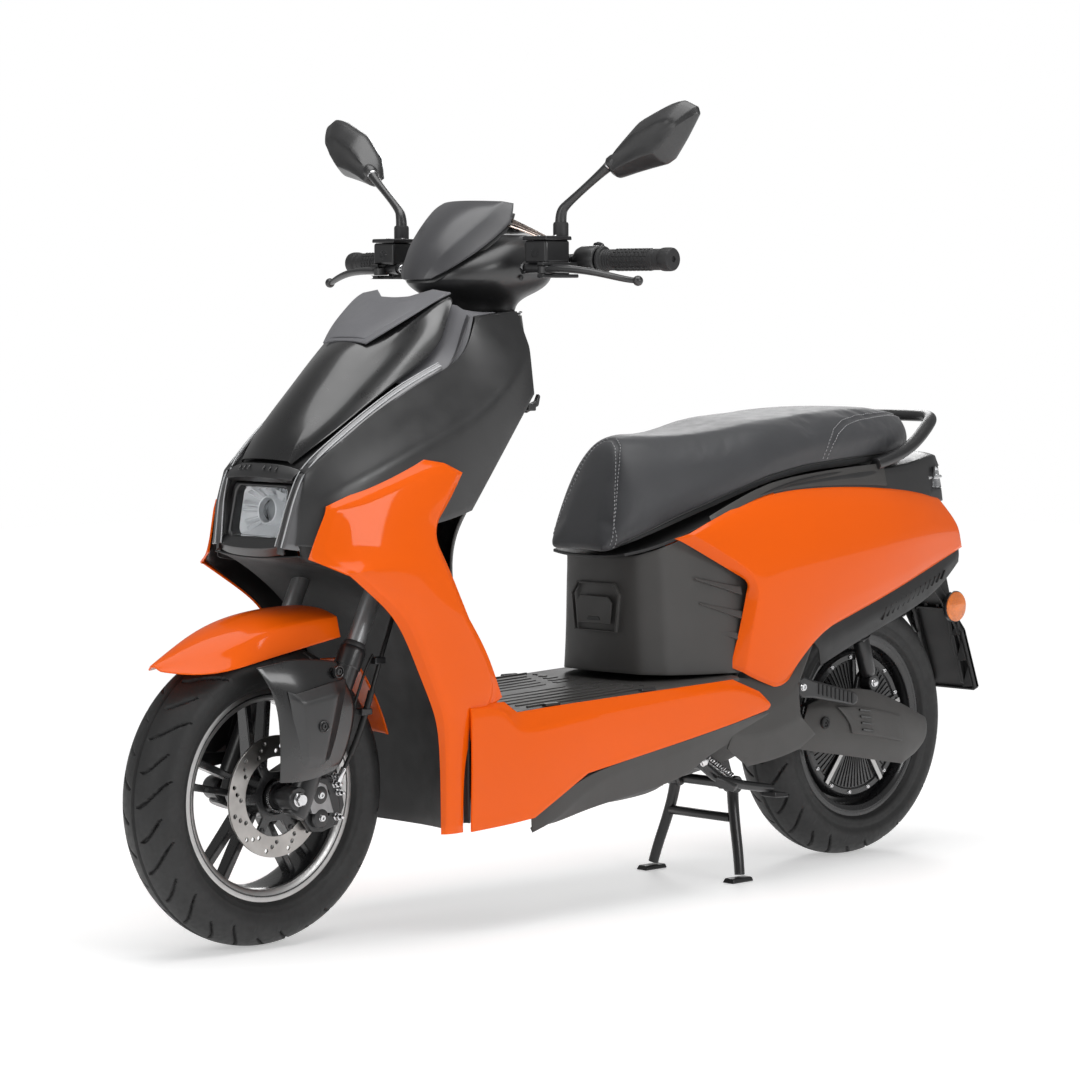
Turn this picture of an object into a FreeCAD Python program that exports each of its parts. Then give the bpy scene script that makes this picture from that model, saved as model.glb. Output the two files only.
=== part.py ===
"""Electric moped scooter, built as separate pieces in one frame.

Millimetres. +X points forwards, +Y to the rider's left, +Z up, and the ground is z = 0.
Sizes below are worked out from the middle of the wheelbase. Every piece is then placed
with origin_shift, so that the origin is under the middle of the whole machine.
"""
import FreeCAD, Part
import math
import os

import Sketcher

App = FreeCAD
V = App.Vector
doc = App.newDocument("scooter")

# ------------------------------------------------------------------ driving dimensions
CELLS = [
    ("origin_shift", 60.0, "wheelbase middle to the middle of the overall length"),
    ("wheelbase", 1382.0, "axle to axle"),
    ("tyre_radius", 238.0, "both tyres, 120/70-12"),
    ("tyre_half_width", 57.0, "section half width"),
    ("rim_radius", 166.5, "rim flange"),
    ("front_rim_half", 38.0, "front rim half width"),
    ("rear_rim_half", 44.0, "rear rim half width"),
    ("rake", 26.0, "steering axis, degrees from vertical"),
    ("fork_half_spacing", 90.0, "fork leg to the middle plane"),
    ("fork_offset", 30.0, "fork legs ahead of the steering axis"),
    ("axle_lead", 16.0, "front axle ahead of the fork legs"),
    ("stanchion_radius", 15.0, "fork inner tube"),
    ("leg_radius", 20.0, "fork outer leg"),
    ("running_gap", 0.05, "radial clearance of a running fit"),
    ("stem_radius", 13.0, "steering stem"),
    ("disc_radius", 95.0, "front brake disc"),
    ("disc_side", 50.0, "brake disc to the middle plane"),
    ("axle_radius", 8.0, "both axles"),
    ("bar_radius", 11.0, "handlebar tube"),
    ("grip_radius", 17.0, "rubber grips"),
    ("grip_inner", 236.0, "inner end of a grip to the middle plane"),
    ("grip_outer", 372.0, "outer end of a grip to the middle plane"),
    ("bar_height", 1068.0, "grip axis above the ground"),
    ("bar_x", 164.0, "grip axis at its inner end"),
    ("bar_sweep", 14.0, "how far the outer end of a grip lies back"),
    ("frame_tube", 17.0, "frame tube radius"),
    ("rail_side", 112.0, "frame rails to the middle plane"),
    ("pivot_x", 400.0, "swingarm pivot behind the middle of the wheelbase"),
    ("pivot_height", 250.0, "swingarm pivot above the ground"),
    ("arm_side", 82.0, "swingarm blade to the middle plane"),
    ("motor_radius", 134.0, "hub motor drum"),
    ("shock_side", 101.0, "rear shocks to the middle plane"),
    ("stand_pivot_x", 330.0, "centre stand pivot behind the middle of the wheelbase"),
    ("stand_pivot_height", 165.0, "centre stand pivot above the ground"),
    ("stand_side", 104.0, "centre stand legs to the middle plane"),
    ("panel", 3.0, "wall of the plastic panels"),
]
sheet = doc.addObject("Spreadsheet::Sheet", "sizes")
for row, (alias, value, note) in enumerate(CELLS, start=1):
    sheet.set(f"A{row}", alias.replace("_", " "))
    sheet.set(f"B{row}", str(value))
    sheet.setAlias(f"B{row}", alias)
    sheet.set(f"C{row}", note)
doc.recompute()


def size(alias):
    """The value of one driving dimension."""
    return float(sheet.get(alias))


SHIFT = V(size("origin_shift"), 0, 0)
WALL = size("panel")
HALF_BASE = size("wheelbase") / 2
HUB_Z = size("tyre_radius")
RAKE = math.radians(size("rake"))
UP = V(-math.sin(RAKE), 0, math.cos(RAKE))
AHEAD = V(math.cos(RAKE), 0, math.sin(RAKE))
FRONT_HUB = V(HALF_BASE, 0, HUB_Z)
REAR_HUB = V(-HALF_BASE, 0, HUB_Z)
LEG_FOOT = FRONT_HUB - AHEAD * size("axle_lead")
STEM_FOOT = LEG_FOOT - AHEAD * size("fork_offset")
PIVOT = V(-size("pivot_x"), 0, size("pivot_height"))
STAND_PIVOT = V(-size("stand_pivot_x"), 0, size("stand_pivot_height"))
SIDES = {"left": 1, "right": -1}
NODES = []


# ------------------------------------------------------------------ small tools
def keep(obj, label, place=None):
    """Give a finished piece its label and its place."""
    obj.Label = label
    base = SHIFT if place is None else SHIFT + place
    obj.Placement = App.Placement(base, obj.Placement.Rotation)
    NODES.append(obj)
    return obj


def feature(label, shape):
    """A piece whose shape is worked out here."""
    obj = doc.addObject("Part::Feature", label)
    obj.Shape = shape
    return keep(obj, label)


def side_point(p, sign):
    """A point given on the left, taken to one side."""
    return V(p[0], p[1] * sign, p[2])


def stem_point(height):
    """Point of the steering axis at a height above the ground."""
    return STEM_FOOT + UP * ((height - STEM_FOOT.z) / UP.z)


def leg_point(reach, sign):
    """Point of a fork leg's axis, a distance up the leg from the axle."""
    return LEG_FOOT + UP * reach + V(0, sign * size("fork_half_spacing"), 0)


def cylinder(p0, p1, radius):
    """Round bar between two points."""
    axis = p1 - p0
    return Part.makeCylinder(radius, axis.Length, p0, axis)


def tube(p0, p1, outer, inner):
    """Round pipe between two points."""
    return cylinder(p0, p1, outer).cut(cylinder(p0, p1, inner))


def box(low, high):
    """Block between two opposite corners."""
    low, high = V(*low), V(*high)
    return Part.makeBox(high.x - low.x, high.y - low.y, high.z - low.z, low)


def rods(points, radius):
    """Round bar through points, with ball joints at its bends."""
    shape = cylinder(points[0], points[1], radius)
    for a, b in zip(points[1:], points[2:]):
        shape = shape.fuse([Part.makeSphere(radius, a), cylinder(a, b, radius)])
    return shape.removeSplitter()


def prism(outline, y_low, y_high):
    """Side-view outline of (x, z) points, as thick as y_low to y_high."""
    points = [V(x, y_low, z) for x, z in outline]
    face = Part.Face(Part.makePolygon(points + points[:1]))
    return face.extrude(V(0, y_high - y_low, 0))


def turned_box(centre, along, across, sizes):
    """Box with its first side along one direction and its second across."""
    along.normalize()
    across.normalize()
    third = along.cross(across)
    a, b, c = (s / 2 for s in sizes)
    corners = ((-1, -1), (1, -1), (1, 1), (-1, 1))
    points = [centre + along * i * a + across * j * b for i, j in corners]
    points = [p - third * c for p in points]
    return Part.Face(Part.makePolygon(points + points[:1])).extrude(third * 2 * c)


def facets(quads):
    """Closed solid from four-cornered patches, each split into two triangles."""
    rings = []
    for quad in quads:
        corners = [p for i, p in enumerate(quad) if p.distanceToPoint(quad[i - 1]) > 1e-6]
        for i in range(1, len(corners) - 1):
            rings.append([corners[0], corners[i], corners[i + 1], corners[0]])
    solid = Part.Solid(Part.Shell([Part.Face(Part.makePolygon(ring)) for ring in rings]))
    if solid.Volume < 0:
        solid = Part.Solid(Part.Shell([Part.Face(Part.makePolygon(ring[::-1])) for ring in rings]))
    return solid


def grid_normals(grid):
    """Unit normal at each point of a grid."""
    rows, cols = len(grid), len(grid[0])
    normals = []
    for i in range(rows):
        line = []
        for j in range(cols):
            along = grid[min(i + 1, rows - 1)][j] - grid[max(i - 1, 0)][j]
            across = grid[i][min(j + 1, cols - 1)] - grid[i][max(j - 1, 0)]
            normal = along.cross(across)
            normal.normalize()
            line.append(normal)
        normals.append(line)
    return normals


def sheet_panel(rows, wall=WALL):
    """Thin panel through a grid of points, thickened to the left of its rows."""
    front = [[V(*p) for p in row] for row in rows]
    normals = grid_normals(front)
    back = [[p + n * wall for p, n in zip(fr, nr)] for fr, nr in zip(front, normals)]
    last_row, last_col = len(front) - 1, len(front[0]) - 1
    quads = []
    for i in range(last_row):
        for j in range(last_col):
            quads.append([front[i][j], front[i][j + 1], front[i + 1][j + 1], front[i + 1][j]])
            quads.append([back[i][j], back[i + 1][j], back[i + 1][j + 1], back[i][j + 1]])
    for j in range(last_col):
        quads.append([front[0][j], back[0][j], back[0][j + 1], front[0][j + 1]])
        quads.append([front[last_row][j + 1], back[last_row][j + 1],
                      back[last_row][j], front[last_row][j]])
    for i in range(last_row):
        quads.append([front[i + 1][0], back[i + 1][0], back[i][0], front[i][0]])
        quads.append([front[i][last_col], back[i][last_col],
                      back[i + 1][last_col], front[i + 1][last_col]])
    return facets(quads)


def full_width(half_rows):
    """Rows that start at the left edge and end on the middle plane, made whole."""
    return [row + [(x, -y, z) for x, y, z in reversed(row[:-1])] for row in half_rows]


def stacked(sections):
    """Solid skinned over closed sections that have the same number of points."""
    rings = [[V(*p) for p in ring] for ring in sections]
    count = len(rings[0])
    quads = []
    for low, high in zip(rings, rings[1:]):
        for j in range(count):
            k = (j + 1) % count
            quads.append([low[j], low[k], high[k], high[j]])
    for ring, order in ((rings[0], -1), (rings[-1], 1)):
        middle = V(0, 0, 0)
        for p in ring:
            middle = middle + p * (1.0 / count)
        for j in range(count):
            quads.append([middle, ring[j], ring[(j + 1) % count], middle][::order])
    return facets(quads)


def flipped(rows, sign):
    """A left panel's rows for one side, in the order that thickens inwards."""
    points = [[(x, y * sign, z) for x, y, z in row] for row in rows]
    return points if sign > 0 else [row[::-1] for row in points]


# ------------------------------------------------------------------ sketched bodies
PLANES = {"side": "XZ_Plane", "front": "YZ_Plane", "top": "XY_Plane"}


def body_of(name):
    return doc.addObject("PartDesign::Body", name)


def plane_of(body, role):
    """One of a body's own origin planes."""
    return [f for f in body.Origin.OriginFeatures if f.Role == role][0]


def sketch_on(body, name, view, outlines):
    """Sketch on one of a body's own planes, each outline a closed chain of points."""
    sketch = body.newObject("Sketcher::SketchObject", name)
    sketch.AttachmentSupport = [(plane_of(body, PLANES[view]), "")]
    sketch.MapMode = "FlatFace"
    for outline in outlines:
        first = sketch.GeometryCount
        for i, (a, b) in enumerate(outline):
            c, d = outline[(i + 1) % len(outline)]
            sketch.addGeometry(Part.LineSegment(V(a, b, 0), V(c, d, 0)), False)
        for i in range(len(outline)):
            after = first + (i + 1) % len(outline)
            sketch.addConstraint(Sketcher.Constraint("Coincident", first + i, 2, after, 1))
    return sketch


def circle_sketch(body, name, view, circles):
    """Sketch of circles (x, y, radius, alias): an alias binds the radius to the sheet."""
    sketch = body.newObject("Sketcher::SketchObject", name)
    sketch.AttachmentSupport = [(plane_of(body, PLANES[view]), "")]
    sketch.MapMode = "FlatFace"
    for x, y, radius, alias in circles:
        index = sketch.addGeometry(Part.Circle(V(x, y, 0), V(0, 0, 1), radius), False)
        number = sketch.addConstraint(Sketcher.Constraint("Radius", index, radius))
        if alias:
            sketch.setExpression(f"Constraints[{number}]", f"sizes.{alias}")
    return sketch


def bind_height(sketch, index, alias):
    """Hold one point of an outline at a driving radius."""
    value = size(alias)
    number = sketch.addConstraint(Sketcher.Constraint("DistanceY", -1, 1, index, 1, value))
    sketch.setExpression(f"Constraints[{number}]", f"sizes.{alias}")


def revolve(body, name, sketch):
    """Full turn of a profile about the axle line."""
    turn = body.newObject("PartDesign::Revolution", name)
    turn.Profile = sketch
    turn.ReferenceAxis = (sketch, ["H_Axis"])
    turn.Angle = 360
    return turn


def pad(body, name, sketch, length):
    """Pad of a sketch, half of it on each side."""
    grow = body.newObject("PartDesign::Pad", name)
    grow.Profile = sketch
    grow.Length = length
    grow.SideType = "Symmetric"
    return grow


# ------------------------------------------------------------------ wheels
def tyre(label, hub, rim_half):
    """Hollow tyre: bead inside the flange, bulging sides and a round crown."""
    half, top, bead = size("tyre_half_width"), size("tyre_radius"), size("rim_radius") - 12
    right = [(rim_half - 5.5, bead), (rim_half - 4, bead + 12), (half - 7, 178), (half, 196),
             (half - 3, 212), (half - 15, 225), (half - 33, 234.5)]
    inside = [(half - 33, 226), (half - 20, 216), (half - 10, 203), (half - 12, 184),
              (rim_half - 13, bead + 8)]
    outline = right + [(0, top)] + [(-y, z) for y, z in reversed(right)]
    outline += [(-y, z) for y, z in reversed(inside)] + inside
    body = body_of(label)
    profile = sketch_on(body, f"{label}_profile", "front", [outline])
    bind_height(profile, len(right), "tyre_radius")
    revolve(body, f"{label}_turn", profile)
    return keep(body, label, hub)


def rim_outline(half, well):
    """Rim barrel with two flanges, as half of a closed outline."""
    top = size("rim_radius")
    right = [(half - 3.5, well + 4), (half - 3.5, top - 1), (half - 1, top), (half, top - 2),
             (half, well + 1), (half - 6, well - 3)]
    return [(-y, z) for y, z in reversed(right)] + right


def front_rim():
    """Cast rim with a hub and five pairs of spokes."""
    body = body_of("front_rim")
    well = 148.0
    barrel = sketch_on(body, "rim_barrel", "front", [rim_outline(size("front_rim_half"), well)])
    revolve(body, "rim_barrel_turn", barrel)
    bore = size("axle_radius") + size("running_gap")
    hub_half = 40.0
    hub_outline = [(-hub_half, bore), (hub_half, bore), (hub_half, 30), (10, 34), (-10, 34), (-hub_half, 30)]
    hub = sketch_on(body, "rim_hub", "front", [hub_outline])
    revolve(body, "rim_hub_turn", hub)
    lean = 12.0
    outlines = []
    for sign in (-1, 1):
        outlines.append([(sign * lean - 6, 26), (sign * lean + 6, 26), (sign * 2 * lean + 7, 149.5),
                         (sign * 2 * lean - 7, 149.5)])
    spokes = sketch_on(body, "rim_spokes", "side", outlines)
    first = pad(body, "rim_spoke_pad", spokes, 26)
    ring = body.newObject("PartDesign::PolarPattern", "rim_spoke_ring")
    ring.Originals = [first]
    ring.Axis = (spokes, ["N_Axis"])
    ring.Angle = 360
    ring.Occurrences = 5
    body.Tip = ring
    return keep(body, "front_rim", FRONT_HUB)


def hub_motor():
    """Rear rim cast in one with the drum of the hub motor."""
    body = body_of("hub_motor")
    bore = size("axle_radius") + size("running_gap")
    drum, well, half = size("motor_radius"), 148.0, size("rear_rim_half")
    web = 12.0
    right = [(46, bore), (46, 40), (38, 52), (33, drum - 16), (26, drum), (web, drum + 3), (web, well - 1),
             (half - 6, well - 3), (half, well + 1), (half, size("rim_radius") - 2),
             (half - 1, size("rim_radius")), (half - 3.5, size("rim_radius") - 1), (half - 3.5, well + 4)]
    outline = right + [(-y, z) for y, z in reversed(right)]
    profile = sketch_on(body, "motor_profile", "front", [outline])
    bind_height(profile, 4, "motor_radius")
    revolve(body, "motor_turn", profile)
    return keep(body, "hub_motor", REAR_HUB)


def front_disc():
    """Drilled brake disc with its carrier."""
    body = body_of("front_disc")
    side = size("disc_side")
    edge = [(0, 0, size("disc_radius"), "disc_radius"), (0, 0, 62, None)]
    plate = circle_sketch(body, "disc_edge", "side", edge)
    pad(body, "disc_plate", plate, 4)
    drilled = [(0, 71, 3, None), (7.5, 78.5, 3, None), (15, 86, 3, None)]
    holes = circle_sketch(body, "disc_holes", "side", drilled)
    drill = body.newObject("PartDesign::Pocket", "disc_drill")
    drill.Profile = holes
    drill.Length = 20
    drill.SideType = "Symmetric"
    ring = body.newObject("PartDesign::PolarPattern", "disc_hole_ring")
    ring.Originals = [drill]
    ring.Axis = (holes, ["N_Axis"])
    ring.Angle = 360
    ring.Occurrences = 12
    spider = sketch_on(body, "disc_spider", "side", [[(-9, 36), (9, 36), (6, 64), (-6, 64)]])
    arm = pad(body, "disc_arm", spider, 5)
    arms = body.newObject("PartDesign::PolarPattern", "disc_arms")
    arms.Originals = [arm]
    arms.Axis = (spider, ["N_Axis"])
    arms.Angle = 360
    arms.Occurrences = 6
    collar = circle_sketch(body, "disc_collar", "side", [(0, 0, 40, None), (0, 0, 31, None)])
    pad(body, "disc_collar_pad", collar, 8)
    return keep(body, "front_disc", FRONT_HUB + V(0, side, 0))


# ------------------------------------------------------------------ fork and front end
def fork_crown():
    """Steering stem, lower yoke and the two fixed fork tubes."""
    yoke_reach = 452.0
    stem = cylinder(STEM_FOOT + UP * (yoke_reach - 10), stem_point(992), size("stem_radius"))
    plate = turned_box(LEG_FOOT - AHEAD * 12 + UP * yoke_reach, V(0, 1, 0), AHEAD * 1, (236, 76, 34))
    shape = stem.fuse(plate)
    for sign in SIDES.values():
        ends = (leg_point(120, sign), leg_point(yoke_reach + 18, sign))
        shape = shape.fuse(cylinder(*ends, size("stanchion_radius")))
    return feature("fork_crown", shape.removeSplitter())


def fork_legs():
    """Two hollow sliding legs with an axle clamp at the foot."""
    legs = []
    bore = size("stanchion_radius") + size("running_gap")
    for sign in SIDES.values():
        leg = cylinder(leg_point(-24, sign), leg_point(258, sign), size("leg_radius"))
        foot = LEG_FOOT + V(0, sign * size("fork_half_spacing"), 0)
        lug = cylinder(foot + AHEAD * 16 - V(0, 17, 0), foot + AHEAD * 16 + V(0, 17, 0), 19)
        leg = leg.fuse(lug).cut(cylinder(leg_point(50, sign), leg_point(260, sign), bore))
        hole = size("axle_radius") + 0.1
        legs.append(leg.cut(cylinder(FRONT_HUB + V(0, sign * 60, 0), FRONT_HUB + V(0, sign * 120, 0), hole)))
    return feature("fork_legs", Part.makeCompound(legs))


def front_axle():
    """Axle shaft with spacers and hexagon heads."""
    reach = size("fork_half_spacing") + 24
    shaft = cylinder(FRONT_HUB - V(0, reach, 0), FRONT_HUB + V(0, reach, 0), size("axle_radius"))
    for sign in SIDES.values():
        nut = [FRONT_HUB + V(15 * math.cos(a), sign * (reach - 3), 15 * math.sin(a))
               for a in (math.radians(60 * k + 30) for k in range(6))]
        shaft = shaft.fuse(Part.Face(Part.makePolygon(nut + nut[:1])).extrude(V(0, sign * 11, 0)))
        spacer_ends = (FRONT_HUB + V(0, sign * 40.5, 0), FRONT_HUB + V(0, sign * 69.5, 0))
        shaft = shaft.fuse(cylinder(*spacer_ends, 13))
    return feature("front_axle", shaft)


def front_fender():
    """Arched mudguard over the tyre, beaked in front, with a flap behind the wheel."""
    reach = size("tyre_radius") + 26
    half = [[(893, 8, 448), (893, 4, 449), (893, 0, 450)]]
    stations = [(46, 42, 4), (64, 66, 9), (86, 74, 16), (112, 68, 20), (134, 64, 6)]
    for angle, width, rise in stations:
        a = math.radians(angle)
        out = V(math.cos(a), 0, math.sin(a))
        crown = FRONT_HUB + out * (reach + rise)
        edge = FRONT_HUB + out * (reach - 18)
        half.append([(edge.x, width, edge.z), (crown.x, width * 0.72, crown.z - 3), (crown.x, 0, crown.z)])
    guard = sheet_panel(full_width(half[::-1]), WALL)
    flap_rows = []
    for angle in (134, 148, 163):
        a = math.radians(angle)
        p = FRONT_HUB + V(math.cos(a), 0, math.sin(a)) * (reach + 2)
        flap_rows.append([(p.x, 44, p.z), (p.x, 0, p.z)])
    flap = sheet_panel(full_width(flap_rows[::-1]), WALL)
    return feature("front_fender", Part.makeCompound([guard, flap]))


def fork_covers():
    """Moulded cover outside each fork leg."""
    outline = [(742, 452), (626, 452), (572, 381), (598, 318),
               (622, 276), (700, 262), (736, 268), (752, 330)]
    shapes = []
    for sign in SIDES.values():
        low, high = sorted((sign * 114, sign * 134))
        inner_low, inner_high = sorted((sign * 113, sign * 130))
        shell = prism(outline, low, high)
        middle = [(662 + (x - 662) * 0.93, 357 + (z - 357) * 0.93) for x, z in outline]
        shapes.append(shell.cut(prism(middle, inner_low, inner_high)))
    return feature("fork_covers", Part.makeCompound(shapes))


def front_caliper():
    """Two-piston caliper behind the left fork leg, over the rim of the disc."""
    side = size("disc_side")
    outline = [(590, 182), (634, 178), (646, 232), (630, 262), (592, 262), (576, 226)]
    body = prism(outline, side - 17, side + 19)
    slot = cylinder(FRONT_HUB + V(0, side - 4, 0), FRONT_HUB + V(0, side + 4, 0), size("disc_radius") + 3)
    lug = prism([(596, 200), (640, 204), (652, 240), (618, 252)], side + 19, size("fork_half_spacing") - 20.5)
    return feature("front_caliper", body.cut(slot).fuse(lug))


def smooth_tube(route, radius):
    """Round tube along straight runs joined by arcs as large as the runs allow."""
    edges = []
    start = route[0]
    for before, corner, after in zip(route, route[1:], route[2:]):
        run_in, run_out = corner - before, after - corner
        turn = run_in.getAngle(run_out)
        cut = 0.45 * min(run_in.Length, run_out.Length)
        bend = cut / math.tan(turn / 2)
        first = corner - run_in.normalize() * cut
        last = corner + run_out.normalize() * cut
        towards = (first + last) * 0.5 - corner
        middle = corner + towards.normalize() * (bend / math.cos(turn / 2) - bend)
        edges.append(Part.LineSegment(start, first).toShape())
        edges.append(Part.Arc(first, middle, last).toShape())
        print("hose bend radius", round(bend, 1))
        start = last
    edges.append(Part.LineSegment(start, route[-1]).toShape())
    path = Part.Wire(edges)
    ring = Part.Wire([Part.Circle(route[0], route[1] - route[0], radius).toShape()])
    pipe = path.makePipeShell([ring], True, True)
    print("hose length", round(path.Length, 1), "volume ratio",
          round(pipe.Volume / (math.pi * radius ** 2 * path.Length), 4))
    return pipe


HOSE = [(586, 84, 263), (569, 92, 300), (553, 100, 346), (537, 103, 396), (515, 100, 446), (490, 95, 494),
        (468, 88, 540)]


def brake_hose():
    """Front brake hose, from the caliper up behind the fork leg to its clip."""
    return feature("brake_hose", smooth_tube([V(*p) for p in HOSE], 3.5))


# ------------------------------------------------------------------ handlebar group
def grip_axis(sign):
    inner = V(size("bar_x"), sign * size("grip_inner"), size("bar_height"))
    outer = V(size("bar_x") - size("bar_sweep"), sign * size("grip_outer"), size("bar_height"))
    return inner, outer


def handlebar():
    """Bent tube on a clamp at the top of the stem."""
    left, right = grip_axis(1), grip_axis(-1)
    bend = (225, 62, 1052)
    knee = (176, 172, 1066)
    points = [left[1], left[0], V(*knee), V(*bend),
              side_point(bend, -1), side_point(knee, -1), right[0], right[1]]
    socket = cylinder(stem_point(900), stem_point(993), size("stem_radius") + 0.1)
    clamp = cylinder(stem_point(975), V(225, 0, 1052), 19).cut(socket)
    return feature("handlebar", rods(points, size("bar_radius")).fuse(clamp))


def grip(label, sign):
    """Rubber grip with a flange at its inner end and a closed bar end."""
    inner, outer = grip_axis(sign)
    along = (outer - inner).normalize()
    inner = inner + along * 2
    shape = cylinder(inner, outer + along * 10, size("grip_radius"))
    shape = shape.fuse(cylinder(inner, inner + along * 6, size("grip_radius") + 5))
    bore = cylinder(inner - along, outer + along * 0.6, size("bar_radius") + size("running_gap"))
    return feature(label, shape.cut(bore))


LEVER_PIVOT = (250, 196, 1052)


def control_housings():
    """Switch housing, brake master cylinder and lever perch on each side."""
    shapes = []
    for sign in SIDES.values():
        inner, outer = grip_axis(sign)
        along = (outer - inner).normalize()
        knob = turned_box(inner - along * 23, along, V(1, 0, 0), (40, 40, 44))
        low_y, high_y = sorted((sign * 156, sign * 206))
        tank = box((204, low_y, 1062), (256, high_y, 1104))
        perch_low, perch_high = sorted((sign * 176, sign * 210))
        perch = box((190, perch_low, 1040), (262, perch_high, 1064))
        shape = knob.fuse([tank, perch])
        pivot = V(LEVER_PIVOT[0], sign * LEVER_PIVOT[1], 0)
        slot = Part.makeCylinder(15, 12.6, pivot + V(0, 0, 1045.7), V(0, 0, 1))
        gap_low, gap_high = sorted((sign * 190, sign * 230))
        shape = shape.cut([slot, box((229, gap_low, 1045.7), (280, gap_high, 1058.3))])
        shape = shape.fuse(Part.makeCylinder(4, 24, pivot + V(0, 0, 1040), V(0, 0, 1)))
        bar = rods([V(176, sign * 172, 1066), inner, outer], size("bar_radius") + 0.1)
        bar = bar.fuse(cylinder(V(225, sign * 62, 1052), V(176, sign * 172, 1066), size("bar_radius") + 0.1))
        shape = shape.cut(bar)
        seat = Part.makeCylinder(9.4, 60, V(209, sign * 190, 1068), V(0, 0, 1))
        shape = shape.cut(seat)
        pocket = button_pocket(sign)
        shapes.append(shape.cut(pocket))
    return feature("control_housings", Part.makeCompound(shapes))


def button_pocket(sign):
    centre = V(150, sign * 212, 1078)
    return Part.makeCylinder(7.3, 40, centre, V(-0.45, 0, 0.89))


def button(label, sign):
    """Round push button standing 4 mm out of its housing."""
    centre = V(150, sign * 212, 1078)
    direction = V(-0.45, 0, 0.89).normalize()
    return feature(label, Part.makeCylinder(7, 16, centre + direction * 3.2, direction))


def lever(label, sign):
    """Brake lever: a flat blade on a pivot eye, ending in a ball."""
    pivot = V(LEVER_PIVOT[0], sign * LEVER_PIVOT[1], 1046)
    eye = Part.makeCylinder(12, 12, pivot, V(0, 0, 1))
    outline = [(0, 11), (9, 40), (4, 90), (-8, 130), (-27, 164), (-41, 166), (-24, 122), (-13, 88), (-9, 40),
               (-11, 6)]
    points = [V(pivot.x + x, pivot.y + sign * y, 1047 - 0.06 * y) for x, y in outline]
    face = Part.Face(Part.makePolygon(points + points[:1]))
    blade = face.extrude(V(0, 0, 9))
    ball = Part.makeSphere(8, V(215, sign * 366, 1040))
    hole = Part.makeCylinder(4 + size("running_gap"), 40, pivot - V(0, 0, 14), V(0, 0, 1))
    return feature(label, eye.fuse([blade, ball]).cut(hole))


STEM_FOOT_Z = 1068.5
MIRROR_BALL = (192, 283, 1217)


def mirror_stems():
    """Rubber boots and slim bent stems that carry the mirrors."""
    shapes = []
    for sign in SIDES.values():
        base = V(209, sign * 190, STEM_FOOT_Z)
        boot = Part.makeCylinder(9, 62, base, V(0, 0, 1))
        boot = boot.fuse(Part.makeCylinder(11, 24, V(209, sign * 190, 1106), V(0, 0, 1)))
        points = [V(209, sign * 190, 1125), V(206, sign * 197, 1146), side_point(MIRROR_BALL, sign)]
        shapes.append(boot.fuse([rods(points, 6), Part.makeSphere(9, side_point(MIRROR_BALL, sign))]))
    return feature("mirror_stems", Part.makeCompound(shapes))


def mirror_head(label, sign):
    """Faceted mirror head with a socket round the ball of its stem."""
    outline = [(183, 268, 1212), (172, 300, 1268), (163, 402, 1318), (160, 441, 1302), (160, 388, 1219),
               (176, 296, 1196)]
    ring = [V(x, y * sign, z) for x, y, z in outline]
    front, back = [], []
    for p in ring:
        front.append((p.x + 2, p.y, p.z))
        back.append((p.x - 16, p.y, p.z))
    middle = [(x + (170 - x) * 0.25 + 16, y + (sign * 350 - y) * 0.3, z + (1260 - z) * 0.3)
              for x, y, z in front]
    sections = [back, front, middle]
    head = stacked(sections if sign < 0 else [s[::-1] for s in sections])
    head = head.fuse(Part.makeSphere(14, side_point(MIRROR_BALL, sign)))
    socket = Part.makeSphere(9 + 0.4, side_point(MIRROR_BALL, sign))
    path = cylinder(side_point(MIRROR_BALL, sign), V(206, sign * 197, 1146), 9.5)
    return feature(label, head.cut([socket, path]))


def oval(centre_x, height, half_x, half_y, count=16):
    angles = [2 * math.pi * k / count for k in range(count)]
    return [(centre_x + half_x * math.cos(a), half_y * math.sin(a), height) for a in angles]


COVER = [
    (186, 984, 42, 40), (188, 1006, 58, 54), (208, 1019, 118, 84),
    (216, 1040, 126, 108), (205, 1080, 96, 104), (195, 1108, 64, 84),
]


def handlebar_cover():
    """Hollow moulding round the middle of the handlebar."""
    outer = stacked([oval(x, z, a, b) for x, z, a, b in COVER])
    inner = stacked([oval(x, z + (4 if z > 990 else -1) - (9 if z > 1100 else 0), a - 5, b - 5)
                     for x, z, a, b in COVER])
    shape = outer.cut(inner)
    for sign in SIDES.values():
        bar = rods([V(225, sign * 40, 1052), V(225, sign * 62, 1052), V(176, sign * 172, 1066)], 14)
        shape = shape.cut(bar)
    shape = shape.cut(cylinder(stem_point(960), V(222, 0, 1060), 24))
    return feature("handlebar_cover", shape)


FLYSCREEN = [
    [(351, 30, 1040), (354, 14, 1040), (355, 0, 1040)],
    [(322, 66, 1063), (344, 34, 1072), (348, 0, 1074)],
    [(270, 92, 1092), (312, 44, 1104), (318, 0, 1108)],
    [(226, 94, 1134), (274, 50, 1138), (282, 0, 1140)],
    [(206, 72, 1160), (238, 40, 1163), (246, 0, 1165)],
]


def flyscreen():
    """Dark headlamp-height screen in front of the handlebar cover."""
    return feature("flyscreen", sheet_panel(full_width(FLYSCREEN[::-1]), WALL))


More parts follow.
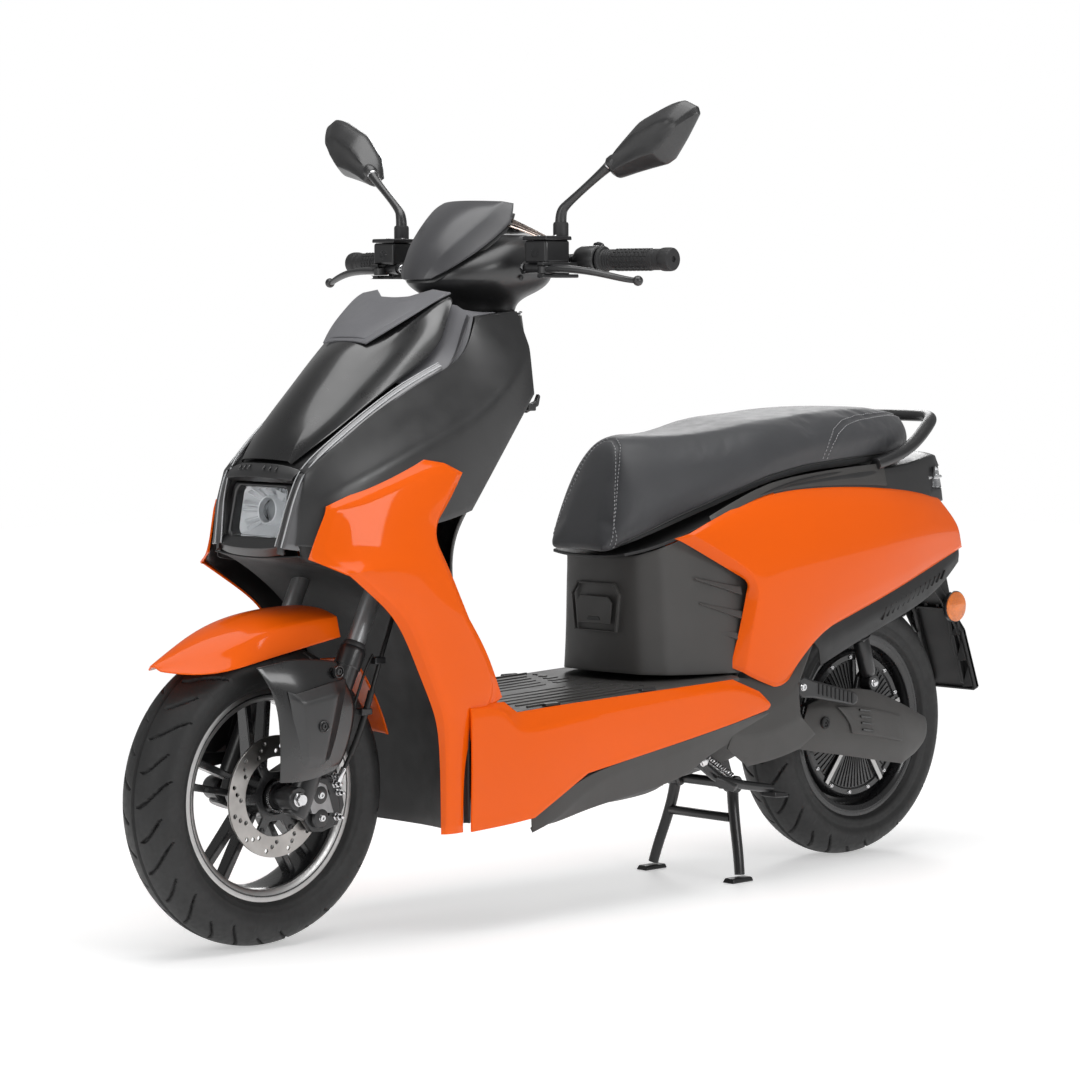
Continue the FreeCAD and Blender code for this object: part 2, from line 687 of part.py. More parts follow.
# ------------------------------------------------------------------ front bodywork
COWL = [
    [(686, 104, 632), (684, 99, 690), (668, 93, 726), (656, 78, 732), (664, 0, 738)],
    [(642, 140, 628), (640, 128, 700), (640, 99, 756), (626, 82, 762), (634, 0, 778)],
    [(560, 156, 640), (560, 142, 730), (560, 111, 814), (548, 94, 812), (560, 0, 845)],
    [(455, 158, 652), (460, 152, 760), (460, 118, 866), (452, 100, 862), (470, 0, 912)],
    [(408, 152, 660), (390, 155, 780), (402, 122, 892), (392, 104, 890), (412, 0, 955)],
    [(362, 152, 672), (322, 157, 840), (366, 121, 984), (358, 108, 984), (352, 0, 984)],
    [(298, 150, 762), (232, 150, 880), (240, 119, 986), (236, 104, 986), (226, 0, 986)],
]


def front_cowl():
    """Matt front shell under the bonnet, open above for the steering head."""
    shape = sheet_panel(full_width(COWL[::-1]), WALL + 1)
    hole = stacked([oval(232, 900, 98, 100), oval(232, 1030, 98, 100)])
    return feature("front_cowl", shape.cut(hole))


HOOD = [
    [(666, 58, 753), (670, 44, 756), (676, 0, 758)],
    [(594, 84, 803), (606, 56, 828), (612, 0, 836)],
    [(508, 94, 858), (528, 62, 894), (534, 0, 903)],
    [(440, 100, 900), (470, 74, 934), (480, 0, 938)],
    [(388, 104, 950), (406, 84, 976), (424, 0, 974)],
    [(370, 105, 1004), (376, 92, 1002), (398, 0, 994)],
]


def nose_hood():
    """Gloss bonnet between the light strips."""
    return feature("nose_hood", sheet_panel(full_width(HOOD[::-1]), WALL))


CAP = [
    [(500, 52, 936), (504, 26, 938), (505, 0, 938)],
    [(464, 74, 961), (470, 36, 956), (472, 0, 956)],
    [(410, 92, 992), (416, 40, 986), (418, 0, 984)],
    [(371, 103, 1014), (386, 34, 1006), (392, 0, 1003)],
]


def nose_cap():
    """Grey trim on top of the bonnet, swept back into two horns."""
    rows = [[(x + 1.2, y, z + 4.2) for x, y, z in row] for row in CAP]
    return feature("nose_cap", sheet_panel(full_width(rows[::-1]), WALL - 1))


def headlight_housing():
    """Bezel that frames the headlamp, with its reflector bowl behind."""
    outer = stacked([
        [(640, 78, 626), (640, -78, 626), (634, -80, 722), (634, 80, 722)],
        [(692, 74, 620), (692, -74, 620), (668, -74, 724), (668, 74, 724)],
    ])
    opening = box((655, -58, 640), (760, 58, 714))
    bowl = Part.makeCone(46, 22, 34, V(656, 0, 676), V(-1, 0, 0))
    return feature("headlight_housing", outer.cut([opening, bowl]))


STRIP = [(694, 84, 626), (684, 96, 696), (664, 99, 742), (560, 113, 822), (406, 124, 900)]


def front_lenses():
    """Headlamp lens and the two daytime light strips."""
    lens = stacked([
        [(672, 56, 642), (672, -56, 642), (668, -56, 712), (668, 56, 712)],
        [(678, 55, 643), (678, -55, 643), (673, -55, 711), (673, 55, 711)],
    ])
    shapes = [lens]
    for sign in SIDES.values():
        rows = []
        for x, y, z in STRIP:
            rows.append([(x + 4, y + 7, z + 2), (x + 5, y - 3, z + 6)])
        shapes.append(sheet_panel(flipped(rows[::-1], sign), 4))
    return feature("front_lenses", Part.makeCompound(shapes))


APRON = [
    [(656, 143, 690), (560, 160, 724), (455, 172, 753)],
    [(672, 136, 646), (575, 168, 690), (410, 178, 735)],
    [(683, 130, 608), (580, 180, 640), (470, 174, 645)],
    [(653, 184, 587), (560, 191, 590), (434, 186, 567)],
    [(533, 170, 507), (480, 189, 505), (403, 190, 504)],
    [(464, 169, 370), (400, 186, 372), (322, 180, 374)],
    [(448, 169, 321), (424, 178, 321), (330, 182, 321)],
    [(447, 170, 165), (420, 176, 165), (330, 182, 165)],
]


def apron(label, sign):
    """Painted leg-shield panel that runs down beside the front wheel."""
    shape = sheet_panel(flipped(APRON, sign), WALL)
    low_y, high_y = sorted((sign * 120, sign * 220))
    return feature(label, shape.cut(box((300, low_y, 100), (405, high_y, 369))))


SILL = [
    [(402, 178, 363), (400, 190, 282), (400, 180, 168)],
    [(324, 179, 365), (330, 191, 284), (266, 186, 175)],
    [(273, 179, 324), (180, 191, 290), (143, 184, 237)],
    [(-229, 177, 348), (-229, 190, 327), (-223, 182, 293)],
    [(-300, 173, 319), (-312, 175, 311), (-305, 173, 304)],
]


def sill_panels():
    """Painted side sills below the footboard."""
    sills = [sheet_panel(flipped(SILL[::-1], sign)) for sign in SIDES.values()]
    return feature("sill_panels", Part.makeCompound(sills))


SHIELD = [
    [(226, 112, 978), (130, 60, 978), (106, 0, 978)],
    [(222, 144, 880), (140, 70, 880), (112, 0, 880)],
    [(288, 146, 755), (200, 80, 750), (180, 0, 748)],
    [(350, 146, 660), (290, 90, 650), (276, 0, 648)],
    [(380, 150, 500), (330, 100, 500), (318, 0, 500)],
    [(318, 158, 374), (300, 100, 372), (296, 0, 372)],
]


def leg_shield():
    """Inner shield that faces the rider's knees."""
    return feature("leg_shield", sheet_panel(full_width(SHIELD), WALL))


def footboard():
    """Flat floor between the sills, slightly higher at the back."""
    rows = [
        [(316, 172, 345), (314, 0, 348)],
        [(120, 172, 355), (120, 0, 359)],
        [(-64, 172, 364), (-64, 0, 368)],
        [(-236, 170, 363), (-236, 0, 367)],
    ]
    return feature("footboard", sheet_panel(full_width(rows), WALL + 1))


BELLY = [
    [(392, 166, 330), (392, 168, 210), (380, 120, 164), (380, 0, 162)],
    [(262, 168, 318), (262, 171, 200), (262, 128, 160), (262, 0, 158)],
    [(140, 168, 326), (140, 172, 228), (140, 130, 160), (140, 0, 158)],
    [(-224, 168, 340), (-224, 172, 270), (-224, 130, 160), (-224, 0, 158)],
    [(-320, 164, 330), (-318, 166, 262), (-290, 130, 196), (-290, 0, 190)],
    [(-424, 150, 292), (-412, 150, 258), (-392, 130, 236), (-392, 0, 232)],
]


def belly_pan():
    """Dark trough under the floor, with a skirt each side of the swingarm pivot."""
    shape = sheet_panel(full_width(BELLY), WALL)
    return feature("belly_pan", shape.cut([box((-460, -126, 120), (-252, 126, 400)),
                                           box((-400, 112, 140), (-130, 182, 252))]))


PILLAR = [
    [(-352, 148, 664), (-215, 146, 628), (-104, 112, 586), (-66, 76, 572), (-62, 0, 570)],
    [(-340, 150, 520), (-225, 150, 500), (-106, 118, 490), (-66, 80, 484), (-62, 0, 482)],
    [(-330, 150, 372), (-232, 150, 374), (-110, 124, 376), (-64, 86, 378), (-58, 0, 378)],
]


def seat_pillar():
    """Shell that carries the seat, with a window for the charging flap."""
    shape = sheet_panel(full_width(PILLAR), WALL)
    return feature("seat_pillar", shape.cut(box((-80, -38, 458), (-50, 38, 502))))


def charge_flap():
    """Flap over the charging socket, hinged along its top edge."""
    return feature("charge_flap", prism([(-58.2, 506), (-55, 506), (-55, 454), (-58.2, 454)], -42, 42))


# ------------------------------------------------------------------ seat and rear bodywork
SEAT = [
    (-20, 66, 583, 596), (-32, 82, 583, 655), (-58, 96, 592, 730), (-90, 106, 604, 768),
    (-130, 116, 618, 774), (-220, 138, 653, 772), (-343, 149, 692, 794), (-490, 141, 712, 806),
    (-607, 130, 718, 809), (-690, 117, 723, 808), (-745, 101, 730, 802), (-778, 82, 738, 792),
    (-804, 50, 750, 774),
]


def seat_cushion():
    """Long padded seat with a sloping nose and a raised passenger part."""
    sections = []
    for x, w, low, high in SEAT:
        rise = high - low
        half = [(w * 0.86, low), (w, low + 0.22 * rise), (w * 0.97, low + 0.6 * rise),
                (w * 0.8, high - 0.12 * rise), (w * 0.42, high - 0.02 * rise)]
        ring = half + [(0, high)] + [(-y, z) for y, z in reversed(half)]
        sections.append([(x, y, z) for y, z in ring])
    return feature("seat_cushion", stacked(sections))


def seat_base():
    """Moulded tray under the cushion."""
    outline = [(-40, 571), (-90, 590), (-220, 638), (-343, 678),
               (-490, 698), (-607, 704), (-740, 712), (-812, 722)]
    top = [(x, z + 9) for x, z in reversed(outline)]
    tray = prism(outline + top, -92, 92)
    nose = box((-50, -60, 564), (-38, 60, 574))
    return feature("seat_base", tray.fuse(nose))


REAR_PANEL = [
    [(-110, 154, 605), (-345, 146, 679), (-450, 144, 680), (-655, 138, 674), (-835, 110, 647)],
    [(-262, 182, 527), (-400, 190, 566), (-480, 188, 572), (-650, 170, 585), (-884, 116, 600)],
    [(-250, 172, 450), (-385, 182, 462), (-500, 178, 490), (-655, 160, 520), (-904, 108, 572)],
    [(-236, 164, 381), (-358, 164, 334), (-432, 170, 424), (-652, 150, 483), (-912, 104, 553)],
]


def rear_panel(label, sign):
    """Painted rear flank with a pointed front edge."""
    return feature(label, sheet_panel(flipped(REAR_PANEL[::-1], sign)))


def tail_cover():
    """Dark rim between the seat and the painted flanks, with the tail block."""
    plan = [(-350, 138), (-655, 130), (-820, 98), (-866, 66),
            (-866, -66), (-820, -98), (-655, -130), (-350, -138)]
    inner = [(-350, 124), (-650, 116), (-800, 84), (-800, -84), (-650, -116), (-350, -124)]
    outside = Part.Face(Part.makePolygon([V(x, y, 640) for x, y in plan + plan[:1]])).extrude(V(0, 0, 90))
    inside = Part.Face(Part.makePolygon([V(x, y, 630) for x, y in inner + inner[:1]])).extrude(V(0, 0, 120))
    band = prism([(-350, 668), (-640, 664), (-880, 650), (-880, 728), (-700, 700), (-620, 702), (-350, 682)],
                 -150, 150)
    pocket = box((-880, -52, 664), (-852, 52, 702))
    return feature("tail_cover", outside.cut(inside).common(band).cut(pocket))


def tail_light():
    """Tail lamp lens in the end of the tail."""
    return feature("tail_light", box((-874, -50, 666), (-853, 50, 700)))


def grab_rail():
    """Passenger's grab rail, one bent bar round the back of the seat."""
    half = [(-640, 130, 716), (-705, 132, 730), (-780, 124, 763), (-836, 102, 788), (-862, 60, 794)]
    points = [V(*p) for p in half] + [side_point(p, -1) for p in reversed(half)]
    shape = rods(points, 10)
    for sign in SIDES.values():
        low_y, high_y = sorted((sign * 108, sign * 134))
        shape = shape.fuse(box((-664, low_y, 704), (-622, high_y, 718)))
    return feature("grab_rail", shape)


# middle of the number-plate board, the way it faces, and the spacing of its two holes
PLATE = V(-980, 0, 358.5)
PLATE_OUT = V(-155, 0, 58).normalize()
PLATE_BOLTS = 50.0


def rear_mudguard():
    """Inner arch over the rear wheel, side trims and the number-plate board."""
    arch = []
    for angle in (104, 90, 75, 58, 40, 24):
        a = math.radians(180 - angle)
        p = REAR_HUB + V(math.cos(a), 0, math.sin(a)) * (size("tyre_radius") + 92)
        arch.append([(p.x, 100, p.z), (p.x, 0, p.z + 4)])
    shell = sheet_panel(full_width(arch), WALL)
    board = prism([(-948, 436), (-954, 436), (-1012, 281), (-1006, 281)], -62, 62)
    stay = [(-868, 520), (-898, 500), (-1000, 292), (-1007, 292), (-950, 440), (-930, 510)]
    lamp = prism([(-950, 446), (-1040, 438), (-1040, 424), (-960, 420)], -18, 18)
    shapes = [shell, board, prism(stay, -42, -37), prism(stay, 37, 42), lamp]
    drills = []
    for sign in SIDES.values():
        low_y, high_y = sorted((sign * 138, sign * 148))
        edge = [(-440, 414), (-640, 470), (-760, 500), (-760, 462), (-640, 428), (-470, 360)]
        trim = prism(edge, low_y, high_y)
        web_low, web_high = sorted((sign * 96, sign * 132))
        web = prism([(-690, 466), (-720, 466), (-720, 574), (-690, 574)], web_low, web_high)
        link_low, link_high = sorted((sign * 120, sign * 140))
        link = prism([(-690, 466), (-720, 466), (-720, 482), (-690, 482)], link_low, link_high)
        reflector = Part.makeCylinder(28, 10, V(-934, sign * 62, 440), V(0, sign, 0))
        hole = PLATE + V(0, sign * PLATE_BOLTS / 2, 0)
        drills.append(cylinder(hole - PLATE_OUT * 12, hole + PLATE_OUT * 12, 3.1))
        shapes += [trim, web, link, reflector]
    shape = shapes[0].fuse(shapes[1:])
    return feature("rear_mudguard", shape.cut(drills))


# ------------------------------------------------------------------ chassis and drive
def main_frame():
    """Welded tube frame with the steering head, floor rails and seat rails."""
    radius = size("frame_tube")
    head = (stem_point(700), stem_point(850))
    shape = cylinder(head[0], head[1], 27)
    shape = shape.fuse(rods([stem_point(790), V(352, 0, 560), V(352, 0, 306)], 22))
    shape = shape.fuse(box((330, -size("rail_side"), 286), (364, size("rail_side"), 326)))
    for sign in SIDES.values():
        side = sign * size("rail_side")
        rail = [V(346, side, 306), V(-240, side, 308), V(-288, side, 400), V(-330, side, 612),
                V(-600, side, 632), V(-766, side * 0.6, 650)]
        shape = shape.fuse(rods(rail, radius))
        gusset = [(-240, 340), (-300, 460), (-320, 460), (-430, 350), (-430, 215), (-380, 215), (-260, 280)]
        shape = shape.fuse(prism(gusset, *sorted((sign * 96, sign * 106))))
        shape = shape.fuse(cylinder(V(-590, sign * 84, 520), V(-590, sign * 130, 520), 9))
        shape = shape.fuse(rods([V(-590, sign * 131, 520), V(-574, sign * 122, 626)], 9))
        shape = shape.fuse(cylinder(V(-412, sign * 104, 336), V(-412, sign * 136, 336), 10))
    shape = shape.fuse([rods([V(-172, 112, 300), V(-172, 112, 226)], 10),
                        cylinder(V(-172, 112, 226), V(-172, 146, 226), 6)])
    shape = shape.fuse(cylinder(V(-330, -size("rail_side"), 612), V(-330, size("rail_side"), 612), 14))
    shape = shape.fuse(cylinder(PIVOT - V(0, 110, 0), PIVOT + V(0, 110, 0), 10))
    shape = shape.fuse(cylinder(STAND_PIVOT - V(0, 60, 0), STAND_PIVOT + V(0, 60, 0), 9))
    for sign in SIDES.values():
        brace = prism([(-255, 300), (-300, 300), (-346, 176), (-340, 156), (-318, 156)],
                      *sorted((sign * 46, sign * 54)))
        shape = shape.fuse(brace)
    shape = shape.fuse(box((-300, -size("rail_side"), 282), (-262, size("rail_side"), 300)))
    bore = cylinder(stem_point(640), stem_point(900), 20)
    return feature("main_frame", shape.cut(bore))


def steering_bearings():
    """Upper and lower bearing rings of the steering head."""
    inner = size("stem_radius") + size("running_gap")
    shapes = []
    for low, high in ((700, 716), (834, 850)):
        shapes.append(tube(stem_point(low), stem_point(high), 19.95, inner))
    return feature("steering_bearings", Part.makeCompound(shapes))


def battery():
    """Traction battery under the floor."""
    body = body_of("battery")
    outline = sketch_on(body, "battery_plan", "top", [[(-215, -88), (215, -88), (215, 88), (-215, 88)]])
    pad(body, "battery_block", outline, 140)
    return keep(body, "battery", V(80, 0, 252))


def controller():
    """Motor controller with cooling fins, behind the battery."""
    body = body_of("controller")
    outline = sketch_on(body, "controller_plan", "top", [[(-45, -70), (45, -70), (45, 70), (-45, 70)]])
    pad(body, "controller_block", outline, 60)
    fins = [[(x - 2, -66), (x + 2, -66), (x + 2, 66), (x - 2, 66)] for x in range(-38, 39, 19)]
    ribs = sketch_on(body, "controller_fins", "top", fins)
    pad(body, "controller_fin_block", ribs, 76)
    return keep(body, "controller", V(-196, 0, 420))


def storage_bin():
    """Open tub under the seat."""
    outer = stacked([
        [(-130, 70, 470), (-130, -70, 470), (-292, -70, 470), (-292, 70, 470)],
        [(-116, 92, 560), (-116, -92, 560), (-306, -92, 560), (-306, 92, 560)],
    ])
    inner = stacked([
        [(-133, 67, 473), (-133, -67, 473), (-289, -67, 473), (-289, 67, 473)],
        [(-119, 89, 561), (-119, -89, 561), (-303, -89, 561), (-303, 89, 561)],
    ])
    return feature("storage_bin", outer.cut(inner))


def swingarm():
    """Two blades from the pivot tube to the motor axle, with shock brackets."""
    side = size("arm_side")
    hub = cylinder(PIVOT - V(0, side + 8, 0), PIVOT + V(0, side + 8, 0), 22)
    shape = hub
    profile = [(-392, 232), (-392, 270), (-560, 276), (-640, 268), (-716, 258), (-716, 220), (-560, 228)]
    for sign in SIDES.values():
        blade = prism(profile, *sorted((sign * (side - 8), sign * (side + 8))))
        bracket = prism([(-620, 266), (-690, 258), (-672, 334), (-638, 334)],
                        *sorted((sign * (side - 8), sign * (side + 2))))
        pin = cylinder(V(-655, sign * (side - 4), 322), V(-655, sign * (side + 26), 322), 5)
        shape = shape.fuse([blade, bracket, pin])
    reach = side + 22
    shape = shape.fuse(cylinder(REAR_HUB - V(0, reach, 0), REAR_HUB + V(0, reach, 0), size("axle_radius")))
    for sign in SIDES.values():
        ends = (REAR_HUB + V(0, sign * 47.5, 0), REAR_HUB + V(0, sign * (side - 8), 0))
        nut_ends = (REAR_HUB + V(0, sign * (side + 8), 0), REAR_HUB + V(0, sign * (side + 18), 0))
        shape = shape.fuse([cylinder(*ends, 13), cylinder(*nut_ends, 15)])
    bore = cylinder(PIVOT - V(0, 120, 0), PIVOT + V(0, 120, 0), 10 + size("running_gap"))
    return feature("swingarm", shape.cut(bore))


ARM_COVER = [
    [(-478, 116, 298), (-546, 126, 323), (-640, 130, 300), (-797, 114, 250)],
    [(-452, 122, 258), (-560, 134, 262), (-680, 136, 240), (-796, 120, 216)],
    [(-436, 116, 222), (-540, 126, 203), (-722, 124, 171), (-768, 112, 184)],
]


def swingarm_cover():
    """Moulded cover over the left swingarm blade."""
    return feature("swingarm_cover", sheet_panel(ARM_COVER[::-1], WALL))


SHOCK_TOP = V(-590, 0, 520)
SHOCK_EYE = V(-655, 0, 322)


def shock_line(sign):
    side = V(0, sign * size("shock_side"), 0)
    return SHOCK_TOP + side, SHOCK_EYE + side


def shock_rods():
    """Upper eye, spring tube and rod of each rear shock."""
    shapes = []
    for sign in SIDES.values():
        top, low = shock_line(sign)
        down = (low - top).normalize()
        eye = cylinder(top - V(0, 9, 0), top + V(0, 9, 0), 14)
        can = cylinder(top + down * 10, top + down * 80, 19)
        rod = cylinder(top + down * 78, top + down * 140, 6)
        hole = cylinder(top - V(0, 20, 0), top + V(0, 20, 0), 9 + size("running_gap"))
        shapes.append(eye.fuse([can, rod]).cut(hole))
    return feature("shock_rods", Part.makeCompound(shapes))


def shock_bodies():
    """Damper body and open lower eye of each rear shock."""
    shapes = []
    for sign in SIDES.values():
        top, low = shock_line(sign)
        down = (low - top).normalize()
        length = (low - top).Length
        can = cylinder(top + down * 125, top + down * (length - 10), 15)
        eye = cylinder(low - V(0, 8, 0), low + V(0, 8, 0), 13)
        bore = cylinder(top + down * 80, top + down * (length - 22), 6 + size("running_gap"))
        hole = cylinder(low - V(0, 20, 0), low + V(0, 20, 0), 7.2)
        shapes.append(can.fuse(eye).cut([bore, hole]))
    return feature("shock_bodies", Part.makeCompound(shapes))


def side_stand():
    """Prop stand folded back along the belly."""
    pivot = V(-172, 134, 226)
    arm = rods([pivot, V(-230, 136, 182), V(-352, 138, 162)], 8)
    foot = box((-376, 124, 148), (-346, 156, 156))
    ear = cylinder(pivot - V(0, 9, 0), pivot + V(0, 9, 0), 15)
    hole = cylinder(pivot - V(0, 20, 0), pivot + V(0, 20, 0), 6 + size("running_gap"))
    return feature("side_stand", arm.fuse([foot, ear]).cut(hole))


def centre_stand():
    """Two-legged centre stand, down, with flat feet on the ground."""
    side = size("stand_side")
    toe = V(STAND_PIVOT.x + 24, 0, 0)
    hub_low = cylinder(STAND_PIVOT + V(0, 56, 0), STAND_PIVOT + V(0, 80, 0), 15)
    hub_high = cylinder(STAND_PIVOT - V(0, 80, 0), STAND_PIVOT - V(0, 56, 0), 15)
    shape = hub_low.fuse(hub_high)
    for sign in SIDES.values():
        leg = rods([STAND_PIVOT + V(0, sign * 68, 0), V(toe.x - 4, sign * side, 6)], 9)
        low_y, high_y = sorted((sign * (side - 13), sign * (side + 13)))
        foot = box((toe.x - 26, low_y, 0), (toe.x + 26, high_y, 8))
        shape = shape.fuse([leg, foot])
    middle = STAND_PIVOT + V(8, 0, -58)
    shape = shape.fuse(cylinder(middle - V(0, 78, 0), middle + V(0, 78, 0), 8))
    bore = cylinder(STAND_PIVOT - V(0, 90, 0), STAND_PIVOT + V(0, 90, 0), 9 + size("running_gap"))
    return feature("centre_stand", shape.cut(bore))


def pillion_peg(label, sign):
    """Folding passenger footrest, folded back."""
    bar = prism([(-404, 350), (-404, 320), (-440, 314), (-556, 292), (-556, 316), (-440, 344)],
                *sorted((sign * 140, sign * 160)))
    return feature(label, bar)


def ignition_knob():
    """Turning start knob on the inner shield."""
    return feature("ignition_knob", Part.makeCylinder(15, 16, V(114.5, -34, 890), V(-1, 0, 0)))


# ------------------------------------------------------------------ build everything
tyre("front_tyre", FRONT_HUB, size("front_rim_half"))
tyre("rear_tyre", REAR_HUB, size("rear_rim_half"))
front_rim()
hub_motor()
front_disc()
BUILDERS = [
    fork_crown, fork_legs, front_axle, front_fender, fork_covers, front_caliper, brake_hose,
    handlebar, control_housings, mirror_stems, handlebar_cover, flyscreen,
    front_cowl, nose_hood, nose_cap, headlight_housing, front_lenses,
    sill_panels, leg_shield, footboard, belly_pan, seat_pillar, charge_flap,
    seat_cushion, seat_base, tail_cover, tail_light, grab_rail, rear_mudguard,
    main_frame, steering_bearings, battery, controller, storage_bin,
    swingarm, swingarm_cover, shock_rods, shock_bodies, side_stand, centre_stand, ignition_knob,
]
for build in BUILDERS:
    build()
grip("left_grip", 1)
grip("throttle_grip", -1)
button("horn_button", 1)
button("start_button", -1)
for side_name, side_sign in SIDES.items():
    lever(f"lever_{side_name}", side_sign)
    mirror_head(f"mirror_{side_name}", side_sign)
    apron(f"apron_{side_name}", side_sign)
    rear_panel(f"rear_panel_{side_name}", side_sign)
    pillion_peg(f"pillion_peg_{side_name}", side_sign)

doc.recompute()

# ------------------------------------------------------------------ check and export
problems = []
for obj in doc.Objects:
    if "Invalid" in obj.State or "Error" in obj.State:
        problems.append(f"{obj.Label}: {obj.State}")
for obj in NODES:
    shape = obj.Shape
    if shape.isNull() or not shape.isValid() or not shape.Solids:
        problems.append(f"{obj.Label}: shape not usable")
if problems:
    raise SystemExit("\n".join(problems))
os.makedirs("parts", exist_ok=True)
for obj in NODES:
    obj.Shape.exportStep(os.path.join("parts", f"{obj.Label}.step"))
print(len(NODES), "pieces written")
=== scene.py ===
"""Studio scene of a step-through electric moped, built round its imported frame."""
import math

import bmesh
import bpy
import numpy as np
from mathutils import Matrix, Vector


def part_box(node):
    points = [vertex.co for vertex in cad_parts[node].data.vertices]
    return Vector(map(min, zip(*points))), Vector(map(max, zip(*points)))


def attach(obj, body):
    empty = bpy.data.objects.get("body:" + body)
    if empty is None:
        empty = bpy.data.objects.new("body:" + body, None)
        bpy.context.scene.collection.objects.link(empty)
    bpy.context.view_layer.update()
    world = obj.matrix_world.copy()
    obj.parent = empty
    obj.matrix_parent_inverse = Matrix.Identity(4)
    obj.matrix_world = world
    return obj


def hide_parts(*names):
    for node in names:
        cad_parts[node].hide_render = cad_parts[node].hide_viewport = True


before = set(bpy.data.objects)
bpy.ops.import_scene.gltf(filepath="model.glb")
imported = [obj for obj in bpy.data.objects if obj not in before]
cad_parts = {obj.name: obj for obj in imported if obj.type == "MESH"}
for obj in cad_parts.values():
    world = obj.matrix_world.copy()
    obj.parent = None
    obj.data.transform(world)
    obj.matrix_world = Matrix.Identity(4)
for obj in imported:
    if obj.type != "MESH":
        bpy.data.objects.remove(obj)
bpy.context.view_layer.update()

SIDES = (("left", 1), ("right", -1))
MM = 0.001


def node_middle(node):
    low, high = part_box(node)
    return (low + high) / 2


FRONT = node_middle("front_tyre") / MM
REAR = node_middle("rear_tyre") / MM
SHIFT = (FRONT.x + REAR.x) / 2
HALF_BASE = (FRONT.x - REAR.x) / 2
HUB_Z = FRONT.z
TYRE_R = (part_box("front_tyre")[1].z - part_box("front_tyre")[0].z) / MM / 2
RAKE = math.radians(26)
UP = Vector((-math.sin(RAKE), 0, math.cos(RAKE)))
AHEAD = Vector((math.cos(RAKE), 0, math.sin(RAKE)))
FRONT_HUB = Vector((HALF_BASE, 0, HUB_Z))
REAR_HUB = Vector((-HALF_BASE, 0, HUB_Z))
LEG_FOOT = FRONT_HUB - AHEAD * 16
STEM_FOOT = LEG_FOOT - AHEAD * 30


def place(p):
    """Millimetres from the middle of the wheelbase to metres in the frame."""
    return Vector(((p[0] + SHIFT) * MM, p[1] * MM, p[2] * MM))


def leg_point(reach, sign):
    return LEG_FOOT + UP * reach + Vector((0, sign * 90, 0))


def side_point(p, sign):
    return Vector((p[0], p[1] * sign, p[2]))


# ---------------------------------------------------------------- materials
def new_material(name):
    made = bpy.data.materials.new(name)
    made.use_nodes = True
    tree = made.node_tree
    return made, tree, tree.nodes["Principled BSDF"]


def coords(tree, scale=(1, 1, 1)):
    where = tree.nodes.new("ShaderNodeTexCoord")
    mapping = tree.nodes.new("ShaderNodeMapping")
    mapping.inputs["Scale"].default_value = scale
    tree.links.new(where.outputs["Object"], mapping.inputs["Vector"])
    return mapping.outputs["Vector"]


def noise(tree, vector, scale, detail=3.0, rough=0.5):
    node = tree.nodes.new("ShaderNodeTexNoise")
    node.inputs["Scale"].default_value = scale
    node.inputs["Detail"].default_value = detail
    node.inputs["Roughness"].default_value = rough
    tree.links.new(vector, node.inputs["Vector"])
    return node.outputs["Fac"]


def ramp(tree, source, low, high, start=0.3, end=0.7):
    node = tree.nodes.new("ShaderNodeValToRGB")
    stops = node.color_ramp.elements
    stops[0].position, stops[1].position = start, end
    stops[0].color, stops[1].color = low, high
    tree.links.new(source, node.inputs["Fac"])
    return node.outputs["Color"]


def span(tree, source, low, high):
    node = tree.nodes.new("ShaderNodeMapRange")
    node.inputs["From Min"].default_value = 0.3
    node.inputs["From Max"].default_value = 0.7
    node.inputs["To Min"].default_value = low
    node.inputs["To Max"].default_value = high
    tree.links.new(source, node.inputs["Value"])
    return node.outputs["Result"]


def add_bump(tree, bsdf, height, strength, distance):
    node = tree.nodes.new("ShaderNodeBump")
    node.inputs["Strength"].default_value = strength
    node.inputs["Distance"].default_value = distance
    tree.links.new(height, node.inputs["Height"])
    normal = bsdf.inputs["Normal"]
    if normal.is_linked:
        tree.links.new(normal.links[0].from_socket, node.inputs["Normal"])
    tree.links.new(node.outputs["Normal"], normal)


def tint(colour, gain):
    return (min(colour[0] * gain, 1), min(colour[1] * gain, 1), min(colour[2] * gain, 1), 1)


def surface(name, colour, rough, metal=0.0, vary=0.08, vary_scale=9.0, grain=0.0, grain_scale=900.0,
            grain_depth=0.0002,
            coat=0.0, coat_rough=0.04, rough_vary=0.04, sheen=0.0, specular=0.5, cells=False,
            stretch=(1, 1, 1)):
    """Procedural finish: cloudy colour and roughness plus a fine grain."""
    made, tree, bsdf = new_material(name)
    vector = coords(tree, stretch)
    cloud = noise(tree, vector, vary_scale, 4.0)
    tree.links.new(ramp(tree, cloud, tint(colour, 1 - vary), tint(colour, 1 + vary)),
                   bsdf.inputs["Base Color"])
    patch = noise(tree, vector, vary_scale * 3.7, 3.0)
    tree.links.new(span(tree, patch, max(rough - rough_vary, 0.02), rough + rough_vary),
                   bsdf.inputs["Roughness"])
    bsdf.inputs["Metallic"].default_value = metal
    bsdf.inputs["Coat Weight"].default_value = coat
    bsdf.inputs["Coat Roughness"].default_value = coat_rough
    bsdf.inputs["Specular IOR Level"].default_value = specular
    bsdf.inputs["Sheen Weight"].default_value = sheen
    if grain:
        if cells:
            node = tree.nodes.new("ShaderNodeTexVoronoi")
            node.feature = "DISTANCE_TO_EDGE"
            node.inputs["Scale"].default_value = grain_scale
            tree.links.new(vector, node.inputs["Vector"])
            height = node.outputs["Distance"]
        else:
            height = noise(tree, vector, grain_scale, 2.0)
        add_bump(tree, bsdf, height, grain, grain_depth)
    return made


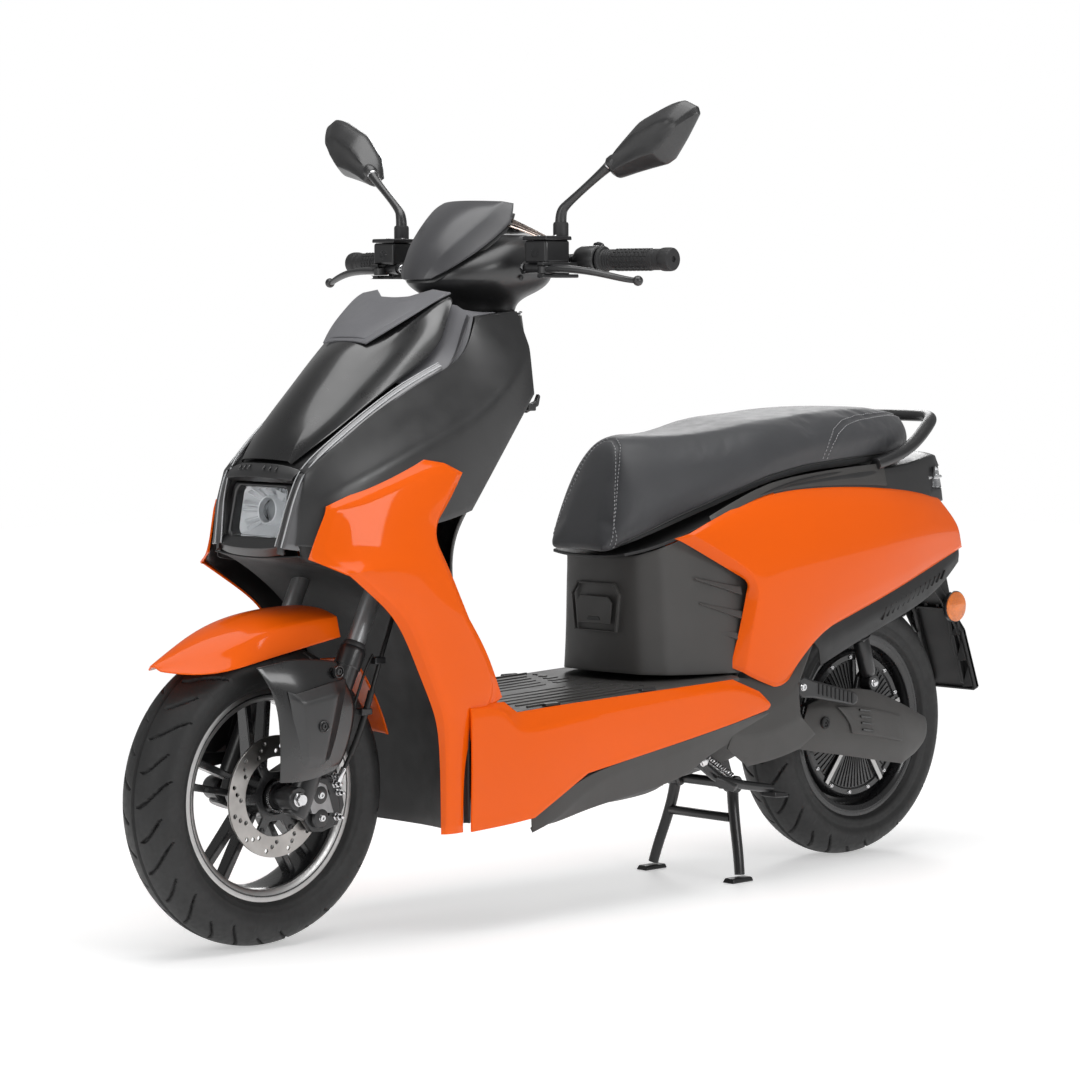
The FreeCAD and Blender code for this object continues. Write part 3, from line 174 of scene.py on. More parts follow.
def lens(name, colour, rough=0.03, ior=1.46):
    """Clear or tinted moulding with a faint cloud in its colour."""
    made, tree, bsdf = new_material(name)
    vector = coords(tree)
    cloud = noise(tree, vector, 30.0)
    tree.links.new(ramp(tree, cloud, tint(colour, 0.97), tint(colour, 1.0)), bsdf.inputs["Base Color"])
    bsdf.inputs["Transmission Weight"].default_value = 1.0
    bsdf.inputs["Roughness"].default_value = rough
    bsdf.inputs["IOR"].default_value = ior
    return made


M = {
    "orange": surface("orange_paint", (0.90, 0.118, 0.001), 0.44, vary=0.025, vary_scale=3, grain=0.03,
                      grain_scale=900, grain_depth=0.00003, coat=0.36, coat_rough=0.06, specular=0.08),
    "gloss": surface("black_gloss", (0.0085, 0.0085, 0.009), 0.30, vary=0.08, coat=0.8, coat_rough=0.13),
    "satin": surface("black_satin", (0.016, 0.016, 0.0168), 0.37, vary=0.08, grain=0.10, grain_scale=1500,
                     grain_depth=0.00008, specular=0.9),
    "grained": surface("grey_grained", (0.060, 0.058, 0.056), 0.50, vary=0.06, grain=0.35,
                       grain_scale=1300,
                       grain_depth=0.00025),
    "dark_grained": surface("dark_grained", (0.014, 0.014, 0.0145), 0.50, vary=0.08, grain=0.35,
                            grain_scale=1300,
                            grain_depth=0.00025),
    "cap": surface("cap_grey", (0.15, 0.15, 0.16), 0.42, vary=0.05, grain=0.3, grain_scale=1700,
                   grain_depth=0.0002),
    "screen": surface("screen_grey", (0.058, 0.058, 0.062), 0.32, vary=0.06, grain=0.12, grain_scale=1600,
                      grain_depth=0.0001, coat=0.2, coat_rough=0.2),
    "tyre": surface("tyre_rubber", (0.017, 0.017, 0.0172), 0.56, vary=0.16, vary_scale=30, grain=0.4,
                    grain_scale=900,
                    grain_depth=0.0002, rough_vary=0.07),
    "rubber": surface("grip_rubber", (0.024, 0.024, 0.025), 0.55, vary=0.1, grain=0.4, grain_scale=1000,
                      grain_depth=0.0002),
    "wheel": surface("wheel_black", (0.012, 0.012, 0.013), 0.28, vary=0.1, grain=0.05, grain_scale=500,
                     grain_depth=0.0001, coat=0.5, coat_rough=0.1),
    "machined": surface("machined_alloy", (0.52, 0.515, 0.51), 0.36, metal=1.0, vary=0.05, vary_scale=40,
                        grain=0.25,
                        grain_scale=420, grain_depth=0.0001, stretch=(1, 5, 1)),
    "cast": surface("cast_alloy", (0.33, 0.33, 0.335), 0.42, metal=0.9, vary=0.1, vary_scale=60, grain=0.5,
                    grain_scale=700, grain_depth=0.0003),
    "disc": surface("disc_steel", (0.44, 0.425, 0.41), 0.34, metal=1.0, vary=0.12, vary_scale=26,
                    grain=0.2,
                    grain_scale=900, grain_depth=0.0001),
    "bright": surface("bright_steel", (0.68, 0.68, 0.69), 0.16, metal=1.0, vary=0.06, vary_scale=80,
                      grain=0.1,
                      grain_scale=900, grain_depth=0.0001),
    "tube": surface("fork_tube", (0.30, 0.305, 0.31), 0.36, metal=0.75, vary=0.06, vary_scale=12),
    "frame": surface("frame_paint", (0.016, 0.016, 0.017), 0.34, vary=0.1, grain=0.2, grain_scale=500,
                     grain_depth=0.0002, coat=0.3, coat_rough=0.2),
    "leather": surface("seat_leather", (0.040, 0.041, 0.045), 0.50, vary=0.07, vary_scale=14, grain=0.45,
                       grain_scale=520, grain_depth=0.0003, sheen=0.15, cells=True),
    "thread": surface("stitch_thread", (0.34, 0.34, 0.35), 0.7, vary=0.1, grain=0.5, grain_scale=3000),
    "amber": surface("amber_reflector", (0.86, 0.20, 0.02), 0.22, vary=0.22, vary_scale=60, grain=0.9,
                     grain_scale=330,
                     grain_depth=0.0012, coat=1.0, coat_rough=0.03, cells=True),
    "reflector": surface("lamp_reflector", (0.92, 0.93, 0.94), 0.50, metal=0.55, vary=0.03, vary_scale=40),
    "glow": surface("light_guide", (0.50, 0.51, 0.52), 0.25, vary=0.04, coat=0.6),
    "hose": surface("hose_rubber", (0.014, 0.014, 0.014), 0.4, vary=0.1, grain=0.3, grain_scale=1200),
    "mirror": surface("mirror_glass", (0.82, 0.84, 0.86), 0.02, metal=1.0, vary=0.01, rough_vary=0.005),
    "case": surface("battery_case", (0.05, 0.05, 0.055), 0.5, vary=0.08, grain=0.4, grain_scale=700),
    "clear": lens("clear_lens", (0.96, 0.97, 0.98), ior=1.12),
    "strip": surface("strip_lens", (0.14, 0.14, 0.145), 0.22, metal=0.2, vary=0.06, coat=1.0,
                     coat_rough=0.04),
    "smoke": lens("smoked_visor", (0.42, 0.34, 0.30), rough=0.03),
}


# ---------------------------------------------------------------- mesh tools
def finish_mesh(name, mesh, body, material, nodes=()):
    """Puts the mesh in the scene, gives it its finish and fixes it to its body."""
    piece = bpy.data.objects.new(name, mesh)
    bpy.context.scene.collection.objects.link(piece)
    if not mesh.materials:
        mesh.materials.append(M[material])
    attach(piece, body)
    if nodes:
        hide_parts(*nodes)
    return piece


def shade(mesh, angle=38.0):
    for polygon in mesh.polygons:
        polygon.use_smooth = True
    mesh.set_sharp_from_angle(angle=math.radians(angle))


def raw_mesh(name, points, faces):
    mesh = bpy.data.meshes.new(name)
    mesh.from_pydata([tuple(place(p)) for p in points], [], faces)
    mesh.validate()
    return mesh


def outward(mesh):
    made = bmesh.new()
    made.from_mesh(mesh)
    bmesh.ops.recalc_face_normals(made, faces=made.faces)
    made.to_mesh(mesh)
    made.free()


def modifier(piece, kind, **facts):
    made = piece.modifiers.new(kind.lower(), kind)
    for key, value in facts.items():
        setattr(made, key, value)
    return made


def round_edges(piece, width, segments=2, angle=42.0):
    made = modifier(piece, "BEVEL", width=width * MM, segments=segments, limit_method="ANGLE",
                    angle_limit=math.radians(angle))
    made.harden_normals = False
    return made


def panel(name, rows, body, material, out, nodes=(), wall=3.0, level=3, sharp_rows=None,
          sharp_cols=None,
          pins=(), bevel=1.1):
    """Curved sheet through rows of points: subdivided, folded sharp where asked, then given a wall."""
    columns = len(rows[0])
    points = [p for row in rows for p in row]
    faces = []
    for i in range(len(rows) - 1):
        for j in range(columns - 1):
            a, b = i * columns + j, (i + 1) * columns + j
            faces.append((a, a + 1, b + 1, b))
    mesh = raw_mesh(name, points, faces)
    made = bmesh.new()
    made.from_mesh(mesh)
    made.verts.ensure_lookup_table()
    made.normal_update()
    total = Vector((0, 0, 0))
    for face in made.faces:
        total += face.normal * face.calc_area()
    if total.dot(Vector(out)) < 0:
        bmesh.ops.reverse_faces(made, faces=made.faces)
    folds = made.edges.layers.float.new("crease_edge")
    corners = made.verts.layers.float.new("crease_vert")
    sharp_rows, sharp_cols = dict(sharp_rows or {}), dict(sharp_cols or {})
    for edge in made.edges:
        a, b = (v.index for v in edge.verts)
        row_a, col_a, row_b, col_b = a // columns, a % columns, b // columns, b % columns
        if row_a == row_b and row_a in sharp_rows:
            edge[folds] = sharp_rows[row_a]
        if col_a == col_b and col_a in sharp_cols:
            edge[folds] = sharp_cols[col_a]
    for i, j in pins:
        made.verts[i * columns + j][corners] = 1.0
    made.to_mesh(mesh)
    made.free()
    piece = finish_mesh(name, mesh, body, material, nodes)
    subdivide = modifier(piece, "SUBSURF", levels=level, render_levels=level)
    subdivide.boundary_smooth = "PRESERVE_CORNERS"
    modifier(piece, "SOLIDIFY", thickness=wall * MM, offset=-1.0)
    if bevel:
        round_edges(piece, bevel, 2, 50.0)
    shade(mesh)
    return piece


def full(half_rows):
    """Rows from the left edge to the middle, carried over to the right edge."""
    return [list(row) + [(p[0], -p[1], p[2]) for p in reversed(row[:-1])] for row in half_rows]


def stepped(a, b, inset):
    a, b = Vector(a), Vector(b)
    return a + (b - a).normalized() * min(inset, (b - a).length * 0.5)


def rimmed(rows, drop, inset, front=None, front_drop=None):
    """Adds a bevelled band round a side panel: its edge sinks inward and a new line follows it inside."""
    wide = []
    for row in rows:
        first = stepped(row[0], row[1], front or inset)
        last = stepped(row[-1], row[-2], inset)
        start, end = Vector(row[0]), Vector(row[-1])
        start.y -= front_drop or drop
        end.y -= drop
        wide.append([start, first] + [Vector(p) for p in row[1:-1]] + [last, end])
    top = [stepped(a, b, inset) for a, b in zip(wide[0], wide[1])]
    low = [stepped(a, b, inset) for a, b in zip(wide[-1], wide[-2])]
    edges = []
    for row in (wide[0], wide[-1]):
        edges.append([Vector(p) if k in (0, len(row) - 1) else Vector(p) - Vector((0, drop, 0))
                      for k, p in enumerate(row)])
    made = [edges[0], top] + wide[1:-1] + [low, edges[1]]
    return [[tuple(p) for p in row] for row in made]


def lining(rows, inset, drop):
    """The same sheet a little smaller, moved inward."""
    inner = [[stepped(row[0], row[1], inset)] + [Vector(p) for p in row[1:-1]] + [stepped(row[-1],
                                                                                          row[-2], inset)]
             for row in rows]
    first = [stepped(a, b, inset) for a, b in zip(inner[0], inner[1])]
    last = [stepped(a, b, inset) for a, b in zip(inner[-1], inner[-2])]
    return [[(p[0], p[1] - drop, p[2]) for p in row] for row in [first] + inner[1:-1] + [last]]


def rim_pins(pins, rows, columns):
    """Pins of the plain grid moved to the edge of the grid that has a band."""
    def moved(k, count):
        return 0 if k == 0 else count + 1 if k == count - 1 else k + 1

    return [(moved(i, rows), moved(j, columns)) for i, j in pins]


def sided(rows, sign):
    return [[(x, y * sign, z) for x, y, z in row] for row in rows]


def blocks(name, boxes, body, material, nodes=(), bevel=1.0, segments=2):
    """Eight-cornered solids in one piece: each is (bottom four points, top four points)."""
    points, faces = [], []
    for low, high in boxes:
        base = len(points)
        count = len(low)
        points += list(low) + list(high)
        faces.append(tuple(base + k for k in reversed(range(count))))
        faces.append(tuple(base + count + k for k in range(count)))
        for k in range(count):
            n = (k + 1) % count
            faces.append((base + k, base + n, base + count + n, base + count + k))
    mesh = raw_mesh(name, points, faces)
    outward(mesh)
    piece = finish_mesh(name, mesh, body, material, nodes)
    if bevel:
        round_edges(piece, bevel, segments, 30.0)
    shade(mesh)
    return piece


def extrusion(outline, low, high, axis="y"):
    """Low and high rings of an outline given across one axis."""
    if axis == "y":
        return [(x, low, z) for x, z in outline], [(x, high, z) for x, z in outline]
    if axis == "x":
        return [(low, y, z) for y, z in outline], [(high, y, z) for y, z in outline]
    return [(x, y, low) for x, y in outline], [(x, y, high) for x, y in outline]


def frame_at(axis):
    axis = Vector(axis).normalized()
    across = axis.cross(Vector((0, 0, 1)))
    if across.length < 0.1:
        across = axis.cross(Vector((1, 0, 0)))
    across.normalize()
    return axis, across, axis.cross(across)


def lathe(name, profiles, centre, axis, body, material, nodes=(), count=96, bevel=0.0):
    """Turned piece: each profile is a closed ring of (along, radius) pairs."""
    axis, across, beside = frame_at(axis)
    points, faces = [], []
    for profile in profiles:
        base, steps = len(points), len(profile)
        for k in range(count):
            a = 2 * math.pi * k / count
            ray = across * math.cos(a) + beside * math.sin(a)
            points += [Vector(centre) + axis * s + ray * r for s, r in profile]
        for k in range(count):
            n = (k + 1) % count
            for i in range(steps):
                j = (i + 1) % steps
                faces.append((base + k * steps + i, base + k * steps + j, base + n * steps + j,
                              base + n * steps + i))
    mesh = raw_mesh(name, points, faces)
    made = bmesh.new()
    made.from_mesh(mesh)
    bmesh.ops.remove_doubles(made, verts=made.verts, dist=1e-6)
    bmesh.ops.recalc_face_normals(made, faces=made.faces)
    made.to_mesh(mesh)
    made.free()
    piece = finish_mesh(name, mesh, body, material, nodes)
    if bevel:
        round_edges(piece, bevel, 2, 30.0)
    shade(mesh, 32)
    return piece


def rod_profile(length, radius, round_off=1.0):
    """Solid turned rod from 0 to length."""
    r = round_off
    return [(0, 0), (0, radius - r), (r * 0.3, radius - r * 0.3), (r, radius), (length - r, radius),
            (length - r * 0.3, radius - r * 0.3), (length, radius - r), (length, 0)]


def rod(name, start, end, radius, body, material, nodes=(), round_off=1.0, count=40):
    along = Vector(end) - Vector(start)
    return lathe(name, [rod_profile(along.length, radius, round_off)], start, along, body, material,
                 nodes, count)


def curve_mesh(points, radii, order=4, resolution=8, sides=12):
    """Round bar along a smooth line, as vertices and faces in millimetres."""
    data = bpy.data.curves.new("line", "CURVE")
    data.dimensions = "3D"
    data.resolution_u = resolution
    spline = data.splines.new("NURBS")
    spline.points.add(len(points) - 1)
    for k, p in enumerate(points):
        spline.points[k].co = (p[0], p[1], p[2], 1)
        spline.points[k].radius = radii[k]
    spline.order_u = min(order, len(points))
    spline.use_endpoint_u = True
    data.bevel_depth = 1.0
    data.bevel_resolution = sides // 4
    data.use_fill_caps = True
    holder = bpy.data.objects.new("line", data)
    bpy.context.scene.collection.objects.link(holder)
    evaluated = holder.evaluated_get(bpy.context.evaluated_depsgraph_get())
    mesh = bpy.data.meshes.new_from_object(evaluated)
    bpy.data.objects.remove(holder)
    bpy.data.curves.remove(data)
    return mesh


def bar(name, points, radii, body, material, nodes=(), order=4, resolution=8, sides=16):
    """Bent bar whose radius changes along it."""
    if not hasattr(radii, "__len__"):
        radii = [radii] * len(points)
    mesh = curve_mesh(points, radii, order, resolution, sides)
    for v in mesh.vertices:
        v.co = place(v.co)
    mesh.name = name
    outward(mesh)
    piece = finish_mesh(name, mesh, body, material, nodes)
    shade(mesh, 40)
    return piece


def plate(name, outlines, thick, origin, right, up, body, material, nodes=(), bevel=0.6,
          holes=()):
    """Flat plate with holes: outlines and holes lie in the plane of right and up, round its middle."""
    data = bpy.data.curves.new(name, "CURVE")
    data.dimensions = "2D"
    data.fill_mode = "BOTH"
    data.extrude = thick / 2 - bevel
    data.bevel_depth = bevel
    data.bevel_resolution = 1
    data.offset = -bevel
    loops = [list(o) for o in outlines]
    for cx, cy, r in holes:
        count = 28 if r > 12 else 16
        loops.append([(cx + r * math.cos(2 * math.pi * k / count),
                       cy + r * math.sin(2 * math.pi * k / count))
                      for k in range(count)])
    for loop in loops:
        spline = data.splines.new("POLY")
        spline.points.add(len(loop) - 1)
        for k, p in enumerate(loop):
            spline.points[k].co = (p[0], p[1], 0, 1)
        spline.use_cyclic_u = True
    holder = bpy.data.objects.new(name, data)
    bpy.context.scene.collection.objects.link(holder)
    evaluated = holder.evaluated_get(bpy.context.evaluated_depsgraph_get())
    mesh = bpy.data.meshes.new_from_object(evaluated)
    bpy.data.objects.remove(holder)
    bpy.data.curves.remove(data)
    right, up = Vector(right).normalized(), Vector(up).normalized()
    out = right.cross(up)
    for v in mesh.vertices:
        v.co = place(Vector(origin) + right * v.co.x + up * v.co.y + out * v.co.z)
    made = bmesh.new()
    made.from_mesh(mesh)
    bmesh.ops.remove_doubles(made, verts=made.verts, dist=2e-6)
    bmesh.ops.recalc_face_normals(made, faces=made.faces)
    made.to_mesh(mesh)
    made.free()
    piece = finish_mesh(name, mesh, body, material, nodes)
    shade(mesh, 30)
    for polygon in mesh.polygons:
        polygon.use_smooth = abs(polygon.normal.dot(out)) < 0.999
    return piece


def circle(radius, count=96, centre=(0, 0)):
    return [(centre[0] + radius * math.cos(2 * math.pi * k / count),
             centre[1] + radius * math.sin(2 * math.pi * k / count)) for k in range(count)]


def bolt(name, head, axis, radius, body, material="bright", height=4.0, socket=True):
    """Hexagon head on a flange, or a cap head with a hexagon socket."""
    axis, across, beside = frame_at(axis)
    rings = []
    count = 24
    points, faces = [], []

    def ring(r, s, hexed=False):
        start = len(points)
        for k in range(count):
            a = 2 * math.pi * k / count
            size = r
            if hexed:
                part = (a % (math.pi / 3)) - math.pi / 6
                size = r * math.cos(math.pi / 6) / math.cos(part)
            points.append(Vector(head) + axis * s + (across * math.cos(a) + beside * math.sin(a)) * size)
        rings.append(start)

    ring(radius * 1.15, 0)
    ring(radius * 1.15, height * 0.25)
    ring(radius * 1.02, height * 0.38)
    if socket:
        ring(radius * 1.0, height * 0.9)
        ring(radius * 0.9, height)
        ring(radius * 0.56, height, True)
        ring(radius * 0.52, height * 0.5, True)
    else:
        ring(radius * 0.98, height * 0.4, True)
        ring(radius * 0.98, height * 0.92, True)
        ring(radius * 0.82, height)
    for low, high in zip(rings, rings[1:]):
        for k in range(count):
            n = (k + 1) % count
            faces.append((low + k, low + n, high + n, high + k))
    faces.append(tuple(rings[0] + k for k in reversed(range(count))))
    faces.append(tuple(rings[-1] + k for k in range(count)))
    mesh = raw_mesh(name, points, faces)
    outward(mesh)
    piece = finish_mesh(name, mesh, body, material)
    shade(mesh, 30)
    return piece


def smooth_step(x, low, high):
    t = np.clip((x - low) / (high - low), 0, 1)
    return t * t * (3 - 2 * t)


# ---------------------------------------------------------------- wheels
TYRE_HALF = 57.0


def tyre_profile(rim_half):
    """Points from one bead to the other as (side, radius), thick near the tread."""
    half = [(rim_half - 3.0, 158), (rim_half - 1.5, 164), (rim_half + 3.5, 168.5), (rim_half + 9, 174),
            (TYRE_HALF - 3.5, 186), (TYRE_HALF - 0.3, 198), (TYRE_HALF - 1.8, 209), (TYRE_HALF - 7, 217.5),
            (TYRE_HALF - 16, 225.5), (TYRE_HALF - 28, 232), (TYRE_HALF - 42, 236.4), (0, TYRE_R)]
    return half + [(-s, r) for s, r in reversed(half[:-1])]


def resample(line, count):
    """Evenly spaced points on a smooth curve through a line."""
    points = np.array(line, float)
    fine = []
    for k in range(len(points) - 1):
        p0 = points[max(k - 1, 0)]
        p1, p2 = points[k], points[k + 1]
        p3 = points[min(k + 2, len(points) - 1)]
        for t in np.linspace(0, 1, 12, endpoint=False):
            fine.append(0.5 * ((2 * p1) + (p2 - p0) * t + (2 * p0 - 5 * p1 + 4 * p2 - p3) * t ** 2
                               + (3 * p1 - p0 - 3 * p2 + p3) * t ** 3))
    fine.append(points[-1])
    fine = np.array(fine)
    along = np.concatenate([[0], np.cumsum(np.linalg.norm(np.diff(fine, axis=0), axis=1))])
    want = np.linspace(0, along[-1], count)
    return np.stack([np.interp(want, along, fine[:, k]) for k in range(fine.shape[1])], axis=1)


GROOVES = 28
GROOVE_DEPTH, CENTRE_GROOVE_DEPTH, SIDE_RIB_DEPTH = 4.2, 3.6, 0.5
TYRE_STEPS, TYRE_COLUMNS = 864, 92


def tyre(name, hub, rim_half, body, turn_way):
    """Tyre with a centre groove, curved sipes, side ribs and a rounded tread."""
    steps, across = TYRE_STEPS, TYRE_COLUMNS
    line = resample(tyre_profile(rim_half), across)
    tangent = np.gradient(line, axis=0)
    normal = np.stack([tangent[:, 1], -tangent[:, 0]], axis=1)
    normal /= np.linalg.norm(normal, axis=1)[:, None]
    if normal[across // 2, 1] < 0:
        normal = -normal
    angle = np.linspace(0, 2 * math.pi, steps, endpoint=False)
    turn, column = np.meshgrid(angle, np.arange(across), indexing="ij")
    side = line[column, 0]
    radius = line[column, 1]
    along = turn * TYRE_R
    pitch = 2 * math.pi * TYRE_R / GROOVES
    depth = CENTRE_GROOVE_DEPTH * (1 - smooth_step(np.abs(side), 1.6, 3.4))
    far = np.abs(side)
    for k in range(GROOVES):
        long_one = k % 2 == 0
        for sign in (1, -1):
            start = k * pitch + (0 if sign > 0 else pitch * 0.5)
            low, high = (7.0, 55.0) if long_one else (12.0, 47.0)
            share = np.clip((far - low) / (high - low), 0, 1)
            bend = start + turn_way * (48.0 if long_one else 38.0) * (share ** 1.7)
            gap = (along - bend + math.pi * TYRE_R) % (2 * math.pi * TYRE_R) - math.pi * TYRE_R
            half_width = 3.3 * np.sqrt(np.clip(1 - ((share - 0.5) * 2) ** 4, 0, 1)) + 0.15
            inside = (far > low) & (far < high) & (np.sign(side) == sign) & (radius > 200)
            depth = np.maximum(depth, inside * GROOVE_DEPTH * (1 - smooth_step(np.abs(gap),
                                                                               half_width * 0.5, half_width)))
    bead = (np.abs(radius - 182) < 1.1) & (far > 40)
    depth = depth - 0.7 * bead
    depth = depth - SIDE_RIB_DEPTH * ((np.abs(radius - 172.5) < 1.2) & (far > 40))
    blocks_on = (radius > 205) & (radius < 212) & (((turn / (2 * math.pi) * GROOVES) % 1) < 0.06)
    depth = depth - SIDE_RIB_DEPTH * blocks_on
    side = side - normal[column, 0] * depth
    radius = radius - normal[column, 1] * depth
    x = hub.x + radius * np.cos(turn)
    z = hub.z + radius * np.sin(turn)
    points = np.stack([(x + SHIFT) * MM, side * MM, z * MM], axis=-1).reshape(-1, 3)
    inner = [(rim_half - 5.5, 157), (rim_half - 12, 162), (rim_half + 2, 182), (TYRE_HALF - 10, 200),
             (TYRE_HALF - 22, 218), (0, 227)]
    inner = inner + [(-s, r) for s, r in reversed(inner[:-1])]
    inner_count = len(inner)
    extra = []
    for a in angle[::4]:
        for s, r in inner:
            extra.append(((hub.x + r * math.cos(a) + SHIFT) * MM, s * MM, (hub.z + r * math.sin(a)) * MM))
    faces = []
    for i in range(steps):
        n = (i + 1) % steps
        for j in range(across - 1):
            faces.append((i * across + j, i * across + j + 1, n * across + j + 1, n * across + j))
    base = steps * across
    rings = steps // 4
    for i in range(rings):
        n = (i + 1) % rings
        for j in range(inner_count - 1):
            faces.append((base + i * inner_count + j, base + n * inner_count + j,
                          base + n * inner_count + j + 1,
                          base + i * inner_count + j + 1))
        for outer_col, inner_col in ((0, 0), (across - 1, inner_count - 1)):
            chain = [((i * 4 + q) % steps) * across + outer_col for q in range(5)]
            ring_face = chain + [base + n * inner_count + inner_col, base + i * inner_count + inner_col]
            faces.append(tuple(ring_face if outer_col else reversed(ring_face)))
    mesh = bpy.data.meshes.new(name)
    mesh.from_pydata([tuple(p) for p in points] + extra, [], faces)
    outward(mesh)
    piece = finish_mesh(name, mesh, body, "tyre", [name.replace("_tread", "")])
    shade(mesh, 45)
    return piece


FRONT_RIM_HALF, REAR_RIM_HALF = 38.0, 44.0


def rim_profile(half, well):
    """Closed section of the rim barrel with rolled flanges."""
    outer = [(half, 164.5), (half - 0.6, 166.0), (half - 2.0, 166.5), (half - 3.2, 165.5),
             (half - 3.6, 163.5),
             (half - 4.0, well + 8), (half - 10, well + 3.5), (half - 20, well)]
    inner = [(half - 22, well - 4), (half - 11, well - 2), (half - 3, well + 1.5), (half - 0.8, well + 5),
             (half, well + 8)]
    right = list(reversed(outer))
    left = [(-s, r) for s, r in outer]
    under_left = [(-s, r) for s, r in reversed(inner)]
    return left + right[:] + list(reversed(inner)) + list(reversed(under_left))


def arm_quad(angle, lean_low, lean_high, width_low, width_high, r_low, r_high, y_low, y_high):
    """One tapered spoke, as rings of a block, turned about the wheel's axis."""
    c, s = math.cos(angle), math.sin(angle)

    def spot(radial, tangential, side):
        return (radial * c - tangential * s, side, radial * s + tangential * c)

    low = [spot(r_low, lean_low - width_low, -y_low), spot(r_low, lean_low + width_low, -y_low),
           spot(r_low, lean_low + width_low, y_low), spot(r_low, lean_low - width_low, y_low)]
    high = [spot(r_high, lean_high - width_high, -y_high), spot(r_high, lean_high + width_high, -y_high),
            spot(r_high, lean_high + width_high, y_high), spot(r_high, lean_high - width_high, y_high)]
    return low, high


def at_hub(hub, ring):
    return [(hub.x + x, hub.y + y, hub.z + z) for x, y, z in ring]


def spokes(name, hub, body, node, count, specs, material="wheel", turn=90.0, bevel=2.4):
    boxes = []
    for k in range(count):
        a = math.radians(turn + 360 / count * k)
        for spec in specs:
            low, high = arm_quad(a, *spec)
            boxes.append((at_hub(hub, low), at_hub(hub, high)))
    return blocks(name, boxes, body, material, node, bevel, 3)


SPIN = (0, 1, 0)


def lip_ring(name, hub, half, body, sign, material):
    """Flange edge of the rim, with a thin dark step in it."""
    ring = [(half + 0.5, 166.0), (half + 0.8, 163.0), (half + 0.3, 158.8), (half - 2.4, 158.2),
            (half - 2.4, 156.8),
            (half + 0.1, 156.2), (half - 1.2, 151.0), (half - 4.6, 147.6), (half - 14.0, 146.2),
            (half - 14.0, 147.6),
            (half - 6.0, 149.8), (half - 4.2, 157.0), (half - 2.8, 162.0), (half - 1.2, 166.4)]
    return lathe(name, [[(s * sign, r) for s, r in ring]], hub, SPIN, body, material, (),
                 160)


def front_wheel():
    tyre("front_tyre_tread", FRONT_HUB, FRONT_RIM_HALF, "front_wheel", 1)
    lathe("front_rim_barrel", [rim_profile(FRONT_RIM_HALF, 148)], FRONT_HUB, SPIN, "front_wheel", "wheel",
          ["front_rim"], 160)
    for word, sign in SIDES:
        lip_ring(f"front_rim_lip_{word}", FRONT_HUB, FRONT_RIM_HALF, "front_wheel", sign, "machined")
    pair = [(-9.5, -21.0, 4.8, 6.2, 30, 149.6, 15.0, 11.0), (9.5, 21.0, 4.8, 6.2, 30, 149.6, 15.0, 11.0)]
    spokes("front_rim_spokes", FRONT_HUB, "front_wheel", (), 5, pair)
    root = [(0, 0, 17, 12, 26, 62, 13.0, 9.0)]
    spokes("front_rim_roots", FRONT_HUB, "front_wheel", (), 5, root)
    hub = [(-39.5, 9), (-39.5, 26), (-37, 29), (-20, 31), (-10, 36), (10, 36), (20, 33), (40, 32),
           (43, 35), (49.5, 36),
           (49.5, 27), (40, 25), (40, 9)]
    lathe("front_rim_hub", [hub], FRONT_HUB, SPIN, "front_wheel", "wheel", (), 96)
    holes = []
    for k in range(12):
        for r, shift in ((71, 0), (78.5, 7), (86, 14)):
            a = math.radians(30 * k + shift)
            holes.append((r * math.cos(a), r * math.sin(a), 3.5))
    centre = FRONT_HUB + Vector((0, 52, 0))
    plate("front_disc_plate", [circle(95, 160), circle(62, 120)], 4.0, centre, (1, 0, 0), (0, 0, 1),
          "front_wheel",
          "disc", ["front_disc"], 0.5, holes)
    star = []
    for k in range(6):
        for offset, r in ((-30, 38), (-11, 41), (-7, 63), (7, 63), (11, 41)):
            a = math.radians(60 * k + offset)
            star.append((r * math.cos(a), r * math.sin(a)))
    plate("front_disc_carrier", [star, circle(28, 48)], 5.0, centre + Vector((0, -1.2, 0)), (1, 0, 0),
          (0, 0, 1),
          "front_wheel", "wheel", (), 0.7)
    for k in range(6):
        a = math.radians(60 * k + 0)
        spot = centre + Vector((58 * math.cos(a), 1.8, 58 * math.sin(a)))
        bolt(f"front_disc_bolt_{k + 1}", spot, (0, 1, 0), 3.6, "front_wheel", "frame", 2.4)
    ring = []
    for k in range(48):
        a0 = 2 * math.pi * k / 48
        for r, da in ((25.0, 0.0), (25.0, 0.5), (22.6, 0.5), (22.6, 1.0)):
            a = a0 + da * 2 * math.pi / 48
            ring.append((r * math.cos(a), r * math.sin(a)))
    plate("front_tone_ring", [ring, circle(19.0, 48)], 2.0, centre + Vector((0, 7.0, 0)), (1, 0, 0),
          (0, 0, 1),
          "front_wheel", "bright", (), 0.3)
    lathe("front_hub_cap", [[(50, 10), (50, 22), (58, 21.5), (60, 19), (60, 13), (58, 10)]], FRONT_HUB,
          SPIN,
          "front_wheel", "frame", (), 48)


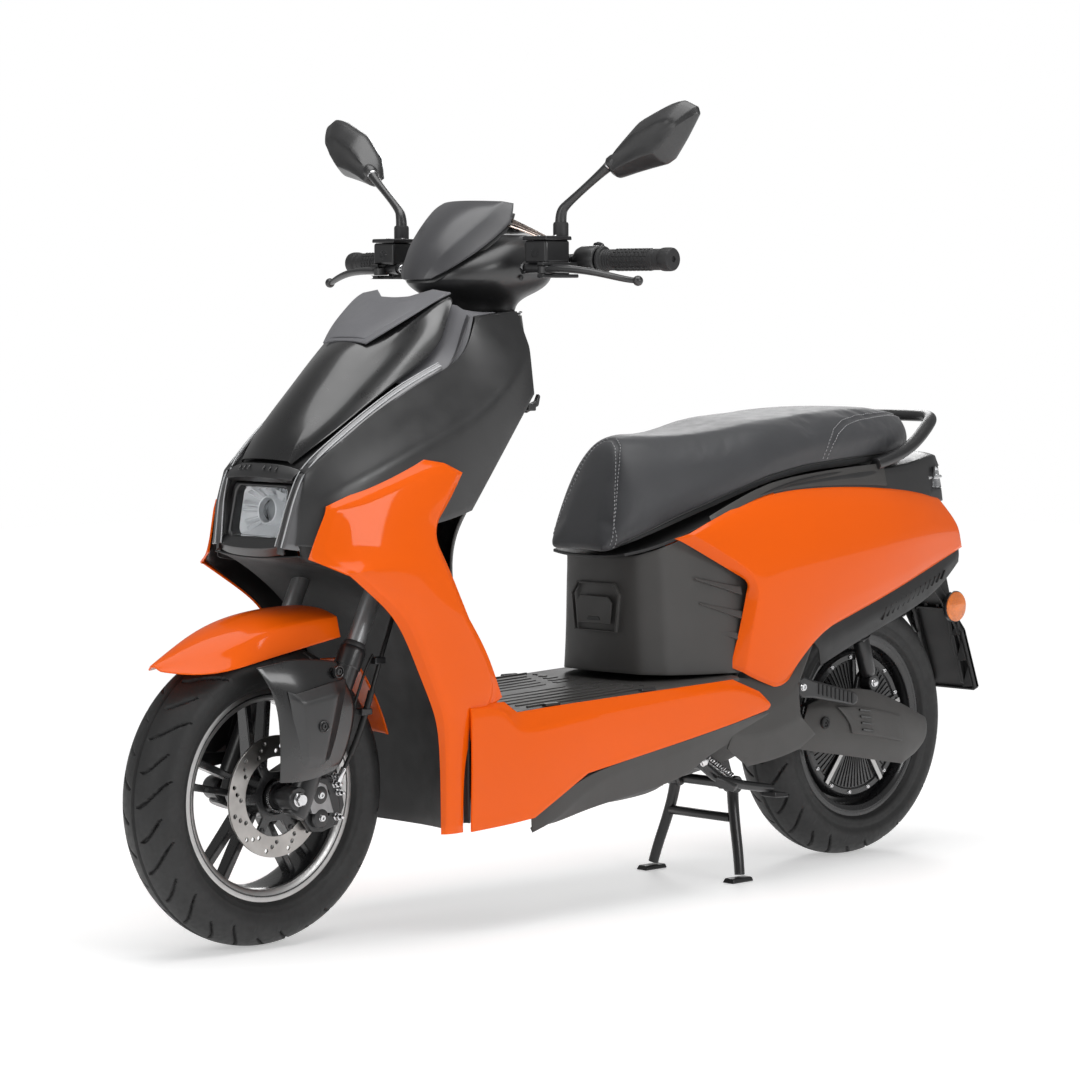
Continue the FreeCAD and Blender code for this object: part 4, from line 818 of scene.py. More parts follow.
def rear_wheel():
    tyre("rear_tyre_tread", REAR_HUB, REAR_RIM_HALF, "rear_wheel", 1)
    lathe("hub_motor_rim", [rim_profile(REAR_RIM_HALF, 148)], REAR_HUB, SPIN, "rear_wheel", "wheel",
          ["hub_motor"], 160)
    for word, sign in SIDES:
        lip_ring(f"rear_rim_lip_{word}", REAR_HUB, REAR_RIM_HALF, "rear_wheel", sign, "wheel")
    face = [(46, 9), (46, 38), (43.5, 41), (39, 44), (35, 52), (31, 116), (33.5, 119), (33.5, 128),
            (31, 131), (26, 134),
            (14, 136), (12, 147.5)]
    drum = face + [(-s, r) for s, r in reversed(face)]
    lathe("hub_motor_drum", [drum], REAR_HUB, SPIN, "rear_wheel", "wheel", (), 144)
    fins, bars = [], []
    for sign in (1, -1):
        for k in range(75):
            if k % 15 in (0, 1, 14):
                continue
            a = math.radians(4.8 * k + 90)
            low, high = arm_quad(a, 0, 0, 0.9, 0.9, 58, 115, 1.6, 1.6)
            move = Vector((0, sign * 34.4, 0))
            fins.append((at_hub(REAR_HUB + move, low),
                         at_hub(REAR_HUB + Vector((0, sign * 31.6, 0)), high)))
        for k in range(5):
            a = math.radians(72 * k + 90)
            low, high = arm_quad(a, 0, 0, 8.5, 8.5, 46, 118, 3.0, 3.0)
            fins.append((at_hub(REAR_HUB + Vector((0, sign * 36.6, 0)), low),
                         at_hub(REAR_HUB + Vector((0, sign * 33.0, 0)), high)))
            low, high = arm_quad(a, 3.5, 3.5, 4.6, 4.6, 60, 128, 1.0, 1.0)
            bars.append((at_hub(REAR_HUB + Vector((0, sign * 39.6, 0)), low),
                         at_hub(REAR_HUB + Vector((0, sign * 36.2, 0)), high)))
        for k in range(15):
            a = math.radians(24 * k + 12)
            spot = REAR_HUB + Vector((123.5 * math.cos(a), sign * 33.4, 123.5 * math.sin(a)))
            word = "left" if sign > 0 else "right"
            bolt(f"motor_bolt_{word}_{k + 1}", spot, (0, sign, 0), 3.2, "rear_wheel", "bright", 2.6)
    blocks("hub_motor_ribs", fins, "rear_wheel", "wheel", (), 0.35, 1)
    blocks("hub_motor_accents", bars, "rear_wheel", "machined", (), 0.5, 2)


# ---------------------------------------------------------------- fork and front mudguard
FENDER = [
    [(581, 79, 480), (584, 74, 512), (587, 46, 523), (588, 16, 525), (588, 0, 525)],
    [(631, 80, 472), (638, 75, 510), (642, 50, 521), (644, 18, 525), (644, 0, 526)],
    [(690, 80, 462), (698, 72, 502), (702, 46, 514), (706, 18, 519), (706, 0, 520)],
    [(740, 79, 453), (744, 66, 492), (748, 42, 504), (752, 18, 508), (752, 0, 509)],
    [(786, 76, 444), (790, 56, 476), (794, 34, 489), (798, 15, 493), (798, 0, 494)],
    [(826, 68, 439), (830, 42, 461), (834, 26, 471), (838, 12, 475), (838, 0, 476)],
    [(862, 46, 439), (864, 26, 449), (868, 16, 457), (870, 8, 460), (870, 0, 461)],
    [(886, 15, 443), (888, 10, 446), (890, 6, 449), (892, 3, 450), (893, 0, 450)],
]
FLAP = [
    [(516, 46, 434), (513, 22, 437), (512, 0, 438)],
    [(484, 46, 390), (481, 22, 393), (480, 0, 394)],
    [(460, 45, 344), (457, 22, 346), (456, 0, 347)],
    [(449, 44, 314), (447, 22, 316), (446, 0, 316)],
]
FORK_COVER = [
    [(768, 100, 446), (700, 108, 456), (640, 112, 452), (618, 112, 446)],
    [(752, 112, 420), (700, 122, 425), (640, 126, 420), (600, 116, 410)],
    [(738, 116, 380), (696, 129, 380), (640, 130, 372), (580, 118, 380)],
    [(736, 118, 330), (700, 131, 326), (650, 131, 322), (596, 120, 326)],
    [(736, 118, 290), (706, 127, 284), (662, 127, 284), (612, 118, 288)],
    [(734, 114, 268), (706, 118, 266), (664, 118, 268), (622, 112, 278)],
]


def front_fork():
    panel("front_fender_guard", full(FENDER), "fork_slider", "orange", (0, 0, 1),
          ["front_fender"],
          2.6, 3, None, {1: 0.42, 7: 0.42}, [(0, 0), (0, 8), (0, 1), (0, 7)], 1.0)
    panel("front_fender_flap", full(FLAP), "fork_slider", "orange", (-1, 0, 0.6), (), 2.6,
          2, None,
          None, [(0, 0), (0, 4), (3, 0), (3, 4)])
    for word, sign in SIDES:
        cover = sided(FORK_COVER, sign)
        panel(f"fork_cover_{word}", cover, "fork_slider", "gloss", (0, sign, 0),
              ["fork_covers"], 3.0, 3, None, {1: 0.35}, [(0, 0), (0, 3), (5, 0), (5, 3)], 1.1)
        boss = [
            [(724, 121, 408), (712, 127, 404), (640, 130, 418), (606, 121, 420)],
            [(722, 122, 396), (706, 137, 390), (640, 141, 400), (612, 125, 398)],
            [(712, 124, 346), (700, 139, 344), (656, 141, 338), (630, 127, 334)],
            [(706, 124, 302), (696, 137, 304), (664, 138, 300), (644, 126, 300)],
            [(702, 120, 286), (692, 125, 288), (668, 125, 286), (650, 120, 288)],
        ]
        panel(f"fork_cover_boss_{word}", sided(boss, sign), "fork_slider", "satin", (0, sign, 0),
              (), 4.0, 3, {1: 0.7, 3: 0.5}, {1: 0.7, 2: 0.6},
              [(0, 0), (0, 3), (4, 0), (4, 3)], 0.8)
        for k, (x, y, z) in enumerate([(624, 125, 432), (668, 141.0, 352)]):
            spot = side_point((x, y, z), sign)
            lathe(f"fork_cover_seat_{word}_{k + 1}",
                  [[(-4, 7.6), (1.2, 7.6), (1.6, 8.6), (1.2, 9.6), (-4, 9.6)]], spot, (0, sign, 0),
                  "fork_slider",
                  "frame", (), 32)
            bolt(f"fork_cover_bolt_{word}_{k + 1}", spot - Vector((0, sign * 1.5, 0)), (0, sign, 0), 5.0,
                 "fork_slider", "frame", 3.4)
        low, high = leg_point(-24, sign), leg_point(258, sign)
        length = (high - low).length
        leg = [(0, 0), (0, 16.5), (2.5, 19), (8, 20), (length - 34, 20), (length - 32, 21.5),
               (length - 8, 21.5),
               (length - 3, 21), (length, 19), (length, 15.3), (60, 15.3), (60, 0)]
        lathe(f"fork_leg_{word}", [leg], low, UP, "fork_slider", "frame", ["fork_legs"], 48)
        seal = [(0, 15.1), (0, 18.2), (3, 18.6), (6, 17.4), (8, 16.6), (9, 15.1)]
        lathe(f"fork_seal_{word}", [seal], high, UP, "fork_slider", "rubber", (), 40)
        lug_low = LEG_FOOT + AHEAD * 16 + Vector((0, sign * 74, 0))
        lug = [(0, 8.3), (0, 16), (2, 19), (30, 19), (33, 17.5), (33, 8.3)]
        lathe(f"fork_lug_{word}", [lug], lug_low, (0, sign, 0), "fork_slider", "frame", (),
              40)
        top = [(-20, 0), (-20, 14.9), (262, 14.9), (262, 0)]
        lathe(f"fork_tube_{word}", [top], leg_point(206, sign), UP, "steering", "tube",
              ["fork_crown"], 48)
        clamp = [(-17, 14.9), (-17, 25), (-14, 27), (14, 27), (17, 25), (17, 14.9)]
        lathe(f"fork_clamp_{word}", [clamp], leg_point(452, sign), UP, "steering", "frame", (), 48)
    plate_centre = LEG_FOOT - AHEAD * 12 + UP * 452
    yoke = []
    for x, y in ((-38, -60), (-30, -112), (16, -118), (34, -112), (38, -60), (38, 60), (34, 112),
                 (16, 118),
                 (-30, 112), (-38, 60)):
        yoke.append((x, y))
    plate("fork_yoke", [yoke], 32.0, plate_centre, AHEAD, (0, 1, 0), "steering", "frame",
          (), 3.0)
    stem_low, stem_high = STEM_FOOT + UP * 442, STEM_FOOT + UP * 860
    rod("steering_stem", stem_low, stem_high, 13.0, "steering", "tube", (), 1.0)
    reach = 114
    rod("front_axle_shaft", FRONT_HUB - Vector((0, reach - 3, 0)), FRONT_HUB + Vector((0, reach - 3, 0)),
        8.0,
        "fork_slider", "bright", ["front_axle"])
    for word, sign in SIDES:
        head = FRONT_HUB + Vector((0, sign * 107, 0))
        bolt(f"front_axle_nut_{word}", head, (0, sign, 0), 10.0, "fork_slider", "bright", 10.0, False)
        spacer = [(40.8, 8.2), (40.8, 12.6), (69, 12.6), (69, 8.2)]
        lathe(f"front_axle_spacer_{word}", [[(s * sign, r) for s, r in spacer]], FRONT_HUB, SPIN,
              "fork_slider",
              "frame", (), 40)


def caliper_and_hose():
    body = [(590, 182), (612, 176), (634, 178), (648, 196), (650, 222), (642, 240), (630, 260), (596, 262),
            (580, 240), (574, 214)]
    half = 13.0
    side = 52.0
    plate("front_caliper_outer", [body], half, (0, side + 12.5, 0), (1, 0, 0), (0, 0, 1), "fork_slider",
          "frame", ["front_caliper"], 2.4, [(604, 204, 6), (604, 236, 6)])
    plate("front_caliper_inner", [body], half, (0, side - 12.5, 0), (1, 0, 0), (0, 0, 1), "fork_slider",
          "frame",
          (), 2.4)
    bridge = [(590, 183), (577, 216), (582, 240), (596, 261), (587, 262), (571, 240), (566, 214),
              (580, 184)]
    plate("front_caliper_bridge", [bridge], 36.0, (0, side, 0), (1, 0, 0), (0, 0, 1), "fork_slider",
          "frame",
          (), 2.0)
    for k, (x, z) in enumerate([(622, 200), (624, 236)]):
        lathe(f"caliper_piston_{k + 1}",
              [[(0, 0), (0, 15), (2, 16.5), (8, 16.5), (11, 14), (12, 9), (12, 0)]],
              (x, side + 17, z), (0, 1, 0), "fork_slider", "frame", (), 40)
        bolt(f"caliper_bolt_{k + 1}", (x, side + 28.6, z), (0, 1, 0), 5.0, "fork_slider", "bright", 4.0)
    lug = [(596, 206), (640, 208), (654, 240), (640, 262), (612, 252)]
    plate("front_caliper_bracket", [lug], 8.0, (0, side + 24, 0), (1, 0, 0), (0, 0, 1), "fork_slider",
          "cast",
          (), 1.4)
    for k, (x, z, size) in enumerate([(586, 250, 6.5), (580, 236, 5.5), (583, 198, 6.0), (589, 262, 5.0)]):
        bolt(f"caliper_banjo_{k + 1}", (x, side + 17.5, z), (0, 1, 0), size, "fork_slider", "bright", 9.0,
             False)
        rod(f"caliper_stud_{k + 1}", (x, side + 14, z), (x, side + 34, z), size * 0.55, "fork_slider",
            "bright",
            (), 0.8, 20)
    route = [(586, 84, 263), (569, 92, 300), (553, 100, 346), (537, 103, 396), (515, 100, 446),
             (490, 95, 494),
             (468, 88, 540)]
    bar("brake_hose_line", route, 3.5, "fork_slider", "hose", ["brake_hose"], 3, 10, 16)
    bar("brake_hose_sleeve", [(571, 91, 296), (560, 97, 326), (549, 101, 360), (538, 103, 394)], 5.4,
        "fork_slider",
        "hose", (), 3, 10, 16)
    rod("brake_hose_ferrule", (589, 82, 254), (581, 87, 276), 5.0, "fork_slider", "bright", (), 0.8,
        24)
    bar("speed_sensor_lead", [(604, 66, 258), (590, 76, 300), (574, 92, 348), (556, 95, 400),
                              (538, 93, 434),
                              (526, 93, 450)], 2.2, "fork_slider", "hose", (), 3, 10, 12)
    for k, p in enumerate([(549, 99, 362), (519, 97, 440)]):
        blocks(f"hose_clip_{k + 1}", [extrusion([(p[0] - 10, p[2] - 5), (p[0] + 12, p[2] - 5),
                                                 (p[0] + 12, p[2] + 6),
                                                 (p[0] - 10, p[2] + 6)], p[1] - 9, p[1] + 8)],
               "fork_slider", "frame", (), 2.0, 3)


# ---------------------------------------------------------------- handlebar group
BAR_X, BAR_Z, GRIP_IN, GRIP_OUT = 164.0, 1068.0, 236.0, 372.0


def grip_line(sign):
    return Vector((BAR_X, sign * GRIP_IN, BAR_Z)), Vector((BAR_X - 14, sign * GRIP_OUT, BAR_Z))


def handlebar():
    half = [(225, 0, 1052), (225, 50, 1052), (222, 74, 1052), (200, 120, 1059), (182, 160, 1066),
            (170, 190, 1068),
            (166, 222, 1068), (160, 270, 1068), (150, 371, 1068)]
    line = [side_point(p, -1) for p in reversed(half[1:])] + [Vector(p) for p in half]
    bar("handlebar_tube", line, 11.0, "steering", "frame", ["handlebar"], 3, 8, 20)
    for word, sign in SIDES:
        inner, outer = grip_line(sign)
        along = (outer - inner).normalized()
        body = "steering" if sign > 0 else "throttle"
        node = "left_grip" if sign > 0 else "throttle_grip"
        length = (outer - inner).length
        profile = [(2, 11.3), (2, 20.5), (3.5, 22), (6.5, 22), (8.5, 20.4), (9.5, 17.4)]
        at = 11.0
        while at < length - 22:
            profile += [(at, 17.0), (at + 1.0, 16.3), (at + 2.4, 16.3), (at + 3.4, 17.0)]
            at += 5.2 if at < 30 or at > length - 40 else 40.0
        profile += [(length - 12, 16.9), (length - 10, 18.4), (length - 6, 18.9), (length + 4, 18.9),
                    (length + 8, 18.2), (length + 10, 16.4), (length + 10, 5.0), (length + 7, 4.4),
                    (length + 7, 0),
                    (length + 1.5, 0), (length + 1.5, 11.3)]
        lathe(f"grip_{word}", [profile], inner, along, body, "rubber", [node], 48)
        pads = []
        _, across, beside = frame_at(along)
        for row in range(14):
            a = 2 * math.pi * row / 14
            for k in range(9):
                s = 36 + k * 8.0
                if s > length - 28:
                    continue
                ray = across * math.cos(a) + beside * math.sin(a)
                tang = beside * math.cos(a) - across * math.sin(a)
                ends = []
                for level in (16.6, 17.9):
                    centre = inner + along * s + ray * level
                    skew = tang * 2.9
                    ends.append([centre + along * u * 2.6 + skew * v + along * v * 1.8
                                 for u, v in ((-1, -1), (1, -1), (1, 1), (-1, 1))])
                pads.append((ends[0], ends[1]))
        blocks(f"grip_{word}_pads", pads, body, "rubber", (), 0.4, 1)


def switch_gear():
    for word, sign in SIDES:
        inner, outer = grip_line(sign)
        along = (outer - inner).normalized()
        shell = [(-46, 11.4), (-46, 17), (-43, 20), (-36, 22.6), (-10, 23.4), (-4, 22.4), (-2, 20),
                 (-2, 11.4)]
        lathe(f"switch_housing_{word}", [shell], inner, along, "steering", "satin",
              ["control_housings"], 56, 0.4)
        y0 = sign * 212
        pod = [(128, 1060), (176, 1060), (184, 1072), (176, 1088), (150, 1092), (130, 1084)]
        low, high = sorted((sign * 196, sign * 229))
        blocks(f"switch_pod_{word}", [extrusion(pod, low, high)], "steering", "satin", (),
               5.0, 3)
        axis = Vector((-0.45, 0, 0.89)).normalized()
        button_base = Vector((150, y0, 1078))
        body = "horn" if sign > 0 else "starter"
        node = "horn_button" if sign > 0 else "start_button"
        cap = [(3.2, 0), (3.2, 6.9), (17.6, 6.9), (18.8, 6.2), (19.2, 4.8), (18.7, 2.0), (18.5, 0)]
        lathe(f"{node}_cap", [cap], button_base, axis, body, "rubber", [node], 40)
        collar = [(12.0, 7.4), (12.0, 10.2), (15.2, 10.2), (16.0, 9.4), (16.0, 7.4)]
        lathe(f"{node}_collar", [collar], button_base, axis, "steering", "frame", (), 40)
        for k, (dx, dz, w) in enumerate([(132, 1072, 10), (142, 1064, 7)]):
            spot_low, spot_high = sorted((sign * (204 + 3 * k), sign * (204 + 3 * k + w)))
            blocks(f"switch_toggle_{word}_{k + 1}",
                   [extrusion([(dx - 8, dz - 4), (dx + 2, dz - 5), (dx + 2, dz + 5),
                                                              (dx - 8, dz + 3)], spot_low, spot_high)],
                   "steering", "rubber", (), 1.6, 2)
        low_y, high_y = sorted((sign * 156, sign * 206))
        tank = [(204, 1063), (258, 1063), (258, 1099), (204, 1099)]
        blocks(f"brake_reservoir_{word}", [extrusion(tank, low_y, high_y)], "steering", "frame",
               (),
               4.0, 3)
        lid = [(201, 1099.5), (260, 1099.5), (259, 1106), (202, 1106)]
        low_y, high_y = sorted((sign * 153, sign * 208))
        blocks(f"reservoir_lid_{word}", [extrusion(lid, low_y, high_y)], "steering", "frame",
               (),
               2.0, 3)
        for k, y in enumerate((162, 199)):
            bolt(f"reservoir_screw_{word}_{k + 1}", (231, sign * y, 1106), (0, 0, 1), 3.4, "steering",
                 "bright", 1.4)
        glass_spot = Vector((258.2, sign * 181, 1080))
        lathe(f"reservoir_window_{word}", [[(-3, 0), (-3, 8), (1.2, 8), (1.8, 7), (1.0, 6), (0.8, 0)]],
              glass_spot,
              (1, 0, 0), "steering", "clear", (), 32)
        cyl_low = Vector((246, sign * 150, 1056))
        cyl = [(0, 0), (0, 6), (4, 6.5), (5, 9), (50, 9), (54, 8), (54, 0)]
        lathe(f"brake_master_{word}", [cyl], cyl_low, (-0.12, sign, 0), "steering", "frame",
              (), 36)
        banjo = Vector((247, sign * 147, 1056))
        bolt(f"brake_banjo_{word}", banjo, (0.12, -sign, 0), 6.0, "steering", "bright", 7.0, False)
        clamp = [(-30, 10.9), (-30, 15), (-28, 16.4), (-12, 16.4), (-10, 15), (-10, 10.9)]
        lathe(f"bar_clamp_{word}", [clamp], inner - along * 14, along, "steering", "frame", (), 40)
        low_y, high_y = sorted((sign * 178, sign * 208))
        for tag, z_low, z_high in (("top", 1058.6, 1064.5), ("bottom", 1039.5, 1045.4)):
            perch = [(186, low_y), (240, low_y), (262, sign * 190), (262, sign * 204), (240, high_y),
                     (186, high_y)]
            blocks(f"lever_perch_{tag}_{word}", [extrusion(perch, z_low, z_high, "z")], "steering",
                   "frame",
                   (), 1.6, 2)
        low_y, high_y = sorted((sign * 176, sign * 189))
        blocks(f"lever_perch_web_{word}",
               [extrusion([(188, 1041), (240, 1041), (240, 1063), (188, 1063)], low_y,
                                                     high_y)], "steering", "frame", (), 2.0, 2)
        bolt(f"lever_pivot_screw_{word}", (250, sign * 196, 1064.4), (0, 0, 1), 5.4, "steering", "bright",
             3.2)
        lever_body = "left_lever" if sign > 0 else "right_lever"
        profile = [(0, 4.2), (0, 11), (1, 12), (11, 12), (12, 11), (12, 4.2)]
        lathe(f"lever_eye_{word}", [profile], (250, sign * 196, 1046), (0, 0, 1), lever_body, "satin",
              [f"lever_{word}"], 40)
        rows = []
        for y, front, back, low, high in ((6, 259, 239, 1047, 1058), (24, 262, 239, 1047, 1059.5),
                                          (44, 261, 241, 1047, 1059.5), (80, 255, 238, 1045, 1057),
                                          (110, 246, 231, 1040.5, 1052), (140, 235, 223, 1034, 1044.5),
                                          (160, 224, 214, 1030, 1040), (172, 216, 209, 1029.5, 1038)):
            mid = (front + back) / 2
            ring = [(front, low + 3), (front, high - 3), (mid + 3, high), (mid - 3, high),
                    (back, high - 3),
                    (back, low + 3), (mid - 3, low), (mid + 3, low)]
            rows.append([(x, 196 + y, z) for x, z in ring])
        tube_piece(f"lever_blade_{word}", [[side_point(p, sign) for p in row] for row in rows],
                   lever_body, "satin",
                   level=2)
        ball = Vector((214, sign * 367, 1034))
        points = [(8.2 * -math.cos(math.pi * k / 14), 8.2 * math.sin(math.pi * k / 14)) for k in range(15)]
        lathe(f"lever_ball_{word}", [points], ball, (0, sign, 0), lever_body, "satin", (),
              32)


def tube_piece(name, rings, body, material, nodes=(), level=2, caps=True, bevel=0.0, sharp=()):
    """Closed skin through matching rings."""
    count = len(rings[0])
    points = [p for ring in rings for p in ring]
    faces = []
    for i in range(len(rings) - 1):
        for j in range(count):
            n = (j + 1) % count
            faces.append((i * count + j, i * count + n, (i + 1) * count + n, (i + 1) * count + j))
    if caps:
        faces.append(tuple(range(count)))
        faces.append(tuple((len(rings) - 1) * count + k for k in reversed(range(count))))
    mesh = raw_mesh(name, points, faces)
    made = bmesh.new()
    made.from_mesh(mesh)
    bmesh.ops.recalc_face_normals(made, faces=made.faces)
    folds = made.edges.layers.float.new("crease_edge")
    for edge in made.edges:
        a, b = (v.index for v in edge.verts)
        if a // count != b // count and (a % count) in dict(sharp):
            edge[folds] = dict(sharp)[a % count]
        if caps and a // count == b // count and a // count in (0, len(rings) - 1):
            edge[folds] = 0.5
    made.to_mesh(mesh)
    made.free()
    piece = finish_mesh(name, mesh, body, material, nodes)
    if level:
        modifier(piece, "SUBSURF", levels=level, render_levels=level)
    if bevel:
        round_edges(piece, bevel, 2, 35)
    shade(mesh)
    return piece


def mirrors():
    for word, sign in SIDES:
        base = Vector((209, sign * 190, 1068))
        boot = [(0, 0), (0, 9.5), (6, 9.5), (7, 11.5), (28, 11.5), (30, 10.6), (33, 10.6), (35, 12.4),
                (57, 12.4),
                (60, 11.2), (61, 8.6), (61, 0)]
        lathe(f"mirror_boot_{word}", [boot], base, (0, 0, 1), "steering", "rubber",
              ["mirror_stems"],
              48)
        line = [(209, 190, 1126), (209, 190, 1136), (209, 192, 1147), (206, 200, 1156), (200, 240, 1185),
                (194, 276, 1211), (193, 280, 1214)]
        stem = [side_point(p, sign) for p in line]
        bar(f"mirror_stem_{word}", stem, [9.5, 9.3, 8.6, 6.6, 5.6, 7.4, 8.6], "steering", "satin",
            (),
            4, 12, 16)
        ball = side_point((192, 283, 1217), sign)
        points = [(9.0 * -math.cos(math.pi * k / 14), 9.0 * math.sin(math.pi * k / 14)) for k in range(15)]
        lathe(f"mirror_ball_{word}", [points], ball, (0, 0, 1), "steering", "bright", (),
              28)
        ring = [(183, 270, 1206), (176, 283, 1243), (170, 330, 1286), (163, 392, 1313), (160, 414, 1315),
                (157, 437, 1305), (157, 441, 1294), (160, 416, 1254), (163, 393, 1224), (166, 380, 1216),
                (174, 330, 1206), (180, 292, 1196)]
        centre = Vector((170, 352, 1260))

        def grown(share, move):
            made = []
            for p in ring:
                v = Vector(p)
                made.append(centre + (v - centre) * share + Vector((move, 0, 0)))
            return [side_point(v, sign) for v in made]

        crest = [side_point(p, sign) for p in
                 [(200, 285, 1212), (203, 294, 1234), (198, 335, 1262), (190, 385, 1283), (186, 400, 1284),
                  (184, 413, 1278), (183, 415, 1272), (186, 400, 1252), (188, 386, 1240), (191, 376, 1233),
                  (197, 330, 1222), (201, 296, 1206)]]
        rings = [grown(0.965, -10), grown(1.0, -6), grown(1.0, 4), crest]
        body = f"{word}_mirror"
        tube_piece(f"mirror_shell_{word}", rings, body, "satin", [f"mirror_{word}"], 3,
                   True,
                           0, {2: 0.8, 4: 0.8, 5: 0.8, 6: 0.8, 8: 0.9, 9: 0.9, 11: 0.6})
        blocks(f"mirror_glass_{word}", [(grown(0.93, -10.3), grown(0.925, -11.6))], body, "mirror",
               (), 0.4, 2)
        socket = [(6, 9.6), (-2, 11.4), (-9, 11.6), (-13, 9.4), (-13, 7.0), (6, 7.0)]
        axis = (Vector(line[-1]) - Vector(line[-3])).normalized()
        axis.y *= sign
        lathe(f"mirror_socket_{word}", [[(s + 12.5, r) for s, r in socket]], ball, axis, body, "satin",
              (), 36)


COVER = [
    (220, 984, 70, 54), (220, 996, 72, 56), (218, 1008, 82, 66), (214, 1020, 112, 84),
    (213, 1036, 128, 102),
    (210, 1058, 122, 110), (203, 1082, 100, 106), (196, 1101, 72, 92), (190, 1110, 52, 70),
]


def handlebar_cover():
    rings = []
    count = 28
    for x, z, a, b in COVER:
        ring = []
        for k in range(count):
            t = 2 * math.pi * k / count
            c, s = math.cos(t), math.sin(t)
            power = 0.86
            ring.append((x + a * math.copysign(abs(c) ** power, c), b * math.copysign(abs(s) ** power, s),
                         z))
        rings.append(ring)
    tube_piece("handlebar_cover_shell", rings, "steering", "satin", ["handlebar_cover"], 2)
    dial = [(x, y) for x, y in ((118, -50), (192, -66), (208, -40), (208, 40), (192, 66), (118, 50))]
    blocks("dash_panel", [([(x, y, 1107 + (x - 118) * 0.22) for x, y in dial],
                           [(x * 0.97 + 5, y * 0.94, 1112 + (x - 118) * 0.22) for x, y in dial])],
           "steering", "gloss", (), 3.0, 3)
    visor = [
        [(228, 88, 1124), (196, 106, 1112), (150, 112, 1096)],
        [(222, 84, 1138), (188, 100, 1122), (146, 106, 1104)],
    ]
    for word, sign in SIDES:
        panel(f"visor_wing_{word}", sided(visor, sign), "steering", "smoke", (0, sign, 1),
              (), 2.4, 2,
              None, None, [(0, 0), (0, 2), (1, 0), (1, 2)], 0.6)
        bolt(f"cover_screw_{word}", (214, sign * 104, 1040), (0, sign, -0.1), 4.2, "steering", "frame",
             1.5)


SCREEN = [
    [(348, 34, 1038), (354, 24, 1037), (358, 10, 1037), (359, 0, 1037)],
    [(336, 54, 1050), (348, 32, 1054), (354, 14, 1056), (356, 0, 1056)],
    [(304, 76, 1072), (328, 46, 1083), (338, 22, 1088), (341, 0, 1089)],
    [(262, 89, 1101), (295, 59, 1113), (309, 30, 1117), (314, 0, 1118)],
    [(226, 93, 1130), (262, 69, 1139), (280, 36, 1141), (286, 0, 1142)],
    [(214, 86, 1150), (240, 72, 1156), (256, 38, 1158), (261, 0, 1159)],
    [(205, 77, 1161), (222, 70, 1164), (240, 36, 1165.5), (246, 0, 1166)],
]


def flyscreen():
    panel("flyscreen_shell", full(SCREEN), "steering", "screen", (1, 0, 0.6), ["flyscreen"],
          3.0, 3,
          None, {1: 0.62, 5: 0.62}, [(0, 0), (0, 6), (6, 0), (6, 6), (4, 0), (4, 6)], 1.2)
    under = [[(x - 9, y * 0.94, z - 6) for x, y, z in row] for row in SCREEN[:-1]]
    panel("flyscreen_inner", full(under), "steering", "satin", (1, 0, 0.6), (), 2.4, 2, None, None,
          [(0, 0), (0, 6), (5, 0), (5, 6)], 0.8)


# ---------------------------------------------------------------- front bodywork
COWL = [
    [(690, 100, 628), (686, 101, 652), (684, 100, 684), (676, 99, 712), (668, 98, 738), (666, 80, 744)],
    [(650, 138, 624), (650, 134, 662), (647, 128, 706), (641, 115, 738), (638, 104, 763), (632, 88, 768)],
    [(600, 152, 632), (600, 150, 678), (600, 146, 728), (600, 124, 762), (600, 111, 790), (592, 98, 790)],
    [(540, 158, 642), (540, 157, 690), (540, 157, 752), (540, 132, 796), (540, 118, 834), (530, 104, 830)],
    [(455, 160, 654), (462, 161, 712), (474, 160.5, 780), (464, 136, 828), (460, 123, 874),
     (450, 108, 864)],
    [(408, 156, 662), (402, 160, 735), (400, 160.5, 806), (398, 137, 855), (392, 124, 899),
     (382, 109, 884)],
    [(368, 152, 672), (345, 157, 765), (330, 159.5, 838), (338, 137, 884), (349, 122, 924),
     (344, 108, 920)],
    [(330, 152, 722), (278, 155, 822), (266, 156.5, 893), (296, 135, 938), (331, 119, 979),
     (326, 106, 979)],
    [(298, 150, 762), (229, 150, 854), (230, 140.5, 928), (234, 129, 958), (240, 121, 986),
     (236, 108, 987)],
]


